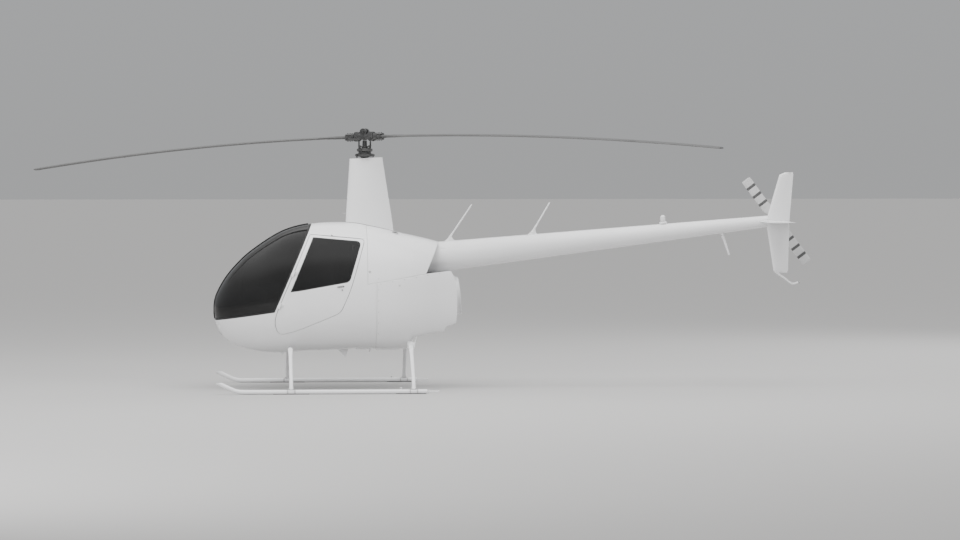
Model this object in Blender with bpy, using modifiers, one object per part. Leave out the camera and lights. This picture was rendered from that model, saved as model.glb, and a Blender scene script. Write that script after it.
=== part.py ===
"""Light two-seat helicopter with a two-blade teetering rotor, parked on its skids.

Lengths are in metres. Stations run along X from the main mast's axis, aft is +X, up is +Z,
and the port side is -Y. The ground is at Z = 0. Every part hangs on the empty "airframe",
which stands at the mast's station, so that the origin is under the middle of the whole machine.
"""

import math

import bmesh
import bpy
import numpy as np
from mathutils import Matrix, Vector

# Driving sizes
MAST_X = -0.5935
GAP = 0.0003
RUN_GAP = 0.0005
DOOR_GAP = 0.006

ROTOR_RADIUS = 3.835
ROTOR_CHORD = 0.183
ROTOR_Z = 2.555
ROTOR_AZIMUTH = -0.4731
ROTOR_TEETER = 0.0294
ROTOR_DROOP = 0.226

TAIL_HUB = (4.261, 0.250, 1.690)
TAIL_RADIUS = 0.5335
TAIL_CHORD = 0.102
TAIL_ANGLE = 0.928

SKID_Y = 0.965
CABIN_HALF_WIDTH = 0.559
WIDEST_X = -0.600
NOSE_X = -1.5305
BODY_END_X = 0.960

HULL_WALL = 0.020
DOOR_WALL = 0.025
COWL_WALL = 0.008
GLASS_WALL = 0.006
INNER_CLEAR = 0.031

SECTION_POINTS = 24

# Body stations: x, z of the keel, z of the top line, z of the widest line, upper and lower fullness
BODY_STATIONS = (
    (-1.5300, 0.770, 0.830, 0.800, 2.0, 2.0),
    (-1.5250, 0.728, 0.885, 0.802, 2.0, 2.0),
    (-1.5120, 0.660, 0.938, 0.806, 2.0, 2.0),
    (-1.4860, 0.595, 0.999, 0.812, 2.0, 2.0),
    (-1.4450, 0.541, 1.076, 0.820, 2.0, 2.0),
    (-1.3840, 0.483, 1.167, 0.832, 2.0, 2.05),
    (-1.3030, 0.440, 1.260, 0.848, 2.0, 2.1),
    (-1.2020, 0.403, 1.359, 0.868, 2.0, 2.15),
    (-1.0800, 0.380, 1.452, 0.890, 2.05, 2.2),
    (-0.9580, 0.369, 1.533, 0.912, 2.1, 2.3),
    (-0.8360, 0.366, 1.600, 0.930, 2.15, 2.35),
    (-0.7140, 0.377, 1.643, 0.944, 2.2, 2.4),
    (-0.5920, 0.386, 1.669, 0.952, 2.2, 2.4),
    (-0.4700, 0.389, 1.683, 0.958, 2.2, 2.45),
    (-0.2870, 0.398, 1.691, 0.964, 2.2, 2.5),
    (-0.1000, 0.406, 1.684, 0.970, 2.2, 2.5),
    (0.0500, 0.404, 1.656, 0.976, 2.25, 2.5),
    (0.2000, 0.397, 1.622, 0.982, 2.3, 2.5),
    (0.3840, 0.401, 1.578, 0.990, 2.35, 2.5),
    (0.4700, 0.518, 1.559, 0.994, 2.4, 2.7),
    (0.6000, 0.548, 1.529, 1.000, 2.4, 2.7),
    (0.7520, 0.575, 1.489, 1.000, 2.4, 2.7),
    (0.8180, 0.624, 1.470, 1.000, 2.4, 2.6),
    (BODY_END_X, 0.672, 1.430, 1.000, 2.4, 2.5),
)

# Half width behind the widest station: x, half width
AFT_WIDTHS = (
    (WIDEST_X, 0.559),
    (-0.2870, 0.559),
    (0.0500, 0.546),
    (0.2000, 0.524),
    (0.3840, 0.482),
    (0.6000, 0.404),
    (0.7520, 0.336),
    (BODY_END_X, 0.256),
)

# Seams of the body, seen from the side: x, z
WINDSCREEN_SILL = ((-1.700, 0.6706), (-0.926, 0.792))
WINDSCREEN_REAR_TOP = (-0.4997, 1.780)
PILLAR_WIDTH = 0.018
ROOF_SEAM_FRONT = (-0.586, 1.580)
ROOF_SEAM_REAR = (0.009, 1.5255)
COWL_SEAM_FRONT = (0.009, 1.074)
COWL_SEAM_REAR = (0.605, 1.175)
TANK_REAR_TOP = (0.800, 1.620)
LOWER_COWL_FRONT_X = 0.100
TUNNEL_HALF_WIDTH = 0.165

# Door opening, clockwise from its top front corner: x, z, lean of the edge along X and along Z
DOOR_OPENING = (
    (-0.567, 1.575, 0.00, 0.00),
    (-0.032, 1.526, 0.38, 0.00),
    (-0.012, 1.512, 0.38, 0.00),
    (-0.162, 1.010, 0.15, 0.00),
    (-0.226, 0.847, 0.05, 0.00),
    (-0.262, 0.785, 0.00, 0.00),
    (-0.673, 0.614, 0.00, -0.27),
    (-0.730, 0.577, 0.00, -0.27),
    (-0.855, 0.560, 0.00, -0.27),
    (-0.905, 0.590, 0.00, -0.24),
    (-0.920, 0.640, 0.00, -0.16),
    (-0.922, 0.717, 0.00, 0.00),
    (-0.902, 0.800, 0.00, 0.00),
)
DOOR_WINDOW = (
    (-0.533, 1.542),
    (-0.133, 1.506),
    (-0.100, 1.497),
    (-0.076, 1.476),
    (-0.066, 1.440),
    (-0.168, 1.132),
    (-0.185, 1.106),
    (-0.215, 1.095),
    (-0.672, 1.014),
    (-0.765, 1.002),
)
HINGE_HEIGHTS = (0.860, 1.180)
HINGE_OUT = 0.016
HINGE_FRONT = 0.008

COLOURS = {
    "white_paint": ((0.86, 0.86, 0.87), 0.28, 0.0),
    "dark_glass": ((0.03, 0.03, 0.035), 0.08, 0.0),
    "charcoal_metal": ((0.09, 0.09, 0.10), 0.45, 0.6),
    "blade_grey": ((0.12, 0.12, 0.13), 0.40, 0.1),
    "tail_blade_grey": ((0.62, 0.62, 0.63), 0.40, 0.1),
    "cabin_trim": ((0.16, 0.16, 0.17), 0.70, 0.0),
    "seat_leather": ((0.10, 0.10, 0.11), 0.60, 0.0),
    "bare_metal": ((0.55, 0.55, 0.56), 0.40, 0.9),
}


# Cabin shell sizes

SIDES = (("left", -1), ("right", 1))
DOOR_OUT_Y = 0.80
DOOR_IN_Y = 0.14
DOOR_CUT_Y = 0.05
DOOR_GLASS_DEPTH = 0.002
CUT_FRONT_X = -1.700
CUT_LOW_Z = 0.250
CUT_TOP_Z = 1.800
CUT_SIDE_Y = 0.90
TUBE_HOLE_CLEAR = 0.0008
KNUCKLE_R = 0.009
KNUCKLE_LENGTH = 0.030
LEAF_REACH = {"hull": -0.024, "door": 0.030}
LEAF_LOW = 0.016
LEAF_HIGH = 0.003
MAST_HOLE_R = 0.075
MAST_HOLE_Z = (1.450, 1.800)

# Cabin inside sizes

FLOOR_LOW = 0.450
FLOOR_TOP = 0.462
FIREWALL_FRONT = -0.135
FIREWALL_BACK = -0.123
SEAT_TOP = 0.700
SEAT_Y = 0.245
SEAT_HALF_WIDTH = 0.195
BACK_LEAN = math.radians(5.0)
BACK_SETTLE = 0.0009
FLOOR_FRONT = -1.260
FLOOR_REAR_GAP = 0.012
FIREWALL_TOP = 1.660
SEAT_BASE_FRONT = -0.620
SEAT_BASE_HALF_WIDTH = 0.500
CUSHION_FRONT = -0.610
CUSHION_REAR = -0.215
CUSHION_THICK = 0.100
CUSHION_EDGE = 0.025
BACK_X = -0.2175
BACK_THICK = 0.090
BACK_TALL = 0.600
BACK_NARROWER = 0.005
BACK_EDGE = 0.028
PEDAL_BAR_X = -1.060
PEDAL_BAR_RISE = 0.0114
PEDAL_BAR_Y = (0.130, 0.245)
PEDAL_BAR_R = 0.011
PEDAL_ARM_R = 0.008
PEDAL_ARM_IN = 0.022
PEDAL_TOP = (-1.100, 0.600)
PEDAL_PAD_X = (-1.108, -1.094)
PEDAL_PAD_Z = (0.575, 0.640)
PEDAL_PAD_HALF_WIDTH = 0.032

# Side view of the console: x, z
CONSOLE_OUTLINE = (
    (-1.200, FLOOR_TOP + GAP),
    (-0.985, FLOOR_TOP + GAP),
    (-0.960, 0.780),
    (-1.000, 1.000),
    (-1.080, 1.045),
    (-1.270, 1.000),
    (-1.240, 0.840),
)
CONSOLE_HALF_WIDTH = 0.100
CONSOLE_EDGE = 0.010

# Windscreen bow on the middle plane: x, z
BOW_POINTS = (
    (-1.262, 1.0125), (-1.239, 1.142), (-1.190, 1.222), (-1.128, 1.293), (-1.060, 1.370),
    (-0.987, 1.434), (-0.836, 1.540), (-0.705, 1.606), (-0.604, 1.634), (-0.520, 1.6486),
)
BOW_R = 0.008

# Half of the cyclic's cross bar, from its grip to the middle: x, distance from the middle, z
CYCLIC_POINTS = ((-0.700, 0.330, 0.840), (-0.720, 0.330, 0.940), (-0.722, 0.315, 0.955))
CYCLIC_R = 0.012
CYCLIC_POST_FOOT_X = -0.800
CYCLIC_POST_RISE = 0.0023
CYCLIC_POST_R = 0.014

# Collective lever: x, height over the seat base
COLLECTIVE_POINTS = ((-0.420, 0.0116), (-0.560, 0.030), (-0.640, 0.075))
COLLECTIVE_R = 0.011

# Tanks, cowls and engine sizes

CENTRE_COWL_Z = 1.400
CENTRE_COWL_REAR_X = 0.703
TAILCONE_ROOM_X = (0.5, 1.0)

# Rear edge of the lower cowls, from the bottom up: x, z
LOWER_COWL_REAR = (
    (0.952, CUT_LOW_Z), (0.952, 0.812), (0.944, 1.070), (0.915, 1.149), (0.882, 1.1975),
)
BEAM_Z = 0.630
BEAM_Y = 0.180
BEAM_R = 0.014
SIDE_BEAM_R = 0.015
BEAM_CROSS_X = 0.160
BEAM_REAR_X = 0.690
ENGINE_LOW = BEAM_Z + SIDE_BEAM_R + GAP
ENGINE_TOP = 1.040
ENGINE_FRONT = 0.200
ENGINE_REAR = 0.680
ENGINE_HALF_WIDTH = 0.250
ENGINE_EDGE = 0.020
FAN_Z = 0.945
DECK_LOW = 1.262
DECK_TOP = 1.280
GEARBOX_TOP = 1.600
GEARBOX_X = (-0.112, 0.180)
GEARBOX_HALF_WIDTH = 0.120
GEARBOX_EDGE = 0.030
DECK_STEP = 0.002

# Fan scroll and fan, turned about the fan's axis: radius, distance aft of the engine
SCROLL_PROFILE = (
    (0.198, 0.0), (0.198, 0.248), (0.170, 0.278), (0.170, 0.311), (0.192, 0.311),
    (0.192, 0.285), (0.206, 0.259), (0.206, 0.0),
)
FAN_PROFILE = (
    (0.0, 0.250), (0.040, 0.245), (0.055, 0.200), (0.150, 0.190), (0.150, 0.178),
    (0.045, 0.170), (0.045, 0.0), (0.0, 0.0),
)

# Tail sizes

TAILCONE_FRONT = 0.600
TAILCONE_REAR = 4.2055
TAIL_WALL = 0.006
FIN_Y = -0.0745
FIN_THICK = 0.030
FIN_EDGE = 0.008
CONE_SIDES = 24
CONE_STEP = 0.600
CONE_STEPS = 5
CONE_END_WALL = 0.006
CONE_HOLLOW_X = (0.5, 1.5, 2.5)

# Tailcone's top and bottom lines: a station, the height there and the slope
CONE_TOP = (0.777, 1.491, 0.0772)
CONE_BOTTOM = (0.882, 1.198, 0.1341)

# Fin in side view: x, z
FIN_OUTLINE = (
    (4.118, 1.690), (4.120, 1.748), (4.240, 2.165), (4.262, 2.196), (4.380, 2.196), (4.391, 2.180),
    (4.351, 1.700), (4.337, 1.190), (4.325, 1.174), (4.205, 1.172), (4.187, 1.186), (4.117, 1.633),
)
STABILISER_Z = 1.690

# Stabiliser stations: y, front x, rear x
STABILISER_STATIONS = (
    (-0.0900, 4.030, 4.339), (-0.585, 4.030, 4.339), (-0.600, 4.050, 4.325),
)

# Stabiliser section: share of the half chord towards the front, height
STABILISER_SECTION = (
    (1.0, 0.0), (0.85, 0.008), (0.2, 0.012), (-1.0, 0.0015), (-1.0, -0.0015), (0.2, -0.012),
    (0.85, -0.008),
)

# Tail skid under the fin: x, z
TAIL_SKID_POINTS = (
    (4.220, 1.1640), (4.290, 1.1160), (4.365, 1.058), (4.385, 1.052), (4.447, 1.069),
)
TAIL_SKID_R = 0.010

# Tail gearbox between its seat and its foot: radius, y
TAIL_GEARBOX_PROFILE = ((0.030, 0.110), (0.052, 0.075), (0.055, 0.030))
TAIL_SHAFT_LENGTH = 0.060
BEACON_X = 3.056

# Beacon: radius, height
BEACON_PROFILE = (
    (0.0, 0.092), (0.012, 0.090), (0.022, 0.080), (0.026, 0.062), (0.027, 0.030),
    (0.039, 0.022), (0.039, 0.0), (0.0, 0.0),
)

# Fin aerial under the cabin: x, drop from the belly
BELLY_AERIAL = ((-0.294, 0.0), (-0.182, 0.0), (-0.196, 0.072), (-0.212, 0.078))
BELLY_AERIAL_HALF = 0.004
WHIP_FOOT_HALF = 0.012
WHIP_NECK_R = 0.010
WHIP_TIP_R = 0.0045

# Whip aerials: name, foot front and rear x, neck x and z, tip x and z, under the boom or on top
WHIPS = (
    ("aerial_front", 0.812, 0.916, 0.876, 1.549, 1.092, 1.868, False),
    ("aerial_rear", 1.663, 1.758, 1.733, 1.622, 1.889, 1.887, False),
    ("aerial_under", 3.641, 3.688, 3.672, 1.540, 3.737, 1.347, True),
)

# Mast fairing sizes

FAIRING_WALL = 0.006
FAIRING_FRONT = ((-0.196, 1.695), (-0.154, 2.334))
FAIRING_REAR = ((0.292, 1.613), (0.178, 2.349))
FAIRING_HALF = (0.092, 0.076)
FAIRING_RINGS = 4
FAIRING_RISE = 0.0024
FAIRING_STEPS = (0.0, 0.03, 0.10, 0.20, 0.35, 0.52, 0.70, 0.86, 1.0)
FAIRING_TAIL_HALF = 0.004
PITOT_X = (-0.1875, -0.226)
PITOT_Z = 1.779
PITOT_R = (0.008, 0.004)

# Landing gear sizes

SKID_R = 0.0215
SKID_Z = 0.0240
SKID_REAR = 0.578
SKID_BEND = -1.255
SHOE_THICK = 0.006
CROSS_TUBE_R = 0.022
CROSS_TUBE_Z = 0.4205
CROSS_HALF = 0.550
FRONT_LEG_X = -0.770
REAR_CROSS = (0.4425, 0.4425)
CROSS_SIDES = 16

# Legs: place, x and z of the cross tube, x of the foot
LEG_AXES = (("front", FRONT_LEG_X, CROSS_TUBE_Z, -0.770), ("rear", *REAR_CROSS, 0.447))

# Skid's upturned front: x, z
SKID_RISE = (
    (-1.320, 0.0285), (-1.380, 0.0405), (-1.440, 0.0610), (-1.500, 0.0910), (-1.511, 0.0970),
)

# Wear shoes: front x, rear x
SHOES = ((-0.950, -0.590), (0.270, 0.570))
SHOE_HALF_WIDTH = 0.014
SKID_ROD_X = (0.528, 0.701)
SKID_ROD_R = 0.0065
KNOB_X = 0.320
KNOB_TOP = 0.064
KNOB_R = 0.012

# Leg's foot: distance in from the skid's middle, height over it, half sizes along x, y and z
LEG_FOOT = (
    (0.040, 0.060, 0.0225, 0.013, 0.013),
    (0.010, 0.022, 0.026, 0.016, 0.004),
    (0.0, 0.0, 0.042, 0.015, 0.0),
)
LEG_HALF = 0.0225
LEG_TOP_HALF = 0.021
KNEE_OUT = 0.030
KNEE_DOWN = 0.020
KNEE_HALF = (0.010, 0.020)

# Main rotor sizes

MAST_R = 0.024
SLEEVE_IN = 0.0300
SLEEVE_OUT = 0.0370
FIXED_RING_TOP = 2.4050
HUB_LOW = -0.035
HUB_HIGH = 0.065
BOLT_UP = 0.051
GRIP_START = 0.106
GRIP_END = 0.206
HORN_REACH = 0.115
HORN_X = 0.085
HORN_Z = (-0.030, -0.012)
HORN_WIDE = 0.012
HORN_BACK_X = 0.110
HORN_FRONT_X = 0.140
HORN_ROOT_Y = 0.020
HUB_CLEAR = 0.0005
HUB_HALF_WIDTH = 0.040
HUB_EDGE = 0.008
MAST_TOP_GAP = 0.001
TEETER_BOLT = (0.062, 0.024)
HUB_CAP_Z = (0.045, 0.083)
HUB_CAP_R = 0.026
CONE_BOLT_X = 0.080
CONE_BOLT_Z = 0.010
CONE_BOLT_HALF = 0.055
CONE_BOLT_R = 0.015

# Fixed swashplate on its sleeve, outside the sleeve's own top and foot: radius, z
FIXED_RING = (
    (0.062, FIXED_RING_TOP), (0.066, 2.388), (0.092, 2.384), (0.092, 2.358), (0.050, 2.353),
    (SLEEVE_OUT, 2.345),
)
SLEEVE_SHOULDER_Z = 1.640

# Turning swashplate over its lower face: radius, z
TURNING_RING = ((0.080, 2.414), (0.080, 2.434), (0.060, 2.442))
TURNING_LOW_R = 0.070
TURNING_CLEAR = 0.0008
LINK_R = 0.007
LINK_LOW_Z = 2.420
LINK_TOP_GAP = 0.0015
LINK_ARM_R = 0.010
LINK_ARM_Z = 2.424
LINK_ARM_START = (0.030, 0.045)
LINK_ARM_REACH = 1.04
DROOP_START = 0.2
DROOP_POWER = 1.9
BLADE_POINTS = 12
BLADE_SPAN_STEPS = (0.4800, 1.0000, 1.5000, 2.0000, 2.4000, 2.8000, 3.2000, 3.5500)

# Blade stations: radius, half chord, half thickness, lead, square section or streamlined
BLADE_STATIONS = (
    (GRIP_START, 0.042, 0.030, 0.000, True),
    (GRIP_END, 0.040, 0.028, 0.000, True),
    (0.2300, 0.040, 0.014, 0.000, True),
    (0.3200, 0.055, 0.013, -0.005, False),
    *((r, ROTOR_CHORD / 2, 0.0125, -0.022, False) for r in BLADE_SPAN_STEPS),
    (3.8000, ROTOR_CHORD / 2, 0.0120, -0.022, False),
    (ROTOR_RADIUS, ROTOR_CHORD / 2 - 0.012, 0.0080, -0.028, False),
)

# Tail rotor sizes

# Tail blade stations: radius, half chord, half thickness
TAIL_STATIONS = (
    (0.0375, 0.020, 0.010),
    (0.0900, 0.022, 0.009),
    (0.1500, TAIL_CHORD / 2, 0.0065),
    (0.5000, TAIL_CHORD / 2, 0.0060),
    (TAIL_RADIUS, TAIL_CHORD / 2 - 0.006, 0.0040),
)
TAIL_HUB_HALF = (0.0370, 0.018, 0.026)
TAIL_HUB_EDGE = 0.005
TAIL_SHAFT_END = 0.032
TAIL_SHAFT_R = 0.0125
PITCH_RING_Y = (-0.046, -0.034)
PITCH_RING_R = 0.034
SHAFT_SIDES = 16


# Scene and objects

def clear_scene():
    for item in list(bpy.data.objects):
        bpy.data.objects.remove(item, do_unlink=True)


def make_collection(name):
    collection = bpy.data.collections.new(name)
    bpy.context.scene.collection.children.link(collection)
    return collection


def make_material(name):
    colour, roughness, metallic = COLOURS[name]
    material = bpy.data.materials.new(name)
    material.use_nodes = True
    shader = material.node_tree.nodes["Principled BSDF"]
    shader.inputs["Base Color"].default_value = (*colour, 1.0)
    shader.inputs["Roughness"].default_value = roughness
    shader.inputs["Metallic"].default_value = metallic
    return material


clear_scene()
PARTS = make_collection("helicopter")
CUTTERS = make_collection("cutters")


def make_empty(name, location, parent=None, rotation=(0.0, 0.0, 0.0)):
    empty = bpy.data.objects.new(name, None)
    PARTS.objects.link(empty)
    empty.parent = parent
    empty.location = location
    empty.rotation_euler = rotation
    return empty


AIRFRAME = make_empty("airframe", (MAST_X, 0.0, 0.0))


def add_object(name, data, colour=None, parent=AIRFRAME, location=(0, 0, 0), rotation=(0, 0, 0)):
    """A part when it has a colour, and otherwise a hidden cutter."""
    item = bpy.data.objects.new(name, data)
    item.parent = parent
    item.location = location
    item.rotation_euler = rotation
    if colour:
        PARTS.objects.link(item)
        data.materials.append(make_material(colour))
    else:
        CUTTERS.objects.link(item)
        item.hide_render = True
        item.display_type = "WIRE"
    return item


def add_bmesh(name, bm, colour=None, parent=AIRFRAME, location=(0, 0, 0), rotation=(0, 0, 0)):
    mesh = bpy.data.meshes.new(name)
    bm.to_mesh(mesh)
    bm.free()
    mesh.shade_smooth()
    mesh.set_sharp_from_angle(angle=math.radians(35.0))
    return add_object(name, mesh, colour, parent, location, rotation)


def boolean(item, operation, other):
    modifier = item.modifiers.new(f"{operation.lower()} {other.name}", "BOOLEAN")
    modifier.operation = operation
    modifier.solver = "EXACT"
    modifier.object = other


def bevel(item, width, segments=1):
    modifier = item.modifiers.new("bevel", "BEVEL")
    modifier.width = width
    modifier.segments = segments
    modifier.limit_method = "ANGLE"


# Shapes

def box_bmesh(low, high):
    bm = bmesh.new()
    low, high = Vector(low), Vector(high)
    size = Matrix.Diagonal((*(high - low), 1.0))
    bmesh.ops.create_cube(bm, size=1.0, matrix=Matrix.Translation((low + high) / 2) @ size)
    return bm


def box(name, low, high, colour=None, **place):
    return add_bmesh(name, box_bmesh(low, high), colour, **place)


def rod(name, start, end, radius, colour=None, end_radius=None, sides=12, parent=AIRFRAME):
    """A round bar from one point to another, placed at its middle."""
    start, end = Vector(start), Vector(end)
    bm = bmesh.new()
    bmesh.ops.create_cone(
        bm, cap_ends=True, segments=sides, radius1=radius,
        radius2=radius if end_radius is None else end_radius, depth=(end - start).length,
    )
    turn = (end - start).to_track_quat("Z", "Y").to_euler()
    return add_bmesh(name, bm, colour, parent, (start + end) / 2, turn)


def tube(name, points, radius, colour=None, parent=AIRFRAME, resolution=2):
    """A bar bent along a polyline, made a mesh with welded caps."""
    curve = bpy.data.curves.new(name, "CURVE")
    curve.dimensions = "3D"
    curve.bevel_depth = radius
    curve.bevel_resolution = resolution
    curve.use_fill_caps = True
    spline = curve.splines.new("POLY")
    spline.points.add(len(points) - 1)
    for point, place in zip(spline.points, points):
        point.co = (*place, 1.0)
    guide = bpy.data.objects.new(name + " path", curve)
    bpy.context.scene.collection.objects.link(guide)
    evaluated = guide.evaluated_get(bpy.context.evaluated_depsgraph_get())
    mesh = bpy.data.meshes.new_from_object(evaluated)
    bpy.data.objects.remove(guide, do_unlink=True)
    bm = bmesh.new()
    bm.from_mesh(mesh)
    bmesh.ops.remove_doubles(bm, verts=bm.verts, dist=1e-5)
    bmesh.ops.recalc_face_normals(bm, faces=bm.faces)
    return add_bmesh(name, bm, colour, parent)


def turned(name, profile, colour=None, sides=20, parent=AIRFRAME, location=(0, 0, 0),
           rotation=(0, 0, 0), closed=False):
    """A shape turned about its own Z from (radius, height) points, top to bottom outside."""
    bm = bmesh.new()
    points = [bm.verts.new((radius, 0.0, height)) for radius, height in profile]
    for upper, lower in zip(points, points[1:]):
        bm.edges.new((upper, lower))
    if closed:
        bm.edges.new((points[-1], points[0]))
    item = add_bmesh(name, bm, colour, parent, location, rotation)
    screw = item.modifiers.new("turn", "SCREW")
    screw.steps = sides
    screw.render_steps = sides
    screw.use_merge_vertices = True
    screw.merge_threshold = 0.00005
    screw.use_smooth_shade = True
    return item


def loft_bmesh(rings, caps=True):
    """A skin through rings of points, with flat ends."""
    bm = bmesh.new()
    lines = [[bm.verts.new(point) for point in ring] for ring in rings]
    count = len(rings[0])
    for ring, following in zip(lines, lines[1:]):
        for i in range(count):
            j = (i + 1) % count
            bm.faces.new((ring[i], ring[j], following[j], following[i]))
    if caps:
        bm.faces.new(lines[0])
        bm.faces.new(lines[-1])
    bmesh.ops.recalc_face_normals(bm, faces=bm.faces)
    bmesh.ops.triangulate(bm, faces=bm.faces)
    return bm


def loft(name, rings, colour=None, **place):
    return add_bmesh(name, loft_bmesh(rings), colour, **place)


def ellipse(centre, along, across, sides=12):
    """Points round a centre, where along and across are the half axes."""
    centre, along, across = Vector(centre), Vector(along), Vector(across)
    turns = (2 * math.pi * i / sides for i in range(sides))
    return [centre + along * math.cos(turn) + across * math.sin(turn) for turn in turns]


def inset(outline, distance):
    """The outline moved inwards by a distance, corner by corner."""
    count = len(outline)
    area = sum(
        outline[i][0] * outline[(i + 1) % count][1] - outline[(i + 1) % count][0] * outline[i][1]
        for i in range(count)
    )
    side = 1.0 if area > 0 else -1.0
    moved = []
    for i in range(count):
        before = (Vector(outline[i][:2]) - Vector(outline[i - 1][:2])).normalized()
        after = (Vector(outline[(i + 1) % count][:2]) - Vector(outline[i][:2])).normalized()
        normal_before = Vector((-before.y, before.x)) * side
        normal_after = Vector((-after.y, after.x)) * side
        middle = (normal_before + normal_after).normalized()
        reach = distance / max(0.3, middle.dot(normal_before))
        moved.append((outline[i][0] + middle.x * reach, outline[i][1] + middle.y * reach,
                      *outline[i][2:]))
    return moved


def prism(name, outline, y_low, y_high, colour=None, **place):
    """A side-view outline carried from one Y to another."""
    rings = [[(x, y, z) for x, z in outline] for y in (y_low, y_high)]
    return loft(name, rings, colour, **place)


# Body surface

def station_values(x):
    """Keel, top, widest height, half width and both fullnesses of the body at a station."""
    table = np.array(BODY_STATIONS)
    keel, top, widest, upper, lower = (np.interp(x, table[:, 0], table[:, i]) for i in range(1, 6))
    if x < WIDEST_X:
        reach = (x - WIDEST_X) / (NOSE_X - WIDEST_X)
        half_width = CABIN_HALF_WIDTH * math.sqrt(max(0.0, 1.0 - reach * reach))
    else:
        half_width = np.interp(x, *np.array(AFT_WIDTHS).T)
    return keel, top, widest, half_width, upper, lower


def power(value, exponent):
    return math.copysign(abs(value) ** exponent, value)


def surface_y(x, z):
    """The body's half width at a height."""
    keel, top, widest, half_width, upper, lower = station_values(x)
    reach, full = ((z - widest) / (top - widest), upper) if z > widest else (
        (widest - z) / (widest - keel), lower)
    return half_width * max(0.0, 1.0 - reach ** full) ** (1.0 / full)


def surface_z(x, y, under=False):
    """The body's top, or its underside, at a distance from the middle."""
    keel, top, widest, half_width, upper, lower = station_values(x)
    full = lower if under else upper
    reach = max(0.0, 1.0 - abs(y / half_width) ** full) ** (1.0 / full)
    return widest - (widest - keel) * reach if under else widest + (top - widest) * reach


def body_rings(depth=0.0):
    """The body's sections, each point moved inwards along the skin's normal by a depth."""
    points = []
    for x, *_ in BODY_STATIONS:
        keel, top, widest, half_width, upper, lower = station_values(x)
        ring = []
        for i in range(SECTION_POINTS):
            turn = 2 * math.pi * i / SECTION_POINTS
            full = upper if math.sin(turn) > 0 else lower
            height = top - widest if math.sin(turn) > 0 else widest - keel
            ring.append((
                x,
                round(half_width * power(math.cos(turn), 2 / full), 9),
                widest + height * power(math.sin(turn), 2 / full),
            ))
        points.append(ring)
    grid = np.array(points)
    along = np.gradient(grid, axis=0)
    around = np.roll(grid, -1, axis=1) - np.roll(grid, 1, axis=1)
    normal = np.cross(around, along)
    normal /= np.linalg.norm(normal, axis=2, keepdims=True)
    outward = grid - np.array([0.0, 0.0, 0.95]) - np.array([1.0, 0.0, 0.0]) * grid[:, :, :1]
    side = np.sign((normal * outward).sum(axis=2, keepdims=True))
    return [[tuple(point) for point in ring] for ring in grid - normal * side * depth]


INNER_BODIES = {}


def inner_body(depth):
    """A hidden body that lies inside the skin by a depth, shared by the panels."""
    if depth not in INNER_BODIES:
        INNER_BODIES[depth] = loft(f"body_inside_{depth * 1000:.1f}", body_rings(depth))
    return INNER_BODIES[depth]


def panel(name, outline, wall, colour, y_low=-CUT_SIDE_Y, y_high=CUT_SIDE_Y, depth=0.0,
          solid=False):
    """A piece of the body's skin inside a side-view outline."""
    item = loft(name, body_rings(depth), colour)
    if not solid:
        boolean(item, "DIFFERENCE", inner_body(depth + wall))
    boolean(item, "INTERSECT", prism(name + "_outline", outline, y_low, y_high))
    return item


def fitted_slab(name, low, high, depth, colour):
    """A box trimmed to the inside of the body."""
    item = box(name, low, high, colour)
    boolean(item, "INTERSECT", inner_body(depth))
    return item


def along_pillar(z, shift=0.0):
    """X of the windscreen's rear edge at a height, moved aft by a shift."""
    (_, _), (x_low, z_low) = WINDSCREEN_SILL
    x_high, z_high = WINDSCREEN_REAR_TOP
    return x_low + (x_high - x_low) * (z - z_low) / (z_high - z_low) + shift


# Cabin shell


def drafted_opening(name, side, margin):
    """A cutter for one door, whose rear edge leans so that the door swings clear."""
    outline = inset(DOOR_OPENING, margin)
    rings = []
    for y in (DOOR_IN_Y, DOOR_OUT_Y):
        ring = []
        for x, z, lean_x, lean_z in outline:
            out = y - surface_y(x, z)
            ring.append((x + lean_x * out, side * y, z + lean_z * out))
        rings.append(ring)
    return loft(name, rings)


def hinge_point(side, z):
    x = along_pillar(z, PILLAR_WIDTH + HINGE_FRONT)
    return Vector((x, side * (surface_y(x, z) + HINGE_OUT), z))


def hinge_axis(side):
    low, high = (hinge_point(side, z) for z in HINGE_HEIGHTS)
    return low, (high - low).normalized()


def build_hull():
    outline = [
        (CUT_FRONT_X, CUT_LOW_Z),
        (LOWER_COWL_FRONT_X, CUT_LOW_Z),
        (LOWER_COWL_FRONT_X, seam_z(LOWER_COWL_FRONT_X)),
        COWL_SEAM_FRONT,
        ROOF_SEAM_REAR,
        ROOF_SEAM_FRONT,
        WINDSCREEN_SILL[1],
        WINDSCREEN_SILL[0],
    ]
    hull = panel("cabin_hull", inset(outline, GAP / 2), HULL_WALL, "white_paint")
    for name, side in SIDES:
        boolean(hull, "DIFFERENCE", drafted_opening(f"door_opening_{name}", side, 0.0))
    boolean(hull, "DIFFERENCE",
            rod("front_tube_hole", (FRONT_LEG_X, -CUT_SIDE_Y, CROSS_TUBE_Z),
                (FRONT_LEG_X, CUT_SIDE_Y, CROSS_TUBE_Z), CROSS_TUBE_R + TUBE_HOLE_CLEAR))
    for name, side in SIDES:
        for number, knuckle in enumerate(hinge_blocks(side, "hull")):
            boolean(hull, "UNION", add_bmesh(f"hull_hinge_{name}_{number}", knuckle))
    return hull


def seam_z(x):
    """Height of the cowl seam at a station."""
    (x_low, z_low), (x_high, z_high) = COWL_SEAM_FRONT, COWL_SEAM_REAR
    return z_low + (z_high - z_low) * (x - x_low) / (x_high - x_low)


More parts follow.
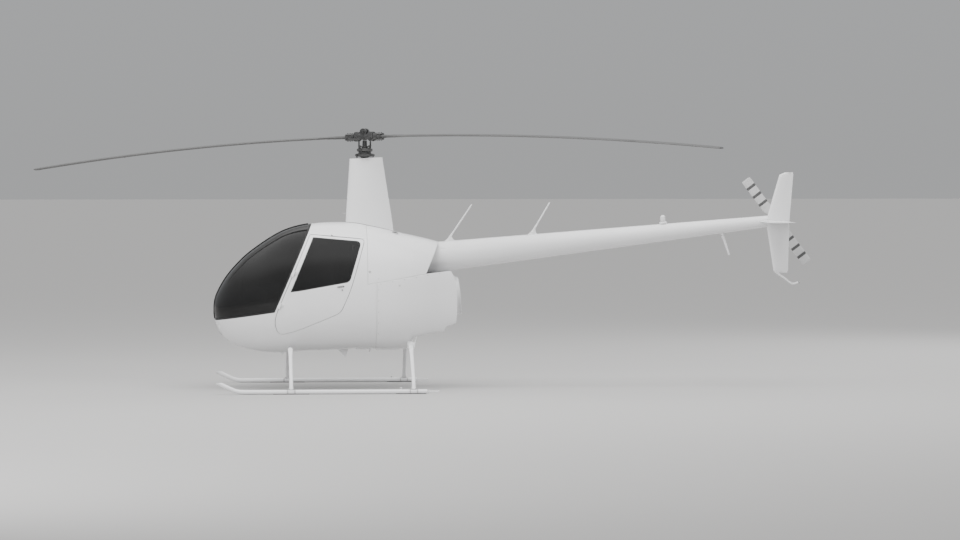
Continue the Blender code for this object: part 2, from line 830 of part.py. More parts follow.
def hinge_blocks(side, owner):
    """Hinge knuckles on the axis, each with a leaf that reaches into the hull or into the door."""
    _, axis = hinge_axis(side)
    aft = Vector((0.0, side, 0.0)).cross(axis).normalized() * side
    out = axis.cross(aft).normalized()
    out = out if out.y * side > 0 else -out
    blocks = []
    for z in HINGE_HEIGHTS:
        centre = hinge_point(side, z)
        shift = (KNUCKLE_LENGTH + RUN_GAP) / 2 * (-1 if owner == "hull" else 1)
        middle = centre + axis * shift
        reach = LEAF_REACH[owner]
        bm = bmesh.new()
        frame = Matrix((aft, out, axis)).transposed().to_4x4()
        bmesh.ops.create_cone(
            bm, cap_ends=True, segments=12, radius1=KNUCKLE_R, radius2=KNUCKLE_R,
            depth=KNUCKLE_LENGTH, matrix=Matrix.Translation(middle) @ frame,
        )
        leaf = box_bmesh(
            (min(0.0, reach), -HINGE_OUT - LEAF_LOW, -KNUCKLE_LENGTH / 2),
            (max(0.0, reach), -LEAF_HIGH, KNUCKLE_LENGTH / 2),
        )
        bmesh.ops.transform(leaf, matrix=Matrix.Translation(middle) @ frame, verts=leaf.verts)
        blocks.append(bm)
        blocks.append(leaf)
    return blocks


def build_roof():
    outline = [
        ROOF_SEAM_FRONT,
        ROOF_SEAM_REAR,
        (ROOF_SEAM_REAR[0], CUT_TOP_Z),
        WINDSCREEN_REAR_TOP,
    ]
    roof = panel("roof", inset(outline, GAP / 2), HULL_WALL, "white_paint")
    boolean(roof, "DIFFERENCE", mast_hole())
    for name, side in SIDES:
        boolean(roof, "DIFFERENCE", bpy.data.objects[f"door_opening_{name}"])
    return roof


def mast_hole():
    if "mast_hole" not in bpy.data.objects:
        low, high = MAST_HOLE_Z
        rod("mast_hole", (0.0, 0.0, low), (0.0, 0.0, high), MAST_HOLE_R, sides=24)
    return bpy.data.objects["mast_hole"]


def build_windscreens():
    outline = [*WINDSCREEN_SILL, WINDSCREEN_REAR_TOP, (CUT_FRONT_X, WINDSCREEN_REAR_TOP[1])]
    for name, side in SIDES:
        low, high = sorted((side * GAP / 2, side * CUT_SIDE_Y))
        panel(f"windscreen_{name}", inset(outline, GAP / 2), GLASS_WALL, "dark_glass", low, high)


def build_doors():
    for name, side in SIDES:
        door = loft(f"door_{name}", body_rings(), "white_paint")
        boolean(door, "DIFFERENCE", inner_body(DOOR_WALL))
        boolean(door, "INTERSECT", drafted_opening(f"door_shape_{name}", side, DOOR_GAP))
        low, high = sorted((side * DOOR_CUT_Y, side * CUT_SIDE_Y))
        window = prism(f"door_window_cut_{name}", DOOR_WINDOW, low, high)
        boolean(door, "DIFFERENCE", window)
        for number, knuckle in enumerate(hinge_blocks(side, "door")):
            boolean(door, "UNION", add_bmesh(f"door_hinge_{name}_{number}", knuckle))
        panel(f"door_glass_{name}", inset(DOOR_WINDOW, GAP), GLASS_WALL, "dark_glass", low, high,
              depth=DOOR_GLASS_DEPTH)


# Cabin inside


def build_cabin_inside():
    floor_rear = LOWER_COWL_FRONT_X - FLOOR_REAR_GAP
    fitted_slab("cabin_floor", (FLOOR_FRONT, -CUT_SIDE_Y, FLOOR_LOW),
                (floor_rear, CUT_SIDE_Y, FLOOR_TOP), HULL_WALL + GAP, "cabin_trim")
    fitted_slab("firewall", (FIREWALL_FRONT, -CUT_SIDE_Y, FLOOR_TOP + GAP),
                (FIREWALL_BACK, CUT_SIDE_Y, FIREWALL_TOP), INNER_CLEAR, "cabin_trim")
    fitted_slab("seat_base", (SEAT_BASE_FRONT, -SEAT_BASE_HALF_WIDTH, FLOOR_TOP + GAP),
                (FIREWALL_FRONT - GAP, SEAT_BASE_HALF_WIDTH, SEAT_TOP), INNER_CLEAR, "cabin_trim")
    for name, side in SIDES:
        build_seat(name, side)
        build_pedals(name, side)
    build_console()
    build_sticks()


def build_seat(name, side):
    cushion_high = SEAT_TOP + CUSHION_THICK
    low, high = sorted((side * (SEAT_Y - SEAT_HALF_WIDTH), side * (SEAT_Y + SEAT_HALF_WIDTH)))
    cushion = box(f"seat_cushion_{name}", (CUSHION_FRONT, low, SEAT_TOP + GAP),
                  (CUSHION_REAR, high, cushion_high), "seat_leather")
    bevel(cushion, CUSHION_EDGE, 3)
    half = Vector((BACK_THICK / 2, SEAT_HALF_WIDTH - BACK_NARROWER, BACK_TALL / 2))
    lowest = (half.z - BACK_EDGE) * math.cos(BACK_LEAN) + (half.x - BACK_EDGE) * math.sin(BACK_LEAN)
    centre = (BACK_X, side * SEAT_Y, cushion_high - BACK_SETTLE + lowest + BACK_EDGE)
    back = box(f"seat_back_{name}", -half, half, "seat_leather", location=centre,
               rotation=(0.0, BACK_LEAN, 0.0))
    bevel(back, BACK_EDGE, 3)


def build_pedals(name, side):
    bar_z = FLOOR_TOP + PEDAL_BAR_RISE
    inner_y, outer_y = (side * y for y in PEDAL_BAR_Y)
    bar = rod(f"pedals_{name}", (PEDAL_BAR_X, inner_y, bar_z), (PEDAL_BAR_X, outer_y, bar_z),
              PEDAL_BAR_R, "charcoal_metal")
    top_x, top_z = PEDAL_TOP
    for number, y in enumerate((inner_y + side * PEDAL_ARM_IN, outer_y - side * PEDAL_ARM_IN)):
        arm = rod(f"pedal_arm_{name}_{number}", (PEDAL_BAR_X, y, bar_z), (top_x, y, top_z),
                  PEDAL_ARM_R, sides=8)
        pad = box(f"pedal_pad_{name}_{number}",
                  (PEDAL_PAD_X[0], y - PEDAL_PAD_HALF_WIDTH, PEDAL_PAD_Z[0]),
                  (PEDAL_PAD_X[1], y + PEDAL_PAD_HALF_WIDTH, PEDAL_PAD_Z[1]))
        boolean(bar, "UNION", arm)
        boolean(bar, "UNION", pad)


def build_console():
    console = prism("console", CONSOLE_OUTLINE, -CONSOLE_HALF_WIDTH, CONSOLE_HALF_WIDTH,
                    "cabin_trim")
    bevel(console, CONSOLE_EDGE)
    tube("windscreen_bow", [(x, 0.0, z) for x, z in BOW_POINTS], BOW_R, "charcoal_metal")


def build_sticks():
    left = [(x, -y, z) for x, y, z in CYCLIC_POINTS]
    bar = tube("cyclic", left + list(reversed(CYCLIC_POINTS)), CYCLIC_R, "charcoal_metal")
    cross_x, _, cross_z = CYCLIC_POINTS[-1]
    post = rod("cyclic_post", (CYCLIC_POST_FOOT_X, 0.0, FLOOR_TOP + GAP + CYCLIC_POST_RISE),
               (cross_x, 0.0, cross_z), CYCLIC_POST_R)
    boolean(bar, "UNION", post)
    tube("collective", [(x, 0.0, SEAT_TOP + rise) for x, rise in COLLECTIVE_POINTS],
         COLLECTIVE_R, "charcoal_metal")


# Tanks, cowls and engine


def build_cowls():
    tank = [
        COWL_SEAM_FRONT,
        COWL_SEAM_REAR,
        TANK_REAR_TOP,
        (COWL_SEAM_FRONT[0], CUT_TOP_Z),
    ]
    tank = inset(tank, GAP / 2)
    for name, side in SIDES:
        low, high = sorted((side * TUNNEL_HALF_WIDTH, side * CUT_SIDE_Y))
        panel(f"tank_{name}", tank, 0.0, "white_paint", low, high, solid=True)
    tunnel = TUNNEL_HALF_WIDTH - GAP
    front_x = COWL_SEAM_FRONT[0]
    outline = [(front_x, CENTRE_COWL_Z), (CENTRE_COWL_REAR_X, CENTRE_COWL_Z), TANK_REAR_TOP,
               (front_x, CUT_TOP_Z)]
    centre = panel("centre_cowl", inset(outline, GAP / 2), COWL_WALL, "white_paint", -tunnel,
                   tunnel)
    boolean(centre, "DIFFERENCE", mast_hole())
    boolean(centre, "DIFFERENCE", loft("tailcone_room", [cone_ring(x, -GAP) for x in TAILCONE_ROOM_X]))
    lower = [
        (LOWER_COWL_FRONT_X, CUT_LOW_Z),
        *LOWER_COWL_REAR,
        COWL_SEAM_REAR,
        (LOWER_COWL_FRONT_X, seam_z(LOWER_COWL_FRONT_X)),
    ]
    for name, side in SIDES:
        low, high = sorted((side * GAP / 2, side * CUT_SIDE_Y))
        panel(f"lower_cowl_{name}", inset(lower, GAP / 2), COWL_WALL, "white_paint", low, high)


def build_engine():
    frame = rod("engine_frame", (BEAM_CROSS_X, -BEAM_Y, BEAM_Z), (BEAM_CROSS_X, BEAM_Y, BEAM_Z),
                BEAM_R, "bare_metal")
    for name, side in SIDES:
        beam = rod(f"engine_beam_{name}", (FIREWALL_BACK + GAP, side * BEAM_Y, BEAM_Z),
                   (BEAM_REAR_X, side * BEAM_Y, BEAM_Z), SIDE_BEAM_R)
        boolean(frame, "UNION", beam)
    block = box("engine", (ENGINE_FRONT, -ENGINE_HALF_WIDTH, ENGINE_LOW),
                (ENGINE_REAR, ENGINE_HALF_WIDTH, ENGINE_TOP), "bare_metal")
    bevel(block, ENGINE_EDGE)
    aft = (0.0, math.radians(90.0), 0.0)
    fan_place = (ENGINE_REAR + GAP, 0.0, FAN_Z)
    turned("fan_scroll", SCROLL_PROFILE, "white_paint", location=fan_place, rotation=aft,
           closed=True)
    turned("cooling_fan", FAN_PROFILE, "charcoal_metal", location=fan_place, rotation=aft)
    gearbox = box("gearbox", (GEARBOX_X[0], -GEARBOX_HALF_WIDTH, DECK_LOW),
                  (GEARBOX_X[1], GEARBOX_HALF_WIDTH, GEARBOX_TOP), "bare_metal")
    bevel(gearbox, GEARBOX_EDGE)
    deck = box("mast_deck",
               (FIREWALL_BACK + GAP, -TUNNEL_HALF_WIDTH + GAP, DECK_LOW + DECK_STEP),
               (TAILCONE_FRONT - GAP, TUNNEL_HALF_WIDTH - GAP, DECK_TOP))
    boolean(gearbox, "UNION", deck)


# Tail


def cone_values(x):
    """Height of the middle and radius of the tailcone at a station."""
    top, bottom = (z + slope * (x - at) for at, z, slope in (CONE_TOP, CONE_BOTTOM))
    return (top + bottom) / 2, (top - bottom) / 2


def cone_ring(x, wall=0.0):
    middle, radius = cone_values(x)
    radius -= wall
    return ellipse((x, 0.0, middle), (0.0, radius, 0.0), (0.0, 0.0, radius), CONE_SIDES)


def build_tail():
    between = [TAILCONE_FRONT + CONE_STEP * i for i in range(1, CONE_STEPS + 1)]
    stations = [TAILCONE_FRONT + GAP / 2, *between, TAILCONE_REAR]
    cone = loft("tailcone", [cone_ring(x) for x in stations], "white_paint")
    hollow = [*CONE_HOLLOW_X, TAILCONE_REAR - CONE_END_WALL]
    boolean(cone, "DIFFERENCE", loft("tailcone_hollow", [cone_ring(x, TAIL_WALL) for x in hollow]))
    build_fins()
    build_tail_gearbox()
    build_boom_fittings()


def build_fins():
    fin = prism("tail_fin", FIN_OUTLINE, FIN_Y - FIN_THICK / 2, FIN_Y + FIN_THICK / 2,
                "white_paint")
    bevel(fin, FIN_EDGE)
    rings = []
    for y, front, rear in STABILISER_STATIONS:
        rings.append([
            ((front + rear) / 2 + (front - rear) / 2 * along, y, STABILISER_Z + up)
            for along, up in STABILISER_SECTION
        ])
    loft("stabiliser", rings, "white_paint")
    tube("tail_skid", [(x, FIN_Y, z) for x, z in TAIL_SKID_POINTS], TAIL_SKID_R, "white_paint")


def build_tail_gearbox():
    x, hub_y, z = TAIL_HUB
    low_y = FIN_Y + FIN_THICK / 2 + GAP
    seat_y = hub_y - TAIL_SHAFT_LENGTH - RUN_GAP
    foot = [(0.055, low_y + 0.010), (0.045, low_y), (0.0, low_y)]
    profile = [(0.0, seat_y), (0.026, seat_y), *TAIL_GEARBOX_PROFILE, *foot]
    turned("tail_gearbox", profile, "white_paint", location=(x, 0.0, z),
           rotation=(math.radians(-90.0), 0.0, 0.0))


def build_boom_fittings():
    for name, front, rear, neck_x, neck_z, tip_x, tip_z, under in WHIPS:
        rings = []
        foot = []
        middle, half = (front + rear) / 2, (rear - front) / 2
        for point in ellipse((middle, 0.0, 0.0), (half, 0, 0), (0, WHIP_FOOT_HALF, 0)):
            centre, radius = cone_values(point.x)
            point.z = centre + (radius + GAP) * (-1 if under else 1)
            foot.append(point)
        rings.append(foot)
        slope = (tip_z - neck_z) / (tip_x - neck_x)
        across = Vector((slope, 0.0, -1.0)).normalized()
        across = across if across.x > 0 else -across
        for x, z, radius in ((neck_x, neck_z, WHIP_NECK_R), (tip_x, tip_z, WHIP_TIP_R)):
            rings.append(ellipse((x, 0.0, z), across * radius, (0.0, radius, 0.0)))
        loft(name, rings, "white_paint")
    centre, radius = cone_values(BEACON_X)
    turned("beacon", BEACON_PROFILE, "white_paint",
           location=(BEACON_X, 0.0, centre + radius + GAP),
           rotation=(0.0, -math.atan(CONE_TOP[2]), 0.0))
    belly = [(x, surface_z(x, BELLY_AERIAL_HALF, under=True) - GAP - drop)
             for x, drop in BELLY_AERIAL]
    prism("aerial_belly", belly, -BELLY_AERIAL_HALF, BELLY_AERIAL_HALF, "white_paint")


# Mast fairing


def fairing_point(share, along, half):
    """A point of the streamlined section: along runs 0 at the nose to 1 at the tail."""
    thickness = half * 2.6 * (math.sqrt(along) * 0.77 - along * 0.32 - along ** 2 * 0.45)
    front = np.array(FAIRING_FRONT[0]) * (1 - share) + np.array(FAIRING_FRONT[1]) * share
    rear = np.array(FAIRING_REAR[0]) * (1 - share) + np.array(FAIRING_REAR[1]) * share
    x, z = front + (rear - front) * along
    return x, max(FAIRING_TAIL_HALF, thickness), z


def build_mast_fairing():
    rings = []
    for i in range(FAIRING_RINGS):
        share = i / (FAIRING_RINGS - 1)
        half = FAIRING_HALF[0] * (1 - share) + FAIRING_HALF[1] * share
        ring = []
        for side, order in ((1, FAIRING_STEPS), (-1, FAIRING_STEPS[:0:-1])):
            for along in order:
                x, y, z = fairing_point(share, along, half)
                y = 0.0 if along == 0.0 else y
                if i == 0:
                    z = surface_z(x, y) + FAIRING_RISE
                ring.append((x, side * y, z))
        rings.append(ring)
    bm = loft_bmesh(rings, caps=False)
    shell = add_bmesh("mast_fairing", bm, "white_paint")
    wall = shell.modifiers.new("wall", "SOLIDIFY")
    wall.thickness = FAIRING_WALL
    wall.offset = -1.0
    wall.use_even_offset = True
    foot_x, tip_x = PITOT_X
    boolean(shell, "UNION", rod("pitot", (foot_x, 0.0, PITOT_Z), (tip_x, 0.0, PITOT_Z),
                                PITOT_R[0], end_radius=PITOT_R[1]))


# Landing gear


def build_skid(name, side):
    y = side * SKID_Y
    bend = [(SKID_REAR, y, SKID_Z), (SKID_BEND, y, SKID_Z)]
    bend += [(x, y, z) for x, z in SKID_RISE]
    skid = tube(f"skid_{name}", bend, SKID_R, "white_paint")
    for number, (front, rear) in enumerate(SHOES):
        shoe = box(f"shoe_{name}_{number}", (front, y - SHOE_HALF_WIDTH, 0.0),
                   (rear, y + SHOE_HALF_WIDTH, SHOE_THICK))
        boolean(skid, "UNION", shoe)
    start, end = SKID_ROD_X
    boolean(skid, "UNION", rod(f"skid_rod_{name}", (start, y, SKID_Z), (end, y, SKID_Z),
                               SKID_ROD_R, sides=8))
    boolean(skid, "UNION", rod(f"skid_knob_{name}", (KNOB_X, y, SKID_Z), (KNOB_X, y, KNOB_TOP),
                               KNOB_R, sides=10))


def build_leg(place, name, side, top_x, top_z, foot_x):
    """A splayed leg from the cross tube's end to the top of the skid, wider at its foot."""
    foot_z = SKID_Z + SKID_R + GAP
    top_y = side * (CROSS_HALF + GAP)
    across, up = KNEE_HALF
    rings = [
        ellipse((top_x, top_y, top_z), (LEG_HALF, 0, 0), (0, 0, LEG_TOP_HALF)),
        ellipse((top_x, top_y + side * KNEE_OUT, top_z - KNEE_DOWN), (LEG_HALF, 0, 0),
                (0, side * across, up)),
    ]
    for inward, rise, half_x, half_y, half_z in LEG_FOOT:
        rings.append(ellipse((foot_x, side * (SKID_Y - inward), foot_z + rise), (half_x, 0, 0),
                             (0, side * half_y, half_z)))
    loft(f"leg_{place}_{name}", rings, "white_paint")


def build_landing_gear():
    for place, x, z, foot_x in LEG_AXES:
        rod(f"cross_tube_{place}", (x, -CROSS_HALF, z), (x, CROSS_HALF, z), CROSS_TUBE_R,
            "white_paint", sides=CROSS_SIDES)
        for name, side in SIDES:
            build_leg(place, name, side, x, z, foot_x)
    for name, side in SIDES:
        build_skid(name, side)


# Main rotor


def build_swashplates(rotor):
    sleeve = [(SLEEVE_OUT, SLEEVE_SHOULDER_Z), (SLEEVE_OUT, GEARBOX_TOP + GAP),
              (SLEEVE_IN, GEARBOX_TOP + GAP), (SLEEVE_IN, FIXED_RING_TOP), *FIXED_RING]
    turned("swashplate_fixed", sleeve, "charcoal_metal", closed=True)
    low = FIXED_RING_TOP + RUN_GAP
    bore = MAST_R + TURNING_CLEAR
    ring = [(TURNING_LOW_R, low), *TURNING_RING, (bore, TURNING_RING[-1][1]), (bore, low)]
    plate = turned("swashplate_turning", ring, "charcoal_metal", parent=rotor, closed=True,
                   rotation=(0.0, 0.0, ROTOR_AZIMUTH))
    turn = Matrix.Rotation(ROTOR_AZIMUTH, 4, "Z")
    start_x, start_y = LINK_ARM_START
    for number, side in enumerate((1, -1)):
        x, y = side * HORN_X, side * HORN_REACH
        horn_z = ROTOR_Z + HORN_Z[0] + side * HORN_X * math.sin(ROTOR_TEETER)
        parts = (
            rod(f"link_{number}", turn @ Vector((x, y, LINK_LOW_Z)),
                turn @ Vector((x, y, horn_z - GAP - LINK_TOP_GAP)), LINK_R, sides=8,
                parent=rotor),
            rod(f"link_arm_{number}", turn @ Vector((side * start_x, side * start_y, LINK_ARM_Z)),
                turn @ Vector((x * LINK_ARM_REACH, y * LINK_ARM_REACH, LINK_ARM_Z)), LINK_ARM_R,
                sides=8, parent=rotor),
        )
        for part in parts:
            boolean(plate, "UNION", part)


def blade_ring(r, half_chord, half_thick, lead, square):
    """A blade section at a radius: lead is the middle's place ahead of the span line."""
    share = max(0.0, r - DROOP_START) / (ROTOR_RADIUS - DROOP_START)
    droop = ROTOR_DROOP * share ** DROOP_POWER
    ring = []
    for i in range(BLADE_POINTS):
        turn = 2 * math.pi * i / BLADE_POINTS
        along = power(math.cos(turn), 1.0 if not square else 0.5)
        up = power(math.sin(turn), 1.0 if not square else 0.5)
        taper = 1.0 if square else 0.62 + 0.38 * along + 0.12 * (1 - along * along)
        ring.append((r, lead + half_chord * along, half_thick * up * taper - droop))
    return ring


def build_main_rotor():
    rotor = make_empty("main_rotor_axis", (0.0, 0.0, 0.0), AIRFRAME)
    rod("rotor_mast", (0.0, 0.0, GEARBOX_TOP + RUN_GAP),
        (0.0, 0.0, ROTOR_Z + HUB_LOW - MAST_TOP_GAP), MAST_R, "charcoal_metal", sides=24,
        parent=rotor)
    teeter = make_empty("teeter_line", (0.0, 0.0, ROTOR_Z), rotor,
                        (0.0, -ROTOR_TEETER, ROTOR_AZIMUTH))
    half_length = GRIP_START - HUB_CLEAR
    hub = box("rotor_hub", (-half_length, -HUB_HALF_WIDTH, HUB_LOW),
              (half_length, HUB_HALF_WIDTH, HUB_HIGH), "charcoal_metal", parent=teeter)
    bevel(hub, HUB_EDGE)
    reach, radius = TEETER_BOLT
    boolean(hub, "UNION", rod("teeter_bolt", (0.0, -reach, BOLT_UP), (0.0, reach, BOLT_UP),
                              radius, parent=teeter))
    boolean(hub, "UNION", rod("hub_cap", (0.0, 0.0, HUB_CAP_Z[0]), (0.0, 0.0, HUB_CAP_Z[1]),
                              HUB_CAP_R, parent=teeter))
    for number, x in enumerate((-CONE_BOLT_X, CONE_BOLT_X)):
        boolean(hub, "UNION", rod(f"cone_bolt_{number}", (x, -CONE_BOLT_HALF, CONE_BOLT_Z),
                                  (x, CONE_BOLT_HALF, CONE_BOLT_Z), CONE_BOLT_R, parent=teeter))
    horn_end = HORN_REACH + HORN_WIDE
    for letter, turn in (("a", 0.0), ("b", math.pi)):
        blade = loft(f"rotor_blade_{letter}", [blade_ring(*row) for row in BLADE_STATIONS],
                     "blade_grey", parent=teeter, rotation=(0.0, 0.0, turn))
        horn = box(f"pitch_horn_{letter}", (HORN_BACK_X, HORN_ROOT_Y, HORN_Z[0]),
                   (HORN_FRONT_X, horn_end, HORN_Z[1]), parent=teeter,
                   rotation=(0.0, 0.0, turn))
        arm = box(f"horn_arm_{letter}",
                  (HORN_X - HORN_WIDE, HORN_REACH - HORN_WIDE, HORN_Z[0]),
                  (HORN_FRONT_X, horn_end, HORN_Z[1]), parent=teeter,
                  rotation=(0.0, 0.0, turn))
        boolean(blade, "UNION", horn)
        boolean(blade, "UNION", arm)
    build_swashplates(rotor)


# Tail rotor


def build_tail_rotor():
    axis = make_empty("tail_rotor_axis", TAIL_HUB, AIRFRAME, (0.0, TAIL_ANGLE, 0.0))
    half = Vector(TAIL_HUB_HALF)
    hub = box("tail_hub", -half, half, "charcoal_metal", parent=axis)
    bevel(hub, TAIL_HUB_EDGE)
    boolean(hub, "UNION", rod("tail_shaft", (0.0, -TAIL_SHAFT_LENGTH, 0.0),
                              (0.0, TAIL_SHAFT_END, 0.0), TAIL_SHAFT_R, sides=SHAFT_SIDES,
                              parent=axis))
    boolean(hub, "UNION", rod("tail_pitch_ring", (0.0, PITCH_RING_Y[0], 0.0),
                              (0.0, PITCH_RING_Y[1], 0.0), PITCH_RING_R, sides=SHAFT_SIDES,
                              parent=axis))
    for letter, turn in (("a", 0.0), ("b", math.pi)):
        rings = [ellipse((r, 0.0, 0.0), (0, 0, half_chord), (0, half_thick, 0))
                 for r, half_chord, half_thick in TAIL_STATIONS]
        loft(f"tail_blade_{letter}", rings, "tail_blade_grey", parent=axis,
             rotation=(0.0, turn, 0.0))


build_hull()
build_roof()
build_windscreens()
build_doors()
build_cabin_inside()
build_cowls()
build_engine()
build_tail()
build_mast_fairing()
build_landing_gear()
build_main_rotor()
build_tail_rotor()
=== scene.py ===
"""Looks of the light helicopter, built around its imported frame.

Lengths are in metres. Shapes are written in stations along X from the main mast's axis, aft is
+X, up is +Z and the port side is -Y. Each finished piece is moved once, by AIRFRAME.
"""

import math

import bmesh
import bpy
import numpy as np
from mathutils import Matrix, Vector
from mathutils.bvhtree import BVHTree


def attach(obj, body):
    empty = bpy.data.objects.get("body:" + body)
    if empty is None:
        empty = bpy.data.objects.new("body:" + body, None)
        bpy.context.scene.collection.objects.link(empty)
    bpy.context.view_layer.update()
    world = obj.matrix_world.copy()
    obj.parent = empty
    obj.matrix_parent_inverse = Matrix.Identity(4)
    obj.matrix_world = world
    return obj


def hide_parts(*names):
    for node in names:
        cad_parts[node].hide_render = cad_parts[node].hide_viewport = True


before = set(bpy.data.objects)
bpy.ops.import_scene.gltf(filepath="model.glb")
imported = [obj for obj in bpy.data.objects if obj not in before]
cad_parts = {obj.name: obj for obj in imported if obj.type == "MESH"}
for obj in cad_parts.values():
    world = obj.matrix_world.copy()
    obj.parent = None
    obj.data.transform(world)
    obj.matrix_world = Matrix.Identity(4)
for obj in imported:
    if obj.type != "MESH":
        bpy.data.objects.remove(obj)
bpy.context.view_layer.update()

MAST_X = -0.5935
AIRFRAME = Matrix.Translation((MAST_X, 0.0, 0.0))
SIDES = (("left", -1), ("right", 1))

ROTOR_RADIUS = 3.835
ROTOR_CHORD = 0.183
ROTOR_Z = 2.555
ROTOR_AZIMUTH = -0.4731
ROTOR_TEETER = 0.0294
ROTOR_DROOP = 0.226
TEETER = (AIRFRAME @ Matrix.Translation((0.0, 0.0, ROTOR_Z))
          @ Matrix.Rotation(ROTOR_AZIMUTH, 4, "Z") @ Matrix.Rotation(-ROTOR_TEETER, 4, "Y"))
MAST = AIRFRAME @ Matrix.Rotation(ROTOR_AZIMUTH, 4, "Z")
TAIL_HUB = Vector((4.261, 0.25, 1.69))
TAIL_RADIUS = 0.5335
TAIL_CHORD = 0.102
TAIL_ANGLE = 0.928
TAIL_AXIS = AIRFRAME @ Matrix.Translation(TAIL_HUB) @ Matrix.Rotation(TAIL_ANGLE, 4, "Y")


# Materials

class Finish:
    """A material whose nodes are wired one line at a time."""

    def __init__(self, name, colour, roughness=0.5, metallic=0.0, **sockets):
        self.material = bpy.data.materials.new(name)
        self.material.use_nodes = True
        self.tree = self.material.node_tree
        self.shader = self.tree.nodes["Principled BSDF"]
        self.set("Base Color", (*colour, 1.0))
        self.set("Roughness", roughness)
        self.set("Metallic", metallic)
        for socket, value in sockets.items():
            self.set(socket.replace("_", " "), value)
        self.place = self.node("ShaderNodeTexCoord").outputs["Object"]

    def set(self, socket, value):
        self.shader.inputs[socket].default_value = value

    def node(self, kind, **values):
        node = self.tree.nodes.new(kind)
        for name, value in values.items():
            if name in node.inputs:
                node.inputs[name].default_value = value
            else:
                setattr(node, name, value)
        return node

    def join(self, start, end):
        self.tree.links.new(start, end)

    def noise(self, scale, detail=2.0, stretch=None, roughness=0.5):
        texture = self.node("ShaderNodeTexNoise", Scale=scale, Detail=detail, Roughness=roughness)
        self.join(self.stretched(stretch), texture.inputs["Vector"])
        return texture.outputs["Fac"]

    def cells(self, scale, output="Distance", stretch=None, feature="F1"):
        texture = self.node("ShaderNodeTexVoronoi", Scale=scale, feature=feature)
        self.join(self.stretched(stretch), texture.inputs["Vector"])
        return texture.outputs[output]

    def wave(self, scale, direction, distortion=0.0):
        texture = self.node("ShaderNodeTexWave", Scale=scale, Distortion=distortion,
                            bands_direction=direction)
        self.join(self.place, texture.inputs["Vector"])
        return texture.outputs["Fac"]

    def stretched(self, stretch):
        if stretch is None:
            return self.place
        mapping = self.node("ShaderNodeMapping", Scale=stretch)
        self.join(self.place, mapping.inputs["Vector"])
        return mapping.outputs["Vector"]

    def ramp(self, factor, low, high, start=0.0, end=1.0):
        ramp = self.node("ShaderNodeMapRange")
        self.join(factor, ramp.inputs["Value"])
        for socket, value in zip(("From Min", "From Max", "To Min", "To Max"),
                                 (start, end, low, high)):
            ramp.inputs[socket].default_value = value
        return ramp.outputs["Result"]

    def colours(self, factor, *stops):
        ramp = self.node("ShaderNodeValToRGB")
        elements = ramp.color_ramp.elements
        while len(elements) < len(stops):
            elements.new(0.5)
        for element, (position, colour) in zip(elements, stops):
            element.position = position
            element.color = (*colour, 1.0)
        self.join(factor, ramp.inputs["Fac"])
        self.join(ramp.outputs["Color"], self.shader.inputs["Base Color"])
        return self

    def rough(self, factor, low, high):
        self.join(self.ramp(factor, low, high), self.shader.inputs["Roughness"])
        return self

    def bump(self, height, strength, distance=0.001):
        bump = self.node("ShaderNodeBump", Strength=strength, Distance=distance)
        self.join(height, bump.inputs["Height"])
        self.join(bump.outputs["Normal"], self.shader.inputs["Normal"])
        return self


def grey(value, warm=0.0):
    """A grey of a given strength, a little warmer on request."""
    return (value * (1 + warm), value, value * (1 - warm))


def painted(name, colour, roughness, peel=0.05, coat=0.0):
    """Sprayed paint: faint shade and gloss drift, and the fine ripple of a sprayed coat."""
    finish = Finish(name, colour, roughness, Coat_Weight=coat, Coat_Roughness=0.08)
    drift = finish.noise(1.7, 3.0)
    finish.colours(drift, (0.3, tuple(part * 0.965 for part in colour)), (0.7, colour))
    finish.rough(finish.noise(6.0, 4.0), roughness * 0.85, roughness * 1.25)
    return finish.bump(finish.noise(260.0, 1.0), peel, 0.0005)


def cast_metal(name, colour, roughness, grain=500.0):
    finish = Finish(name, colour, roughness, 0.85)
    finish.colours(finish.noise(22.0, 4.0), (0.3, tuple(part * 0.75 for part in colour)),
                   (0.75, colour))
    finish.rough(finish.noise(60.0, 3.0), roughness * 0.8, roughness * 1.3)
    return finish.bump(finish.noise(grain, 2.0), 0.12, 0.0006)


def turned_metal(name, colour, roughness):
    finish = Finish(name, colour, roughness, 0.95)
    streaks = finish.noise(90.0, 2.0, (1.0, 1.0, 9.0))
    finish.rough(streaks, roughness * 0.7, roughness * 1.4)
    return finish.bump(streaks, 0.05, 0.0003)


def moulded(name, colour, roughness, grain=900.0, strength=0.12):
    finish = Finish(name, colour, roughness)
    finish.colours(finish.noise(9.0, 3.0), (0.3, tuple(part * 0.85 for part in colour)),
                   (0.75, colour))
    finish.rough(finish.noise(40.0, 2.0), roughness * 0.9, min(1.0, roughness * 1.15))
    return finish.bump(finish.cells(grain), strength, 0.0006)


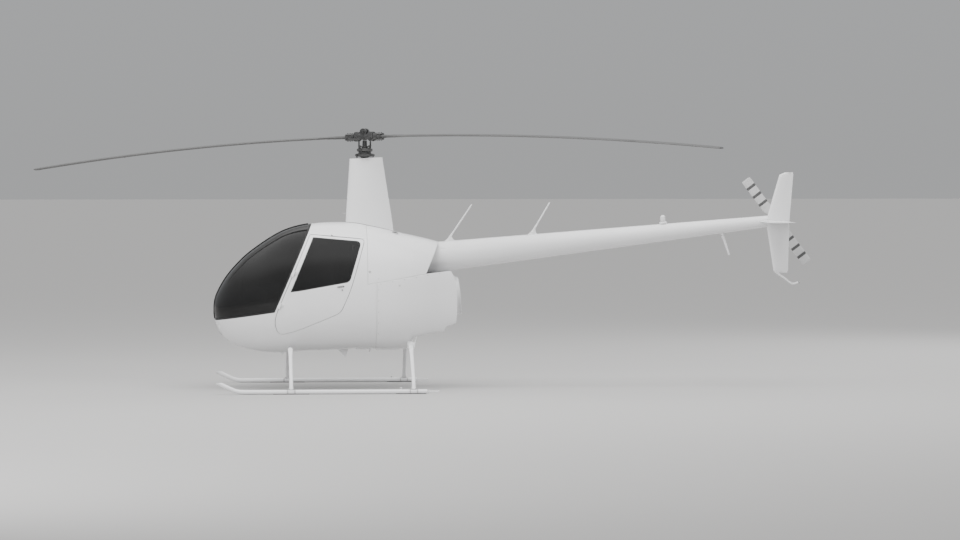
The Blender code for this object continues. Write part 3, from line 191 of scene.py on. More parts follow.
def make_finishes():
    done = {"white": painted("gloss_white_paint", (0.8, 0.8, 0.805), 0.24, 0.04, 0.35),
            "white_satin": painted("satin_white_paint", (0.74, 0.74, 0.745), 0.42, 0.1),
            "blade": painted("blade_dark_grey_paint", grey(0.075), 0.42, 0.12),
            "edge": turned_metal("blade_erosion_strip", grey(0.23), 0.36),
            "band": painted("tail_blade_dark_band", grey(0.085), 0.4, 0.08),
            "tail_blade": painted("tail_blade_light_grey", grey(0.56), 0.38, 0.08),
            "charcoal": cast_metal("charcoal_hub_metal", grey(0.15), 0.38),
            "steel": turned_metal("plated_steel", grey(0.52), 0.3),
            "dark_steel": turned_metal("blackened_steel", grey(0.12), 0.36),
            "alloy": cast_metal("cast_alloy", grey(0.46, 0.02), 0.42),
            "engine": cast_metal("engine_grey_casting", grey(0.22), 0.5, 350.0),
            "copper": cast_metal("heat_stained_exhaust", (0.24, 0.17, 0.12), 0.45),
            "rubber": moulded("black_rubber", grey(0.018), 0.62, 500.0, 0.08),
            "trim": moulded("dark_grain_trim", grey(0.055), 0.6, 700.0, 0.3),
            "dash": moulded("matt_black_dash", grey(0.045), 0.72, 1200.0, 0.22),
            "grip": moulded("grip_rubber", grey(0.02), 0.68, 350.0, 0.5),
            "dial": moulded("dial_face", grey(0.012), 0.5, 900.0, 0.02),
            "mark": painted("dial_marks", grey(0.82), 0.5, 0.02),
            "headliner": moulded("light_headliner", grey(0.3), 0.85, 900.0, 0.35),
            "lens": Finish("clear_lens", grey(0.75), 0.06, Transmission_Weight=0.9, IOR=1.45),
            "lens_white": Finish("opal_lens", grey(0.72), 0.12, Coat_Weight=0.5),
            # socket: a near-black finish, painted shade for small hollows such as a handle's well
            # and a key slot.
            "socket": Finish("black_gap", grey(0.01), 0.8),}
    done["lens_white"].rough(done["lens_white"].noise(12.0), 0.08, 0.18)
    done["lens"].rough(done["lens"].noise(8.0), 0.04, 0.09)
    done["socket"].rough(done["socket"].noise(30.0), 0.7, 0.9)
    done["carpet"] = carpet()
    done["leather"] = leather()
    done["glass"] = tinted_glass()
    done["webbing"] = webbing()
    done["thread"] = thread()
    return {name: finish.material for name, finish in done.items()}


def tinted_glass():
    """Dark smoke-tinted acrylic, with the faint streaks that a cloth leaves."""
    finish = Finish("smoke_tinted_glass", grey(0.012), 0.05, IOR=1.49, Alpha=0.86,
                    Specular_IOR_Level=0.33)
    finish.rough(finish.noise(5.0, 3.0, (1.0, 1.0, 4.0)), 0.03, 0.1)
    finish.colours(finish.noise(2.0, 2.0), (0.3, grey(0.01)), (0.7, grey(0.016)))
    finish.bump(finish.noise(3.0, 1.0), 0.04, 0.002)
    return finish


def carpet():
    finish = Finish("cabin_carpet", grey(0.085), 0.95, Sheen_Weight=0.4)
    tuft = finish.noise(420.0, 3.0)
    finish.colours(tuft, (0.35, grey(0.022)), (0.65, grey(0.075)))
    return finish.bump(tuft, 0.9, 0.002)


def leather():
    """Grained black leather, a little shinier where it is sat on."""
    finish = Finish("seat_black_leather", grey(0.05), 0.52, Specular_IOR_Level=0.45)
    finish.colours(finish.noise(7.0, 4.0), (0.3, grey(0.022)), (0.75, grey(0.042)))
    finish.rough(finish.noise(5.0, 3.0), 0.42, 0.66)
    return finish.bump(finish.cells(420.0, feature="F2"), 0.45, 0.0008)


def webbing():
    finish = Finish("belt_webbing", grey(0.04), 0.8, Sheen_Weight=0.3)
    weave = finish.wave(160.0, "DIAGONAL", 0.6)
    finish.colours(weave, (0.2, grey(0.02)), (0.8, grey(0.06)))
    return finish.bump(weave, 0.6, 0.0008)


def thread():
    finish = Finish("grey_stitch_thread", grey(0.2), 0.75, Sheen_Weight=0.3)
    return finish.bump(finish.wave(300.0, "DIAGONAL", 0.4), 0.5, 0.0005)


FINISH = make_finishes()


# What most pieces share: their body, finish and slot
WHITE = ("airframe", "white", "white_paint")
TRIM = ("airframe", "trim", "cabin_trim")


# Making pieces

def place(name, bm, body, finish, slot, replaces=(), at=AIRFRAME, smooth=35.0, wall=0.0,
          bevel=0.0, clean=True, inner=0):
    """A finished piece: its mesh is put in place, it rides on a body and it may stand for nodes."""
    finishes = [finish] if isinstance(finish, str) else list(finish)
    if clean:
        bmesh.ops.remove_doubles(bm, verts=bm.verts, dist=2e-6)
        bmesh.ops.recalc_face_normals(bm, faces=bm.faces)
    bm.transform(at)
    mesh = bpy.data.meshes.new(name)
    bm.to_mesh(mesh)
    bm.free()
    mesh.shade_smooth()
    mesh.set_sharp_from_angle(angle=math.radians(smooth))
    for entry in finishes:
        mesh.materials.append(FINISH[entry])
    piece = bpy.data.objects.new(name, mesh)
    bpy.context.scene.collection.objects.link(piece)
    if wall:
        solid = piece.modifiers.new("wall", "SOLIDIFY")
        solid.thickness = wall
        solid.offset = -1.0
        solid.material_offset = inner
    if bevel:
        edge = piece.modifiers.new("edge", "BEVEL")
        edge.width = bevel
        edge.segments = 2
        edge.limit_method = "ANGLE"
        edge.angle_limit = math.radians(40.0)
        edge.use_clamp_overlap = True
        edge.harden_normals = False
    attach(piece, body)
    if replaces:
        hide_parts(*([replaces] if isinstance(replaces, str) else replaces))
    return piece


def joined(*shapes):
    """Several closed shapes as one mesh. A shape's faces may carry their own material index."""
    whole = bmesh.new()
    for shape in shapes:
        mesh = bpy.data.meshes.new("joining")
        shape.to_mesh(mesh)
        whole.from_mesh(mesh)
        bpy.data.meshes.remove(mesh)
        shape.free()
    return whole


def tinted(bm, index):
    for face in bm.faces:
        face.material_index = index
    return bm


def moved(bm, matrix):
    bm.transform(matrix)
    return bm


def cut_off(bm, point, normal):
    """The part beyond a plane is removed, and the opening is closed."""
    cut = bmesh.ops.bisect_plane(bm, geom=bm.verts[:] + bm.edges[:] + bm.faces[:],
                                 plane_co=point, plane_no=normal, dist=1e-6, clear_outer=True)
    edges = [item for item in cut["geom_cut"] if isinstance(item, bmesh.types.BMEdge)]
    if edges:
        bmesh.ops.holes_fill(bm, edges=edges, sides=0)


def block(low, high, edge=0.0, segments=2):
    bm = bmesh.new()
    low, high = Vector(low), Vector(high)
    size = Matrix.Diagonal((*(high - low), 1.0))
    bmesh.ops.create_cube(bm, size=1.0, matrix=Matrix.Translation((low + high) / 2) @ size)
    if edge:
        bmesh.ops.bevel(bm, geom=bm.edges[:], offset=edge, segments=segments, profile=0.5,
                        affect="EDGES")
    return bm


def facing(spot, normal):
    """A frame at a spot whose Z axis points along the normal."""
    return Matrix.Translation(spot) @ Vector(normal).to_track_quat("Z", "Y").to_matrix().to_4x4()


def outline_sides(outline):
    """The two ends of each side of a closed outline."""
    return zip(outline, outline[1:] + outline[:1])


def turns(count):
    """Even angles round a circle."""
    return [2 * math.pi * i / count for i in range(count)]


def disc(radius, low, high):
    """The profile of a plain solid disc or rod."""
    return [(0.0, low), (radius, low), (radius, high), (0.0, high)]


def tube(inner, outer, low, high):
    """The closed profile of a plain ring or sleeve."""
    return [(inner, low), (outer, low), (outer, high), (inner, high)]


def rectangle(left, low, right, high):
    return [(left, low), (right, low), (right, high), (left, high)]


def lathe(profile, start=(0, 0, 0), axis=(0, 0, 1), sides=32, closed=False, index=0):
    """Profile points of (radius, height) turned about an axis; ends at radius 0 are closed."""
    bm = bmesh.new()
    rings = []
    for radius, height in profile:
        if radius < 1e-7:
            rings.append([bm.verts.new((0, 0, height))])
        else:
            rings.append([bm.verts.new((radius * math.cos(turn), radius * math.sin(turn), height))
                          for turn in turns(sides)])
    pairs = list(zip(rings, rings[1:]))
    if closed:
        pairs.append((rings[-1], rings[0]))
    for upper, lower in pairs:
        skin(bm, upper, lower)
    if not closed:
        for ring in (rings[0], rings[-1]):
            if len(ring) > 1:
                bm.faces.new(ring)
    bmesh.ops.recalc_face_normals(bm, faces=bm.faces)
    bm.transform(facing(start, axis))
    return tinted(bm, index)


def skin(bm, ring, following):
    """Faces between two rings; a ring of one point makes a cone."""
    count = max(len(ring), len(following))
    for i in range(count):
        j = (i + 1) % count
        corners = []
        for vert in (ring[i % len(ring)], ring[j % len(ring)], following[j % len(following)],
                     following[i % len(following)]):
            if vert not in corners:
                corners.append(vert)
        if len(corners) > 2:
            bm.faces.new(corners)


def round_bar(start, end, radius, sides=20, edge=0.0, index=0):
    """A straight bar between two points; its ends may have a small chamfer."""
    start, end = Vector(start), Vector(end)
    length = (end - start).length
    profile = disc(radius, 0.0, length)
    if edge:
        profile = [(0.0, 0.0), (radius - edge, 0.0), (radius, edge), (radius, length - edge),
                   (radius - edge, length), (0.0, length)]
    return lathe(profile, start, end - start, sides, index=index)


def smooth_path(points, step=0.01):
    """A rounded path through points, at even spacing."""
    points = [Vector(point) for point in points]
    points = [points[0] * 2 - points[1], *points, points[-1] * 2 - points[-2]]
    path = []
    for a, b, c, d in zip(points, points[1:], points[2:], points[3:]):
        count = max(2, int((c - b).length / step))
        for i in range(count):
            t = i / count
            path.append(0.5 * ((2 * b) + (c - a) * t + (2 * a - 5 * b + 4 * c - d) * t * t
                               + (3 * b - a - 3 * c + d) * t ** 3))
    return path + [points[-2]]


def hose(points, radius, sides=12, closed=False, flat=1.0, up=None, index=0):
    """A bar along a path, with flat or rounded section; up keeps a flat section level."""
    points = [Vector(point) for point in points]
    count = len(points)
    bm = bmesh.new()
    rings = []
    across = None
    for i, point in enumerate(points):
        before = points[(i - 1) % count] if closed or i else point
        after = points[(i + 1) % count] if closed or i < count - 1 else point
        along = (after - before).normalized()
        if up is not None:
            across = along.cross(Vector(up)).normalized()
        elif across is None:
            across = along.orthogonal().normalized()
        else:
            across = (across - along * across.dot(along)).normalized()
        other = along.cross(across)
        rings.append([bm.verts.new(point + across * radius * math.cos(turn)
                                   + other * radius * flat * math.sin(turn))
                      for turn in (2 * math.pi * (k + 0.5) / sides for k in range(sides))])
    for ring, following in zip(rings, rings[1:]):
        skin(bm, ring, following)
    if closed:
        near, far = rings[-1], rings[0]
        shift = min(range(sides), key=lambda k: (near[0].co - far[k].co).length)
        skin(bm, near, far[shift:] + far[:shift])
    else:
        bm.faces.new(rings[0])
        bm.faces.new(rings[-1])
    bmesh.ops.recalc_face_normals(bm, faces=bm.faces)
    return tinted(bm, index)


def slab(outline, y_low, y_high, edge=0.0, segments=2, index=0):
    """A side-view outline of (x, z) carried from one Y to another."""
    bm = bmesh.new()
    near = [bm.verts.new((x, y_low, z)) for x, z in outline]
    far = [bm.verts.new((x, y_high, z)) for x, z in outline]
    bm.faces.new(near)
    bm.faces.new(far)
    skin(bm, near, far)
    bmesh.ops.recalc_face_normals(bm, faces=bm.faces)
    if edge:
        rim = [e for e in bm.edges if e.calc_face_angle(0.0) > 0.5]
        bmesh.ops.bevel(bm, geom=rim, offset=edge, segments=segments, profile=0.5, affect="EDGES")
    return tinted(bm, index)


def lofted(rings):
    """A closed solid through rings that have the same number of points."""
    bm = bmesh.new()
    lines = [[bm.verts.new(point) for point in ring] for ring in rings]
    for ring, following in zip(lines, lines[1:]):
        skin(bm, ring, following)
    bm.faces.new(lines[0])
    bm.faces.new(lines[-1])
    bmesh.ops.recalc_face_normals(bm, faces=bm.faces)
    return bm


def hex_bolt(centre, axis, size=0.01, height=0.006, washer=True, index=0):
    """A hexagon head on a washer."""
    shapes = []
    axis = Vector(axis).normalized()
    centre = Vector(centre)
    if washer:
        shapes.append(lathe(disc(size * 0.85, 0.0, 0.0012), centre, axis, 20, index=index))
    head = lathe([(0.0, 0.001), (size * 0.56, 0.001), (size * 0.58, height * 0.85),
                  (size * 0.5, height), (0.0, height)], centre, axis, 6, index=index)
    return joined(*shapes, head)


def rounded(outline, radius, steps=5):
    """An outline of (x, z) whose corners are rounded; a corner's own radius may follow it."""
    corners = []
    count = len(outline)
    for i in range(count):
        here = Vector(outline[i][:2])
        before, after = Vector(outline[i - 1][:2]), Vector(outline[(i + 1) % count][:2])
        reach = outline[i][2] if len(outline[i]) > 2 else radius
        reach = min(reach, (before - here).length * 0.48, (after - here).length * 0.48)
        start = here + (before - here).normalized() * reach
        end = here + (after - here).normalized() * reach
        for k in range(steps + 1):
            t = k / steps
            corners.append(tuple(start * (1 - t) ** 2 + here * 2 * t * (1 - t) + end * t * t))
    return corners


def inset(outline, distance):
    """The outline moved inwards by a distance, corner by corner."""
    count = len(outline)
    area = sum(outline[i][0] * outline[(i + 1) % count][1]
               - outline[(i + 1) % count][0] * outline[i][1] for i in range(count))
    side = 1.0 if area > 0 else -1.0
    shifted = []
    for i in range(count):
        here = Vector(outline[i])
        before = (here - Vector(outline[i - 1])).normalized()
        after = (Vector(outline[(i + 1) % count]) - here).normalized()
        normal_before = Vector((-before.y, before.x)) * side
        normal_after = Vector((-after.y, after.x)) * side
        middle = (normal_before + normal_after).normalized()
        shifted.append(tuple(here + middle * (distance / max(0.5, middle.dot(normal_before)))))
    return shifted


# Body surface

# Body stations: x, z of the keel, z of the top line, z of the widest line, upper and lower fullness
BODY_STATIONS = np.array((
    (-1.53, 0.77, 0.83, 0.8, 2.0, 2.0),
    (-1.525, 0.728, 0.885, 0.802, 2.0, 2.0),
    (-1.512, 0.66, 0.938, 0.806, 2.0, 2.0),
    (-1.486, 0.595, 0.999, 0.812, 2.0, 2.0),
    (-1.445, 0.541, 1.076, 0.82, 2.0, 2.0),
    (-1.384, 0.483, 1.167, 0.832, 2.0, 2.05),
    (-1.303, 0.44, 1.26, 0.848, 2.0, 2.1),
    (-1.202, 0.403, 1.359, 0.868, 2.0, 2.15),
    (-1.08, 0.38, 1.452, 0.89, 2.05, 2.2),
    (-0.958, 0.369, 1.533, 0.912, 2.1, 2.3),
    (-0.836, 0.366, 1.6, 0.93, 2.15, 2.35),
    (-0.714, 0.377, 1.643, 0.944, 2.2, 2.4),
    (-0.592, 0.386, 1.669, 0.952, 2.2, 2.4),
    (-0.47, 0.389, 1.683, 0.958, 2.2, 2.45),
    (-0.287, 0.398, 1.691, 0.964, 2.2, 2.5),
    (-0.1, 0.406, 1.684, 0.97, 2.2, 2.5),
    (0.05, 0.404, 1.656, 0.976, 2.25, 2.5),
    (0.2, 0.397, 1.622, 0.982, 2.3, 2.5),
    (0.384, 0.401, 1.578, 0.99, 2.35, 2.5),
    (0.443, 0.404, 1.565, 0.993, 2.35, 2.5),
    (0.47, 0.407, 1.559, 0.994, 2.4, 2.5),
    (0.629, 0.424, 1.522, 1.0, 2.4, 2.5),
    (0.752, 0.445, 1.489, 1.0, 2.4, 2.5),
    (0.797, 0.454, 1.476, 1.0, 2.4, 2.5),
    (0.818, 0.458, 1.47, 1.0, 2.4, 2.5),
    (0.96, 0.49, 1.43, 1.0, 2.4, 2.5),
))
# The lower cowls' level bottom: x and z along the cut under the engine
BOTTOM_CUT = np.array(((0.384, 0.398), (0.443, 0.404), (0.47, 0.518), (0.629, 0.556),
                       (0.752, 0.575), (0.797, 0.57), (0.818, 0.624), (0.96, 0.672),))
BOTTOM_CORNER = 0.03
AFT_WIDTHS = np.array(((-0.6, 0.559), (-0.287, 0.559), (0.05, 0.546), (0.2, 0.524), (0.384, 0.482),
                       (0.6, 0.404), (0.752, 0.336), (0.96, 0.256),))
CABIN_HALF_WIDTH = 0.559
WIDEST_X = -0.6
NOSE_X = -1.5305
KEEL_CORNERS = range(18, 25)


def steady_slopes(x, y):
    """Slopes that carry a smooth curve through points without overshoot."""
    step = np.diff(x)
    rise = np.diff(y) / step
    slope = np.zeros(len(x))
    inner = rise[:-1] * rise[1:] > 0
    weight_a, weight_b = 2 * step[1:] + step[:-1], step[1:] + 2 * step[:-1]
    slope[1:-1][inner] = ((weight_a + weight_b)[inner]
                          / (weight_a / np.where(inner, rise[:-1], 1)
                             + weight_b / np.where(inner, rise[1:], 1))[inner])
    slope[0], slope[-1] = rise[0], rise[-1]
    return slope


def smooth_through(x, y, at):
    x, y, at = np.asarray(x, float), np.asarray(y, float), np.asarray(at, float)
    slope = steady_slopes(x, y)
    row = np.clip(np.searchsorted(x, at, side="right") - 1, 0, len(x) - 2)
    step = x[row + 1] - x[row]
    t = np.clip((at - x[row]) / step, 0.0, 1.0)
    return ((2 * t ** 3 - 3 * t ** 2 + 1) * y[row] + (t ** 3 - 2 * t ** 2 + t) * step * slope[row]
            + (3 * t ** 2 - 2 * t ** 3) * y[row + 1] + (t ** 3 - t ** 2) * step * slope[row + 1])


def signed_power(value, exponent):
    return np.sign(value) * np.abs(value) ** exponent


def body_grid(along, around):
    """Points and outward normals of the body: rows run from nose to tail, columns round it."""
    table = BODY_STATIONS
    reach = np.hypot(np.diff(table[:, 0]), np.diff(table[:, 2]))
    reach = np.maximum(reach, np.abs(np.diff(table[:, 1])) * 0.8)
    length = np.concatenate(([0.0], np.cumsum(reach)))
    at = np.linspace(0.0, length[-1], along)
    at = np.unique(np.concatenate((at, length[list(KEEL_CORNERS)])))
    columns = [smooth_through(length, table[:, i], at) for i in range(6)]
    straight = at >= length[KEEL_CORNERS[0]]
    for i in (0, 1):
        columns[i][straight] = np.interp(at[straight], length, table[:, i])
    x, keel, top, widest, upper, lower = (column[:, None] for column in columns)
    front = CABIN_HALF_WIDTH * np.sqrt(np.clip(
        1.0 - ((x - WIDEST_X) / (NOSE_X - WIDEST_X)) ** 2, 0.0, 1.0))
    rear = smooth_through(AFT_WIDTHS[:, 0], AFT_WIDTHS[:, 1], x)
    half_width = np.where(x < WIDEST_X, front, rear)
    turn = 2 * math.pi * np.arange(around)[None, :] / around
    full = np.where(np.sin(turn) > 0, upper, lower)
    height = np.where(np.sin(turn) > 0, top - widest, widest - keel)
    y = half_width * signed_power(np.cos(turn), 2 / full)
    z = widest + height * signed_power(np.sin(turn), 2 / full)
    above = z - np.interp(x, BOTTOM_CUT[:, 0], BOTTOM_CUT[:, 1])
    soft = BOTTOM_CORNER * np.clip((x - BOTTOM_CUT[0, 0]) / 0.08, 0.0, 1.0)
    z = np.where(x > BOTTOM_CUT[0, 0], z - above + (above + np.hypot(above, soft)) / 2, z)
    points = np.stack((np.broadcast_to(x, y.shape), y, z), axis=2)
    run = np.gradient(points, axis=0)
    girth = np.roll(points, -1, axis=1) - np.roll(points, 1, axis=1)
    normal = np.cross(girth, run)
    normal /= np.linalg.norm(normal, axis=2, keepdims=True)
    outward = points - np.array([0.0, 0.0, 0.95]) - np.array([1.0, 0.0, 0.0]) * points[:, :, :1]
    side = np.sign((normal * outward).sum(axis=2, keepdims=True))
    return points, normal * side


BODY, BODY_NORMAL = body_grid(190, 176)


def body_tree():
    rows, columns, _ = BODY.shape
    verts = [Vector(point) for point in BODY.reshape(-1, 3)]
    faces = [(i * columns + j, i * columns + (j + 1) % columns,
              (i + 1) * columns + (j + 1) % columns, (i + 1) * columns + j)
             for i in range(rows - 1) for j in range(columns)]
    return BVHTree.FromPolygons(verts, faces)


BODY_TREE = body_tree()


def on_side(x, z, side, out=0.0):
    """The skin's point at a place in side view, moved outwards, and the skin's normal there."""
    spot, normal, _, _ = BODY_TREE.ray_cast(Vector((x, side * 1.2, z)), Vector((0, -side, 0)))
    if spot is None:
        spot, normal, _, _ = BODY_TREE.find_nearest(Vector((x, side * 0.3, z)))
    if normal.y * side < 0:
        normal = -normal
    return spot + normal * out, normal


def on_top(x, y, out=0.0):
    """The upper skin's point over a place in plan view, moved outwards, and its normal."""
    spot, normal, _, _ = BODY_TREE.ray_cast(Vector((x, y, 2.5)), Vector((0, 0, -1)))
    if normal.z < 0:
        normal = -normal
    return spot + normal * out, normal


def inside(x, z, outline):
    """Whether points lie inside an outline, as an array of yes and no."""
    result = np.zeros(len(x), bool)
    for (xa, za), (xb, zb) in outline_sides(outline):
        crosses = (za > z) != (zb > z)
        with np.errstate(divide="ignore", invalid="ignore"):
            result ^= crosses & (x < (xb - xa) * (z - za) / (zb - za) + xa)
    return result


def skin_patch(outline, holes=(), depth=0.0, y_range=(-9.0, 9.0), bands=()):
    """The skin inside a side-view outline, less its holes, as an open sheet.

    Each band is an outline: faces that lie outside it take the next material.
    """
    xs, zs = zip(*outline)
    low_x, high_x, low_z, high_z = min(xs), max(xs), min(zs), max(zs)
    points = BODY - BODY_NORMAL * depth
    rows, columns, _ = points.shape
    bm = bmesh.new()
    verts = {}

    def vert(i, j):
        j %= columns
        if (i, j) not in verts:
            verts[i, j] = bm.verts.new(points[i, j])
        return verts[i, j]

    x, y, z = (points[:, :, k] for k in range(3))
    for i in range(rows - 1):
        step = x[i + 1].max() - x[i].min()
        near = x[i].max() >= low_x and x[i].min() - step <= high_x
        if not near and (x[i + 1].max() < low_x or x[i].min() > high_x):
            continue
        for j in range(columns):
            k = (j + 1) % columns
            corners_z = (z[i, j], z[i, k], z[i + 1, j], z[i + 1, k])
            corners_y = (y[i, j], y[i, k], y[i + 1, j], y[i + 1, k])
            if max(corners_z) < low_z or min(corners_z) > high_z:
                continue
            if max(corners_y) < y_range[0] or min(corners_y) > y_range[1]:
                continue
            bm.faces.new((vert(i, j), vert(i + 1, j), vert(i + 1, j + 1), vert(i, j + 1)))
    if low_x < x[0].min() and low_z < z[0].min() and z[0].max() < high_z:
        bm.faces.new([vert(0, j) for j in range(columns)])
    cut_lines(bm, outline, *holes, *bands)
    for level in y_range:
        bmesh.ops.bisect_plane(bm, geom=bm.verts[:] + bm.edges[:] + bm.faces[:],
                               plane_co=(0, level, 0), plane_no=(0, 1, 0), dist=1e-6)
    middles = np.array([face.calc_center_median() for face in bm.faces])
    keep = inside(middles[:, 0], middles[:, 2], list(outline))
    keep &= (middles[:, 1] > y_range[0]) & (middles[:, 1] < y_range[1])
    for hole in holes:
        keep &= ~inside(middles[:, 0], middles[:, 2], list(hole))
    for number, band in enumerate(bands):
        within = inside(middles[:, 0], middles[:, 2], list(band))
        for face, is_within in zip(bm.faces, within):
            if not is_within:
                face.material_index = number + 1
    bmesh.ops.delete(bm, geom=[face for face, kept in zip(bm.faces, keep) if not kept],
                     context="FACES")
    rim = [v for v in bm.verts if v.is_boundary]
    bmesh.ops.remove_doubles(bm, verts=rim, dist=0.0016)
    bmesh.ops.recalc_face_normals(bm, faces=bm.faces)
    outward = sum(face.normal.dot(face.calc_center_median() - Vector((-0.3, 0, 0.95)))
                  for face in bm.faces)
    if outward < 0:
        bmesh.ops.reverse_faces(bm, faces=bm.faces)
    return bm


def cut_lines(bm, *outlines):
    """Edges are added where the outlines cross the sheet, each over its own stretch only."""
    for outline in outlines:
        outline = list(outline)
        for (xa, za), (xb, zb) in outline_sides(outline):
            low_x, high_x = min(xa, xb) - 0.001, max(xa, xb) + 0.001
            low_z, high_z = min(za, zb) - 0.001, max(za, zb) + 0.001
            near = []
            for face in bm.faces:
                corners = [v.co for v in face.verts]
                if (max(c.x for c in corners) > low_x and min(c.x for c in corners) < high_x
                    and max(c.z for c in corners) > low_z and min(c.z for c in corners) < high_z):
                    near.append(face)
            # Keys of a dict keep their order, so the cut comes out the same each time
            edges = dict.fromkeys(e for face in near for e in face.edges)
            verts = dict.fromkeys(v for face in near for v in face.verts)
            bmesh.ops.bisect_plane(bm, geom=[*verts, *edges, *near], plane_co=(xa, 0.0, za),
                                   plane_no=(zb - za, 0.0, xa - xb), dist=1e-6)


def seam_line(outline, side, out, step):
    """Points on the skin along an outline seen from the side."""
    points = []
    for (xa, za), (xb, zb) in outline_sides(outline):
        count = max(1, int(math.hypot(xb - xa, zb - za) / step))
        for i in range(count):
            t = i / count
            points.append(on_side(xa + (xb - xa) * t, za + (zb - za) * t, side, out)[0])
    return points


# Panels of the body

SEAM = 0.0011
HULL_WALL = 0.02
DOOR_WALL = 0.025
COWL_WALL = 0.008
GLASS_WALL = 0.005
TUNNEL_HALF_WIDTH = 0.165
WINDSCREEN_SILL = ((-1.7, 0.6706), (-0.926, 0.792))
WINDSCREEN_REAR_TOP = (-0.4997, 1.78)
ROOF_SEAM_FRONT = (-0.586, 1.58)
ROOF_SEAM_REAR = (0.009, 1.5255)
COWL_SEAM_FRONT = (0.009, 1.074)
COWL_SEAM_REAR = (0.605, 1.175)
TANK_REAR_TOP = (0.8, 1.62)
LOWER_COWL_FRONT_X = 0.1

DOOR_OUTLINE = rounded(((-0.567, 1.575, 0.02), (-0.012, 1.5245, 0.045), (-0.162, 1.01, 0.2),
                        (-0.262, 0.785, 0.06), (-0.69, 0.607, 0.1), (-0.885, 0.556, 0.07),
                        (-0.93, 0.68, 0.06), (-0.902, 0.8, 0.05),), 0.03, 6)
DOOR_WINDOW = rounded(((-0.535, 1.546, 0.01), (-0.0475, 1.5035, 0.055), (-0.172, 1.0975, 0.04),
                       (-0.672, 1.009, 0.05), (-0.767, 0.9965, 0.008),), 0.02, 6)
WINDSCREEN = [*WINDSCREEN_SILL, WINDSCREEN_REAR_TOP, (-1.7, 1.78)]
ROOF = [ROOF_SEAM_FRONT, ROOF_SEAM_REAR, (ROOF_SEAM_REAR[0], 1.8), WINDSCREEN_REAR_TOP]
TANK = [COWL_SEAM_FRONT, COWL_SEAM_REAR, TANK_REAR_TOP, (COWL_SEAM_FRONT[0], 1.8)]


def cowl_seam_z(x):
    share = (x - COWL_SEAM_FRONT[0]) / (COWL_SEAM_REAR[0] - COWL_SEAM_FRONT[0])
    return COWL_SEAM_FRONT[1] + (COWL_SEAM_REAR[1] - COWL_SEAM_FRONT[1]) * share


HULL = [(-1.7, 0.25), (LOWER_COWL_FRONT_X, 0.25),
        (LOWER_COWL_FRONT_X, cowl_seam_z(LOWER_COWL_FRONT_X)), COWL_SEAM_FRONT, ROOF_SEAM_REAR,
        ROOF_SEAM_FRONT, WINDSCREEN_SILL[1], WINDSCREEN_SILL[0]]
LOWER_COWL = [(LOWER_COWL_FRONT_X, 0.25), (0.9165, 0.25), (0.9165, 0.67), (0.9225, 0.717),
              (0.9275, 0.8), (0.9275, 0.98), (0.918, 1.06), (0.897, 1.123), (0.8805, 1.164),
              (0.862, 1.202), COWL_SEAM_REAR,
              (LOWER_COWL_FRONT_X, cowl_seam_z(LOWER_COWL_FRONT_X))]


def make_body():
    place("visual_cabin_hull", skin_patch(inset(HULL, SEAM), [inset(DOOR_OUTLINE, -0.001)]),
          "airframe", ["white", "headliner"], "white_paint", "cabin_hull", wall=HULL_WALL,
          bevel=0.0012, clean=False, inner=1)
    place("visual_roof", skin_patch(inset(ROOF, SEAM), [inset(DOOR_OUTLINE, -0.001)]), "airframe",
          ["white", "headliner"], "white_paint", "roof", wall=HULL_WALL, bevel=0.0012,
          clean=False, inner=1)
    for name, side in SIDES:
        low, high = sorted((side * SEAM * 0.6, side * 0.9))
        glass = skin_patch(inset(WINDSCREEN, SEAM), y_range=(low, high), depth=0.0012,
                           bands=[inset(WINDSCREEN, 0.016)])
        place(f"visual_windscreen_{name}", glass, "airframe", ["glass", "rubber"], "dark_glass",
              f"windscreen_{name}", wall=GLASS_WALL, bevel=0.0008, clean=False)
        place(f"visual_tank_{name}", tank_solid(side), *WHITE, f"tank_{name}", bevel=0.0015)
        cowl = skin_patch(inset(LOWER_COWL, SEAM), y_range=(low, high))
        place(f"visual_lower_cowl_{name}", cowl, *WHITE, f"lower_cowl_{name}", wall=COWL_WALL,
              bevel=0.0012, clean=False)
    centre = [(0.009, 1.4), (0.703, 1.4), TANK_REAR_TOP, (0.009, 1.8)]
    width = TUNNEL_HALF_WIDTH - 0.0016
    place("visual_centre_cowl", skin_patch(inset(centre, SEAM), y_range=(-width, width)), *WHITE,
          "centre_cowl", wall=0.004, bevel=0.0012, clean=False)


def tank_solid(side):
    """One saddle tank: the skin closed by flat walls along its seams and along the mast bay."""
    _, columns, _ = BODY.shape
    bm = bmesh.new()
    first, last = (int(np.searchsorted(BODY[:, 0, 0], x)) for x in (-0.05, 0.9))
    grid = [[bm.verts.new(BODY[i, j]) for j in range(columns)] for i in range(first, last)]
    for ring, following in zip(grid, grid[1:]):
        skin(bm, ring, following)
    bm.faces.new(grid[0])
    bm.faces.new(grid[-1])
    bmesh.ops.recalc_face_normals(bm, faces=bm.faces)
    cut_off(bm, (0.0, side * (TUNNEL_HALF_WIDTH + 0.0004), 0.0), (0.0, -side, 0.0))
    outline = inset(TANK, SEAM)
    for (xa, za), (xb, zb) in outline_sides(outline):
        cut_off(bm, (xa, 0.0, za), (zb - za, 0.0, xa - xb))
    return bm


make_body()


# Repeats, made with geometry nodes

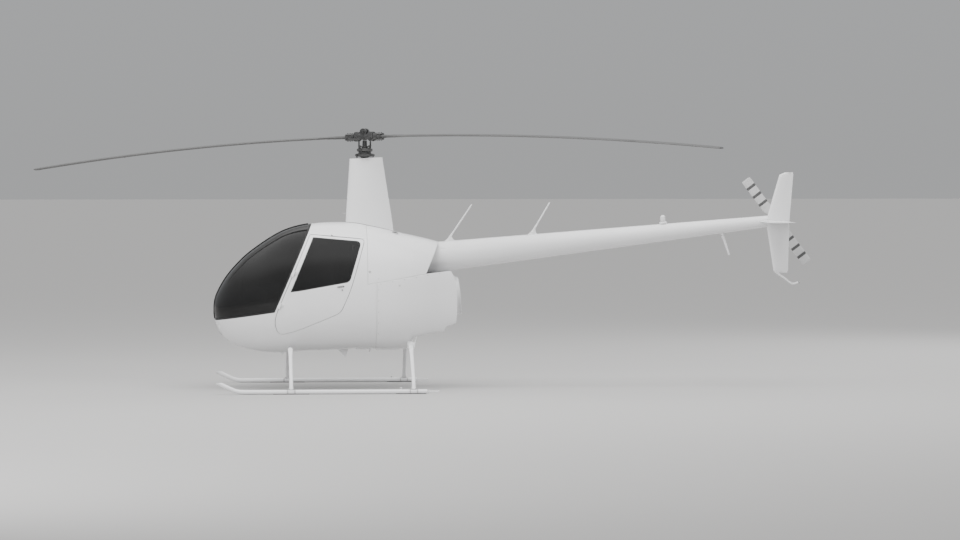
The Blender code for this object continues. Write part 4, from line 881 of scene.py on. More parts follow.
class Pattern:
    """A geometry-node tree with named inputs, baked to a plain mesh by bake()."""

    def __init__(self, name, **inputs):
        self.tree = bpy.data.node_groups.new(name, "GeometryNodeTree")
        face = self.tree.interface
        face.new_socket("Geometry", in_out="INPUT", socket_type="NodeSocketGeometry")
        self.sockets = {}
        for label, value in inputs.items():
            kind = "NodeSocketInt" if isinstance(value, int) else "NodeSocketFloat"
            socket = face.new_socket(label, in_out="INPUT", socket_type=kind)
            socket.default_value = value
            self.sockets[label] = socket.identifier
        face.new_socket("Geometry", in_out="OUTPUT", socket_type="NodeSocketGeometry")
        self.inputs = self.node("NodeGroupInput").outputs
        self.output = self.node("NodeGroupOutput").inputs["Geometry"]

    def node(self, kind, **values):
        node = self.tree.nodes.new(kind)
        for name, value in values.items():
            if isinstance(value, bpy.types.NodeSocket):
                self.tree.links.new(value, node.inputs[name.replace("_", " ")])
            elif name.replace("_", " ") in node.inputs:
                node.inputs[name.replace("_", " ")].default_value = value
            else:
                setattr(node, name, value)
        return node

    def sum(self, operation, first, second):
        node = self.node("ShaderNodeMath", operation=operation)
        for socket, value in zip(node.inputs, (first, second)):
            if isinstance(value, bpy.types.NodeSocket):
                self.tree.links.new(value, socket)
            else:
                socket.default_value = value
        return node.outputs[0]

    def spread(self, **values):
        """A vector put together from its parts."""
        return self.node("ShaderNodeCombineXYZ", **values).outputs[0]

    def both(self, *nodes):
        """The geometry of several nodes, joined."""
        whole = self.node("GeometryNodeJoinGeometry")
        for node in nodes:
            self.tree.links.new(node.outputs[0], whole.inputs[0])
        return whole.outputs[0]

    def circled(self, shape):
        """Copies of a shape turned about Z, as many as the input Count says."""
        index = self.node("GeometryNodeInputIndex")
        angle = self.sum("DIVIDE", self.sum("MULTIPLY", index.outputs[0], 2 * math.pi),
                         self.inputs["Count"])
        spots = self.node("GeometryNodePoints", Count=self.inputs["Count"])
        return self.node("GeometryNodeInstanceOnPoints", Points=spots.outputs[0],
                         Instance=shape.outputs[0], Rotation=self.spread(Z=angle)).outputs[0]

    def close(self, geometry, finish):
        """The tree's end: instances are made real and take their material."""
        real = self.node("GeometryNodeRealizeInstances", Geometry=geometry)
        painted_set = self.node("GeometryNodeSetMaterial", Geometry=real.outputs[0],
                                Material=FINISH[finish])
        self.tree.links.new(painted_set.outputs[0], self.output)

    def bake(self, points, outs=None, **values):
        """The pattern on a set of points, as a bmesh."""
        mesh = bpy.data.meshes.new(self.tree.name)
        mesh.from_pydata([tuple(point) for point in points], [], [])
        if outs is not None:
            attribute = mesh.attributes.new("out", "FLOAT_VECTOR", "POINT")
            attribute.data.foreach_set("vector", np.array(outs, np.float32).ravel())
        item = bpy.data.objects.new(self.tree.name, mesh)
        bpy.context.scene.collection.objects.link(item)
        modifier = item.modifiers.new("pattern", "NODES")
        modifier.node_group = self.tree
        for label, value in values.items():
            modifier[self.sockets[label]] = value
        evaluated = item.evaluated_get(bpy.context.evaluated_depsgraph_get())
        plain = bpy.data.meshes.new_from_object(evaluated)
        item.modifiers.remove(modifier)
        bm = bmesh.new()
        bm.from_mesh(plain)
        bpy.data.objects.remove(item)
        bpy.data.meshes.remove(plain)
        for face in bm.faces:
            face.material_index = 0
        return bm

    def on_points(self, shape):
        """Copies of a shape on the points, their Z along each point's own direction."""
        out = self.node("GeometryNodeInputNamedAttribute", data_type="FLOAT_VECTOR", Name="out")
        turn = self.node("FunctionNodeAlignRotationToVector", axis="Z",
                         Vector=out.outputs["Attribute"])
        return self.node("GeometryNodeInstanceOnPoints", Points=self.inputs["Geometry"],
                         Instance=shape, Rotation=turn.outputs[0]).outputs[0]


def rivet_pattern(finish):
    """Domed rivet heads, their lower half sunk in the skin."""
    tree = Pattern("rivet_heads", Radius=0.0022, Height=0.0009)
    low = tree.node("GeometryNodeMeshCone", Vertices=8, Radius_Bottom=tree.inputs["Radius"],
                    Radius_Top=tree.sum("MULTIPLY", tree.inputs["Radius"], 0.62),
                    Depth=tree.inputs["Height"])
    tree.close(tree.on_points(low.outputs["Mesh"]), finish)
    return tree


def bolt_pattern(finish):
    """Hexagon heads on round washers."""
    tree = Pattern("hexagon_bolts", Radius=0.005, Height=0.0045)
    washer = tree.node("GeometryNodeMeshCylinder", Vertices=16, Depth=0.0016,
                       Radius=tree.sum("MULTIPLY", tree.inputs["Radius"], 1.45))
    head = tree.node("GeometryNodeMeshCylinder", Vertices=6, Radius=tree.inputs["Radius"],
                     Depth=tree.inputs["Height"])
    rise = tree.spread(Z=tree.sum("MULTIPLY", tree.inputs["Height"], 0.5))
    lifted = tree.node("GeometryNodeTransform", Geometry=head.outputs["Mesh"], Translation=rise)
    tree.close(tree.on_points(tree.both(washer, lifted)), finish)
    return tree


def stud_pattern(finish):
    """Quarter-turn cowl studs: a flat cup with a raised centre."""
    tree = Pattern("cowl_studs", Radius=0.0065, Height=0.001)
    cup = tree.node("GeometryNodeMeshCylinder", Vertices=20, Radius=tree.inputs["Radius"],
                    Depth=tree.inputs["Height"])
    centre = tree.node("GeometryNodeMeshCylinder", Vertices=12, Depth=0.0026,
                       Radius=tree.sum("MULTIPLY", tree.inputs["Radius"], 0.5))
    tree.close(tree.on_points(tree.both(cup, centre)), finish)
    return tree


def disc_pattern(finish):
    """A row of thin round fins along X: the points are the row's start."""
    tree = Pattern("cooling_fins", Count=10, Spacing=0.008, Radius=0.07, Thickness=0.0025)
    fin = tree.node("GeometryNodeMeshCylinder", Vertices=28, Radius=tree.inputs["Radius"],
                    Depth=tree.inputs["Thickness"])
    line = tree.node("GeometryNodeMeshLine", Count=tree.inputs["Count"],
                     Offset=tree.spread(Z=tree.inputs["Spacing"]))
    stack = tree.node("GeometryNodeInstanceOnPoints", Points=line.outputs[0],
                      Instance=fin.outputs["Mesh"])
    tree.close(tree.on_points(stack.outputs[0]), finish)
    return tree


def vane_pattern(finish):
    """Leaning blades set round a circle on the tree's Z axis."""
    tree = Pattern("fan_vanes", Count=11, Inner=0.06, Outer=0.185, Width=0.05, Lean=0.6,
                   Thickness=0.003)
    inner, outer = tree.inputs["Inner"], tree.inputs["Outer"]
    size = tree.spread(X=tree.sum("SUBTRACT", outer, inner), Y=tree.inputs["Thickness"],
                       Z=tree.inputs["Width"])
    blade = tree.node("GeometryNodeMeshCube", Size=size)
    middle = tree.sum("MULTIPLY", tree.sum("ADD", outer, inner), 0.5)
    set_blade = tree.node("GeometryNodeTransform", Geometry=blade.outputs["Mesh"],
                          Translation=tree.spread(X=middle),
                          Rotation=tree.spread(X=tree.inputs["Lean"]))
    tree.close(tree.on_points(tree.circled(set_blade)), finish)
    return tree


def tick_pattern(finish):
    """Short marks round a dial."""
    tree = Pattern("dial_ticks", Count=24, Radius=0.028, Length=0.006, Width=0.0014)
    size = tree.spread(X=tree.inputs["Length"], Y=tree.inputs["Width"], Z=0.0006)
    mark = tree.node("GeometryNodeMeshCube", Size=size)
    set_mark = tree.node("GeometryNodeTransform", Geometry=mark.outputs["Mesh"],
                         Translation=tree.spread(X=tree.inputs["Radius"]))
    tree.close(tree.on_points(tree.circled(set_mark)), finish)
    return tree


def cone_pattern(finish):
    """A straight tapering tube along X, swept from a circle whose radius falls by rule."""
    tree = Pattern("tapering_boom", Length=3.6, Front=0.15, Rear=0.07, Rise=0.4, Sides=64)
    line = tree.node("GeometryNodeCurvePrimitiveLine",
                     End=tree.spread(X=tree.inputs["Length"], Z=tree.inputs["Rise"]))
    fine = tree.node("GeometryNodeResampleCurve", Curve=line.outputs[0], Count=37)
    share = tree.node("GeometryNodeSplineParameter").outputs["Factor"]
    fall = tree.sum("SUBTRACT", tree.inputs["Rear"], tree.inputs["Front"])
    reach = tree.sum("ADD", tree.inputs["Front"], tree.sum("MULTIPLY", share, fall))
    sized = tree.node("GeometryNodeSetCurveRadius", Curve=fine.outputs[0], Radius=reach)
    circle = tree.node("GeometryNodeCurvePrimitiveCircle", Resolution=tree.inputs["Sides"],
                       Radius=1.0)
    sweep = tree.node("GeometryNodeCurveToMesh", Curve=sized.outputs[0],
                      Profile_Curve=circle.outputs[0], Fill_Caps=True)
    if "Scale" in sweep.inputs:
        tree.tree.links.new(reach, sweep.inputs["Scale"])
    tree.close(tree.on_points(sweep.outputs[0]), finish)
    return tree


RIVETS = rivet_pattern("white_satin")
BOLTS = bolt_pattern("steel")
STUDS = stud_pattern("steel")
TICKS = tick_pattern("mark")


def scatter(name, pattern, points, outs, body="airframe", finish="white_satin",
            slot="white_paint", at=AIRFRAME, **values):
    """A pattern's copies on a set of points, as one piece."""
    place(name, pattern.bake(points, outs, **values), body, finish, slot, at=at, clean=False)


def spaced(points, step):
    """Points at even spacing along a path."""
    points = [Vector(point) for point in points]
    lengths = [0.0]
    for a, b in zip(points, points[1:]):
        lengths.append(lengths[-1] + (b - a).length)
    count = max(1, round(lengths[-1] / step))
    at = np.linspace(0.0, lengths[-1], count + 1)
    return [Vector(spot) for spot in np.stack(
        [np.interp(at, lengths, [point[k] for point in points]) for k in range(3)], axis=1)]


def side_row(line, side, step):
    """Evenly spaced points and normals on the body along a side-view line."""
    points, outs = [], []
    path = []
    for (xa, za), (xb, zb) in zip(line, line[1:]):
        path += [(xa + (xb - xa) * t, 0.0, za + (zb - za) * t) for t in np.linspace(0, 1, 24)]
    for spot in spaced(path, step):
        point, normal = on_side(spot.x, spot.z, side)
        points.append(point)
        outs.append(normal)
    return points, outs


# Doors

HINGE_HEIGHTS = (0.86, 1.18)
HINGE_OUT = 0.016
KNUCKLE_R = 0.009
KNUCKLE_LENGTH = 0.03
RUN_GAP = 0.0005


def pillar_x(z):
    (x_low, z_low), (x_high, z_high) = WINDSCREEN_SILL[1], WINDSCREEN_REAR_TOP
    return x_low + (x_high - x_low) * (z - z_low) / (z_high - z_low) + 0.026


def hinge_spots(side):
    spots = []
    for z in HINGE_HEIGHTS:
        x = pillar_x(z)
        spot, _ = on_side(x, z, side)
        spots.append(Vector((x, spot.y + side * HINGE_OUT, z)))
    return spots


HINGE_CAP_TURN = [(0.0, -0.0035), (0.0045, -0.0035), (0.0055, -0.002), (0.0055, 0.0), (0.0, 0.0)]


def hinge_shapes(side, owner):
    """The knuckles of one door that belong to the hull or to the door, with their leaves."""
    low, high = hinge_spots(side)
    axis = (high - low).normalized()
    aft = Vector((0.0, side, 0.0)).cross(axis).normalized() * side
    out = axis.cross(aft).normalized()
    out = out if out.y * side > 0 else -out
    turn = Matrix((aft, out, axis)).transposed().to_4x4()
    shift = (KNUCKLE_LENGTH + RUN_GAP) / 2 * (-1 if owner == "hull" else 1)
    shapes = []
    half = KNUCKLE_LENGTH / 2
    for spot in (low, high):
        middle = spot + axis * shift
        knuckle = lathe([(0.0, -half), (KNUCKLE_R - 0.001, -half), (KNUCKLE_R, -half + 0.001),
                         (KNUCKLE_R, half - 0.001), (KNUCKLE_R - 0.001, half), (0.0, half)],
                        sides=24)
        reach = (-0.024, 0.0) if owner == "hull" else (0.0, 0.03)
        leaf = block((reach[0], -HINGE_OUT - 0.01, -half), (reach[1], -0.003, half), 0.0015)
        for shape in (knuckle, leaf):
            shapes.append(moved(shape, Matrix.Translation(middle) @ turn))
        if owner == "hull":
            cap = lathe(HINGE_CAP_TURN, sides=16)
            shapes.append(moved(cap, Matrix.Translation(middle - axis * half) @ turn))
    return joined(*shapes)


def make_doors():
    for name, side in SIDES:
        body = f"door_{name}"
        sides_range = tuple(sorted((side * 0.05, side * 0.9)))
        outer = inset(DOOR_OUTLINE, 0.004)
        skin_sheet = skin_patch(outer, [inset(DOOR_WINDOW, -0.0006)], y_range=sides_range)
        place(f"visual_door_skin_{name}", skin_sheet, body, "white", "white_paint",
              f"door_{name}", wall=0.0055, bevel=0.0014, clean=False)
        lining = skin_patch(inset(DOOR_OUTLINE, 0.017), [inset(DOOR_WINDOW, -0.0105)],
                            depth=0.0057, y_range=sides_range)
        place(f"door_lining_{name}", lining, body, "trim", "cabin_trim", wall=0.0185,
              bevel=0.003, clean=False)
        glass = skin_patch(inset(DOOR_WINDOW, 0.001), y_range=sides_range, depth=0.0012,
                           bands=[inset(DOOR_WINDOW, 0.011)])
        place(f"visual_door_glass_{name}", glass, body, ["glass", "rubber"], "dark_glass",
              f"door_glass_{name}", wall=GLASS_WALL, bevel=0.0006, clean=False)
        seal = hose(seam_line(inset(DOOR_WINDOW, 0.004), side, -0.0078, 0.012), 0.0032, 10,
                    closed=True)
        place(f"door_window_seal_{name}", seal, body, "rubber", "cabin_trim")
        weather = hose(seam_line(inset(DOOR_OUTLINE, 0.0018), side, -0.0145, 0.015), 0.0036, 8,
                       closed=True)
        place(f"door_weather_strip_{name}", weather, "airframe", "rubber", "cabin_trim")
        place(f"hull_hinge_{name}", hinge_shapes(side, "hull"), *WHITE)
        place(f"door_hinge_{name}", hinge_shapes(side, "door"), body, "white", "white_paint")
        make_door_fittings(name, side, body)


def skin_frame(x, z, side, out=0.0, lean=0.0):
    """A frame on the skin: X runs aft along it, Y points out of it, Z runs up it."""
    spot, normal = on_side(x, z, side, out)
    aft = Vector((math.cos(lean), 0.0, math.sin(lean)))
    aft = (aft - normal * aft.dot(normal)).normalized()
    up = aft.cross(normal) * (-1 if side > 0 else 1)
    if up.z < 0:
        up = -up
    turn = Matrix((aft, normal, up)).transposed().to_4x4()
    return Matrix.Translation(spot) @ turn


HANDLE_LEVER_LINE = [(-0.03, 0.003, 0.0), (-0.01, 0.0065, 0.0), (0.012, 0.0065, 0.0),
                     (0.026, 0.0045, 0.0)]
HANDLE_BOSS_TURN = [(0.0, 0.0), (0.0095, 0.0), (0.0095, 0.0045), (0.008, 0.006), (0.0, 0.006)]
DOOR_LOCK_TURN = [(0.0, 0.0), (0.0085, 0.0), (0.0085, 0.0018), (0.0075, 0.0026), (0.0, 0.0026)]
INSIDE_GRIP_LINE = [(-0.035, -0.004, 0.0), (-0.03, -0.022, 0.0), (0.0, -0.027, 0.0),
                    (0.035, -0.024, 0.0), (0.048, -0.018, 0.0)]
POCKET_OUTLINE = [(-0.13, -0.045), (0.13, -0.01), (0.15, 0.055), (-0.15, 0.055)]


def make_door_fittings(name, side, body):
    """Outside handle in its cup, the lock below it, and the pull and pocket inside."""
    here = skin_frame(-0.262, 1.052, side, 0.0, 0.1)
    cup = slab(rounded(rectangle(-0.04, -0.012, 0.04, 0.012), 0.01), -0.0012, 0.001, 0.0008)
    # The well behind the lever and the lock's key slot take the near-black gap finish: painted
    # shade for these hollows.
    well_painted_shade = slab(rounded(rectangle(-0.034, -0.0085, 0.034, 0.0085), 0.008), 0.0004, 0.0014, index=1)
    lever = hose(smooth_path(HANDLE_LEVER_LINE, 0.004), 0.0052, 12, flat=0.45,
                 up=(0, 1, 0), index=2)
    boss = lathe(HANDLE_BOSS_TURN, (-0.028, 0.0, 0.0), (0, 1, 0), 24, index=2)
    lock = lathe(DOOR_LOCK_TURN, (0.01, 0.0, -0.034), (0, 1, 0), 24, index=2)
    key_slot_painted_shade = block((0.009, 0.0022, -0.039), (0.011, 0.003, -0.029))
    place(f"door_handle_{name}", moved(joined(cup, well_painted_shade, lever, boss, lock, tinted(key_slot_painted_shade, 1)),
                                       here), body, ["white", "socket", "steel"], "white_paint")
    inner = skin_frame(-0.33, 0.955, side, -DOOR_WALL - 0.0004, 0.1)
    plate = slab(rounded(rectangle(-0.055, -0.02, 0.055, 0.02), 0.012), -0.004, 0.0, 0.001)
    grip = hose(smooth_path(INSIDE_GRIP_LINE, 0.005), 0.006, 10, index=1)
    place(f"door_inside_lever_{name}", moved(joined(plate, grip), inner), body,
          ["trim", "dark_steel"], "cabin_trim")
    pocket = skin_frame(-0.56, 0.76, side, -DOOR_WALL - 0.0004, 0.0)
    outline = rounded(POCKET_OUTLINE, 0.02)
    bag = slab(outline, -0.02, 0.0, 0.006, 3)
    edging = hose([(x, -0.0205, 0.056) for x in np.linspace(-0.146, 0.146, 20)], 0.004, 8, index=1)
    place(f"door_pocket_{name}", moved(joined(bag, edging), pocket), body,
          ["leather", "rubber"], "cabin_trim")


make_doors()


# Tail

TAILCONE_FRONT = 0.6
TAILCONE_REAR = 4.2055
BULKHEADS = (0.92, 1.42, 1.95, 2.5, 3.05, 3.62, 4.05)
FIN_Y = -0.0745
FIN_OUTLINE = ((4.118, 1.69, 0.03), (4.12, 1.748, 0.05), (4.24, 2.165, 0.02), (4.252, 2.19, 0.006),
               (4.378, 2.1965, 0.004), (4.386, 2.186, 0.008), (4.347, 1.7, 0.1),
               (4.334, 1.184, 0.01), (4.323, 1.1665, 0.006), (4.201, 1.165, 0.006),
               (4.184, 1.18, 0.01), (4.114, 1.633, 0.05),)
STABILISER_Y = (-0.09, -0.6)
BEACON_X = 3.056

# Whip aerials: name, foot front and rear x, neck x and z, tip x and z, under the boom or on top
WHIPS = (("aerial_front", 0.812, 0.916, 0.876, 1.549, 1.092, 1.868, False),
         ("aerial_rear", 1.663, 1.758, 1.733, 1.622, 1.889, 1.887, False),
         ("aerial_under", 3.641, 3.688, 3.672, 1.54, 3.737, 1.347, True),)


def cone_values(x):
    """Height of the middle and radius of the tailcone at a station."""
    top = 1.491 + 0.0772 * (x - 0.777)
    bottom = 1.198 + 0.1341 * (x - 0.882)
    return (top + bottom) / 2, (top - bottom) / 2


def cone_point(x, turn, out=0.0):
    middle, radius = cone_values(x)
    return Vector((x, (radius + out) * math.cos(turn), middle + (radius + out) * math.sin(turn)))


def cone_band(front, rear, out, thickness, sides=64):
    """A thin sleeve round the tailcone."""
    rings = []
    for x, lift in ((front, out), (rear, out), (rear, out - thickness), (front, out - thickness)):
        rings.append([cone_point(x, 2 * math.pi * i / sides, lift) for i in range(sides)])
    bm = bmesh.new()
    lines = [[bm.verts.new(point) for point in ring] for ring in rings]
    for ring, following in zip(lines, lines[1:] + lines[:1]):
        skin(bm, ring, following)
    bmesh.ops.recalc_face_normals(bm, faces=bm.faces)
    return bm


def make_tailcone():
    front_z, front_r = cone_values(TAILCONE_FRONT)
    rear_z, rear_r = cone_values(TAILCONE_REAR)
    boom = cone_pattern("white").bake([(TAILCONE_FRONT, 0.0, front_z)], [(0.0, 0.0, 1.0)],
                                      Length=TAILCONE_REAR - TAILCONE_FRONT, Front=front_r,
                                      Rear=rear_r, Rise=rear_z - front_z, Sides=72)
    place("visual_tailcone", boom, *WHITE, "tailcone")
    bands = [cone_band(x - 0.016, x + 0.016, 0.0009, 0.0012) for x in BULKHEADS]
    bands.append(cone_band(TAILCONE_REAR - 0.03, TAILCONE_REAR - 0.0005, 0.0022, 0.003))
    place("tailcone_joint_bands", joined(*bands), *WHITE)
    points, outs = [], []
    for x in BULKHEADS:
        _, radius = cone_values(x)
        count = int(2 * math.pi * radius / 0.022)
        for row in (-0.0085, 0.0085):
            for i in range(count):
                turn = 2 * math.pi * (i + (0.5 if row > 0 else 0.0)) / count
                points.append(cone_point(x + row, turn, 0.0012))
                outs.append(Vector((0.0, math.cos(turn), math.sin(turn))))
    seam = math.radians(-62.0)
    for x in np.arange(0.66, 4.15, 0.024):
        points.append(cone_point(x, seam))
        outs.append(Vector((0.0, math.cos(seam), math.sin(seam))))
    scatter("tailcone_rivets", RIVETS, points, outs)
    hatch = slab(rounded(rectangle(-0.03, -0.014, 0.03, 0.014), 0.006), -0.001, 0.0013, 0.0004)
    middle, radius = cone_values(0.8)
    turn = math.radians(37.0)
    shapes = []
    for side in (-1, 1):
        spot = Vector((0.8, side * radius * math.cos(turn), middle + radius * math.sin(turn)))
        flip = Matrix.Diagonal((1.0, side, 1.0, 1.0))
        shapes.append(moved(hatch.copy(), Matrix.Translation(spot) @ flip
                            @ Matrix.Rotation(turn, 4, "X")))
    hatch.free()
    place("tailcone_hatches", joined(*shapes), *WHITE)


def wing_lift(share, thick, closing):
    """Half thickness of a four-digit wing section at a share of its chord."""
    return thick / 0.2 * (0.2969 * math.sqrt(share) - 0.126 * share - 0.3516 * share ** 2
                          + 0.2843 * share ** 3 - closing * share ** 4)


def wing_rings(sections, count=18):
    """Closed rings of a symmetric wing section; a section is (place, front, rear, thickness)."""
    rings = []
    for at, front, rear, thick in sections:
        ring = []
        for turn in turns(2 * count):
            share = (1 - math.cos(turn)) / 2
            lift = wing_lift(share, thick, 0.103)
            ring.append((at, front + (rear - front) * share,
                         max(lift, 0.0006) * (1 if turn < math.pi else -1)))
        rings.append(ring)
    return rings


STABILISER_ROOT_OUTLINE = [(4.045, 1.672), (4.33, 1.683), (4.33, 1.697), (4.045, 1.708)]
TAIL_SKID_LINE = [(4.22, FIN_Y, 1.164), (4.29, FIN_Y, 1.116), (4.352, FIN_Y, 1.068),
                  (4.385, FIN_Y, 1.0545), (4.447, FIN_Y, 1.069)]


def make_fins():
    outline = rounded([tuple(corner) for corner in FIN_OUTLINE], 0.02, 4)
    fin = fin_skin(outline)
    place("visual_tail_fin", fin, *WHITE, "tail_fin", smooth=50.0)
    rings = []
    low, high = STABILISER_Y
    sections = [(low + 0.0002, 4.03, 4.339, 0.0235), (-0.3, 4.03, 4.339, 0.0235),
                (high + 0.06, 4.036, 4.339, 0.0235), (high + 0.03, 4.046, 4.337, 0.022),
                (high + 0.012, 4.058, 4.333, 0.018), (high + 0.003, 4.07, 4.327, 0.012),
                (high, 4.082, 4.318, 0.006)]
    for ring in wing_rings(sections):
        rings.append([(x, y, 1.69 + z) for y, x, z in ring])
    place("visual_stabiliser", lofted(rings), *WHITE, "stabiliser", smooth=50.0)
    root = [slab(rounded(STABILISER_ROOT_OUTLINE, 0.006), low - 0.006, low - 0.0002, 0.0015)]
    place("stabiliser_root_plate", joined(*root), *WHITE)
    points, outs = [], []
    for x in (4.075, 4.215):
        for y in np.arange(high + 0.03, low - 0.01, 0.026):
            for sign in (1, -1):
                thick = 0.0235 / 2 * (0.98 if x < 4.2 else 0.72)
                points.append((x, y, 1.69 + sign * thick))
                outs.append((0.0, 0.0, sign))
    for z in (1.3, 1.46, 1.62, 1.8, 1.95, 2.1):
        front, rear = fin_edges(outline, z)
        for x in np.arange(front + 0.03, rear - 0.012, 0.024):
            for sign in (1, -1):
                share = (x - front) / (rear - front)
                points.append((x, FIN_Y + sign * fin_half(share), z))
                outs.append((0.0, sign, 0.0))
    scatter("tail_rivets", RIVETS, points, outs, Radius=0.0019)
    skid = hose(smooth_path(TAIL_SKID_LINE, 0.008), 0.0098, 16)
    socket = hose([(4.21, FIN_Y, 1.176), (4.25, FIN_Y, 1.144)], 0.0125, 20)
    tip = round_bar((4.44, FIN_Y, 1.0668), (4.4475, FIN_Y, 1.0694), 0.0105, 16, edge=0.002,
                    index=1)
    place("visual_tail_skid", joined(skid, socket, tip), "airframe", ["white", "rubber"],
          "white_paint", "tail_skid")


def fin_edges(outline, z):
    """X of the fin's front and rear edge at a height."""
    found = []
    for (xa, za), (xb, zb) in outline_sides(outline):
        if (za > z) != (zb > z):
            found.append(xa + (xb - xa) * (z - za) / (zb - za))
    return min(found), max(found)


def fin_half(share):
    """Half thickness of the fin along its chord."""
    share = min(max(share, 0.0), 1.0)
    return 0.015 * min(1.0, math.sqrt(max(share, 0.0) / 0.16)) * (1.0 - 0.72 * max(
        0.0, share - 0.45) / 0.55) + 0.0006


def fin_skin(outline):
    """The fin as a stack of sections, from its foot to its tip."""
    low, high = min(z for _, z in outline), max(z for _, z in outline)
    heights = sorted({*np.linspace(low + 0.004, high - 0.004, 44), low + 0.0008, high - 0.0008})
    rings = []
    for z in heights:
        front, rear = fin_edges(outline, z)
        fade = min(1.0, math.sqrt(max(0.02, min(z - low, high - z)) / 0.02))
        edge = min(1.0, 0.45 + 0.55 * min(z - low, high - z) / 0.01)
        ring = []
        for i in range(36):
            turn = 2 * math.pi * i / 36
            share = (1 - math.cos(turn)) / 2
            half = fin_half(share) * edge * fade
            out = 0.0 if i in (0, 18) else 1.0
            ring.append((front + (rear - front) * share,
                         FIN_Y + (half if turn < math.pi else -half) * out, z))
        rings.append(ring)
    return lofted(rings)


# Share of the way up the foot, and width there
WHIP_FOOT = ((0.0, 1.0), (0.1, 0.9), (0.3, 0.66), (0.6, 0.42), (0.85, 0.3))
# Share of the way along the rod, and radius there
WHIP_ROD = ((0.0, 0.0095), (0.06, 0.0078), (0.12, 0.0066), (0.94, 0.0058), (0.98, 0.0048),
            (1.0, 0.0026))
BEACON_BASE_TURN = [(0.0, 0.0), (0.038, 0.0), (0.039, 0.002), (0.039, 0.017), (0.036, 0.021),
                    (0.0295, 0.024), (0.0, 0.024)]
BEACON_RING_TURN = [(0.0, 0.024), (0.0285, 0.024), (0.029, 0.0265), (0.0285, 0.029), (0.0, 0.029)]
BEACON_LENS_TURN = [(0.0, 0.029), (0.0265, 0.029), (0.0265, 0.058), (0.0255, 0.07),
                    (0.0215, 0.081), (0.0135, 0.0885), (0.0, 0.0915)]


def make_boom_fittings():
    for name, front, rear, neck_x, neck_z, tip_x, tip_z, under in WHIPS:
        rings = []
        middle, half = (front + rear) / 2, (rear - front) / 2
        way = -1 if under else 1
        for share, width in WHIP_FOOT:
            ring = []
            for i in range(24):
                turn = 2 * math.pi * i / 24
                x = middle + (neck_x - middle) * share + half * width * math.cos(turn)
                centre, radius = cone_values(x)
                foot_z = centre + (radius + 0.0002) * way
                ring.append((x, 0.012 * (1 - 0.25 * share) * math.sin(turn),
                             foot_z + (neck_z - foot_z) * share))
            rings.append(ring)
        along = Vector((tip_x - neck_x, 0.0, tip_z - neck_z)).normalized()
        across = Vector((along.z, 0.0, -along.x)) * (1 if along.z > 0 else -1)
        wide = 1.9 if under else 1.25
        for share, radius in WHIP_ROD:
            centre = Vector((neck_x, 0, neck_z)).lerp(Vector((tip_x, 0, tip_z)), share)
            rings.append([centre + across * radius * wide * math.cos(turn)
                          + Vector((0, radius * math.sin(turn), 0)) for turn in turns(24)])
        place(f"visual_{name}", lofted(rings), *WHITE, name)
    centre, radius = cone_values(BEACON_X)
    seat = (BEACON_X, 0.0, centre + radius + 0.0003)
    lean = (-0.0772, 0.0, 1.0)
    base = lathe(BEACON_BASE_TURN, seat, lean, 40)
    ring = lathe(BEACON_RING_TURN, seat, lean, 40, index=1)
    lens = lathe(BEACON_LENS_TURN, seat, lean, 40, index=2)
    place("visual_beacon", joined(base, ring, lens), "airframe", ["white", "steel", "lens_white"],
          "white_paint", "beacon")


SIGHT_GLASS_TURN = [(0.0, 0.0), (0.012, 0.0), (0.012, 0.006), (0.009, 0.008), (0.0, 0.008)]


def make_tail_gearbox():
    x, _, z = TAIL_HUB
    low = FIN_Y + 0.0156
    profile = [(0.0, low), (0.044, low), (0.05, low + 0.004), (0.055, low + 0.01),
               (0.0555, 0.03), (0.0545, 0.04), (0.0525, 0.06), (0.0515, 0.075),
               (0.044, 0.084), (0.038, 0.092), (0.033, 0.102), (0.03, 0.112),
               (0.029, 0.15), (0.0275, 0.172), (0.025, 0.184), (0.0, 0.1895)]
    case = lathe(profile, (x, 0.0, z), (0, 1, 0), 48)
    rings = [lathe(tube(0.03, 0.061, y, y + 0.005),
                   (x, 0.0, z), (0, 1, 0), 48, closed=True) for y in (-0.012, 0.01, 0.032)]
    window = lathe(SIGHT_GLASS_TURN, (x + 0.054, 0.035, z), (1, 0, 0), 24, index=1)
    filler = hex_bolt((x, 0.045, z + 0.052), (0, 0, 1), 0.014, 0.01, index=1)
    place("visual_tail_gearbox", joined(case, *rings, window, filler), "airframe",
          ["white", "steel"], "white_paint", "tail_gearbox")
    points = [(x + 0.0475 * math.cos(turn), 0.0795, z + 0.0475 * math.sin(turn))
              for turn in turns(8)]
    scatter("tail_gearbox_bolts", BOLTS, points, [(0, 1, 0)] * 8, finish="steel",
            slot="bare_metal", Radius=0.0036, Height=0.0034)


# Mast fairing

FAIRING_FRONT = ((-0.196, 1.695), (-0.154, 2.334))
FAIRING_REAR = ((0.292, 1.613), (0.178, 2.349))
FAIRING_HALF = (0.092, 0.076)


def fairing_ring(share, thinner=0.0, count=44):
    """One level of the streamlined fairing, from its foot at 0 to its top at 1."""
    half = FAIRING_HALF[0] * (1 - share) + FAIRING_HALF[1] * share
    front = np.array(FAIRING_FRONT[0]) * (1 - share) + np.array(FAIRING_FRONT[1]) * share
    rear = np.array(FAIRING_REAR[0]) * (1 - share) + np.array(FAIRING_REAR[1]) * share
    ring = []
    for i in range(2 * count):
        turn = 2 * math.pi * i / (2 * count)
        along = (1 - math.cos(turn)) / 2
        thick = half * 2.6 * (math.sqrt(along) * 0.77 - along * 0.32 - along ** 2 * 0.45)
        thick = max(thick - thinner, 0.0) * (1 if turn < math.pi else -1)
        if i == count:
            thick = 0.0
        x, z = front + (rear - front) * along
        x += thinner * (1 if along < 0.5 else -3) * abs(math.cos(turn))
        ring.append(Vector((x, thick, z)))
    return ring


PITOT_TURN = [(0.0, -0.012), (0.007, -0.012), (0.007, 0.002), (0.005, 0.006), (0.0034, 0.012),
              (0.0032, 0.0385), (0.0018, 0.0385), (0.0018, 0.02), (0.0, 0.02)]


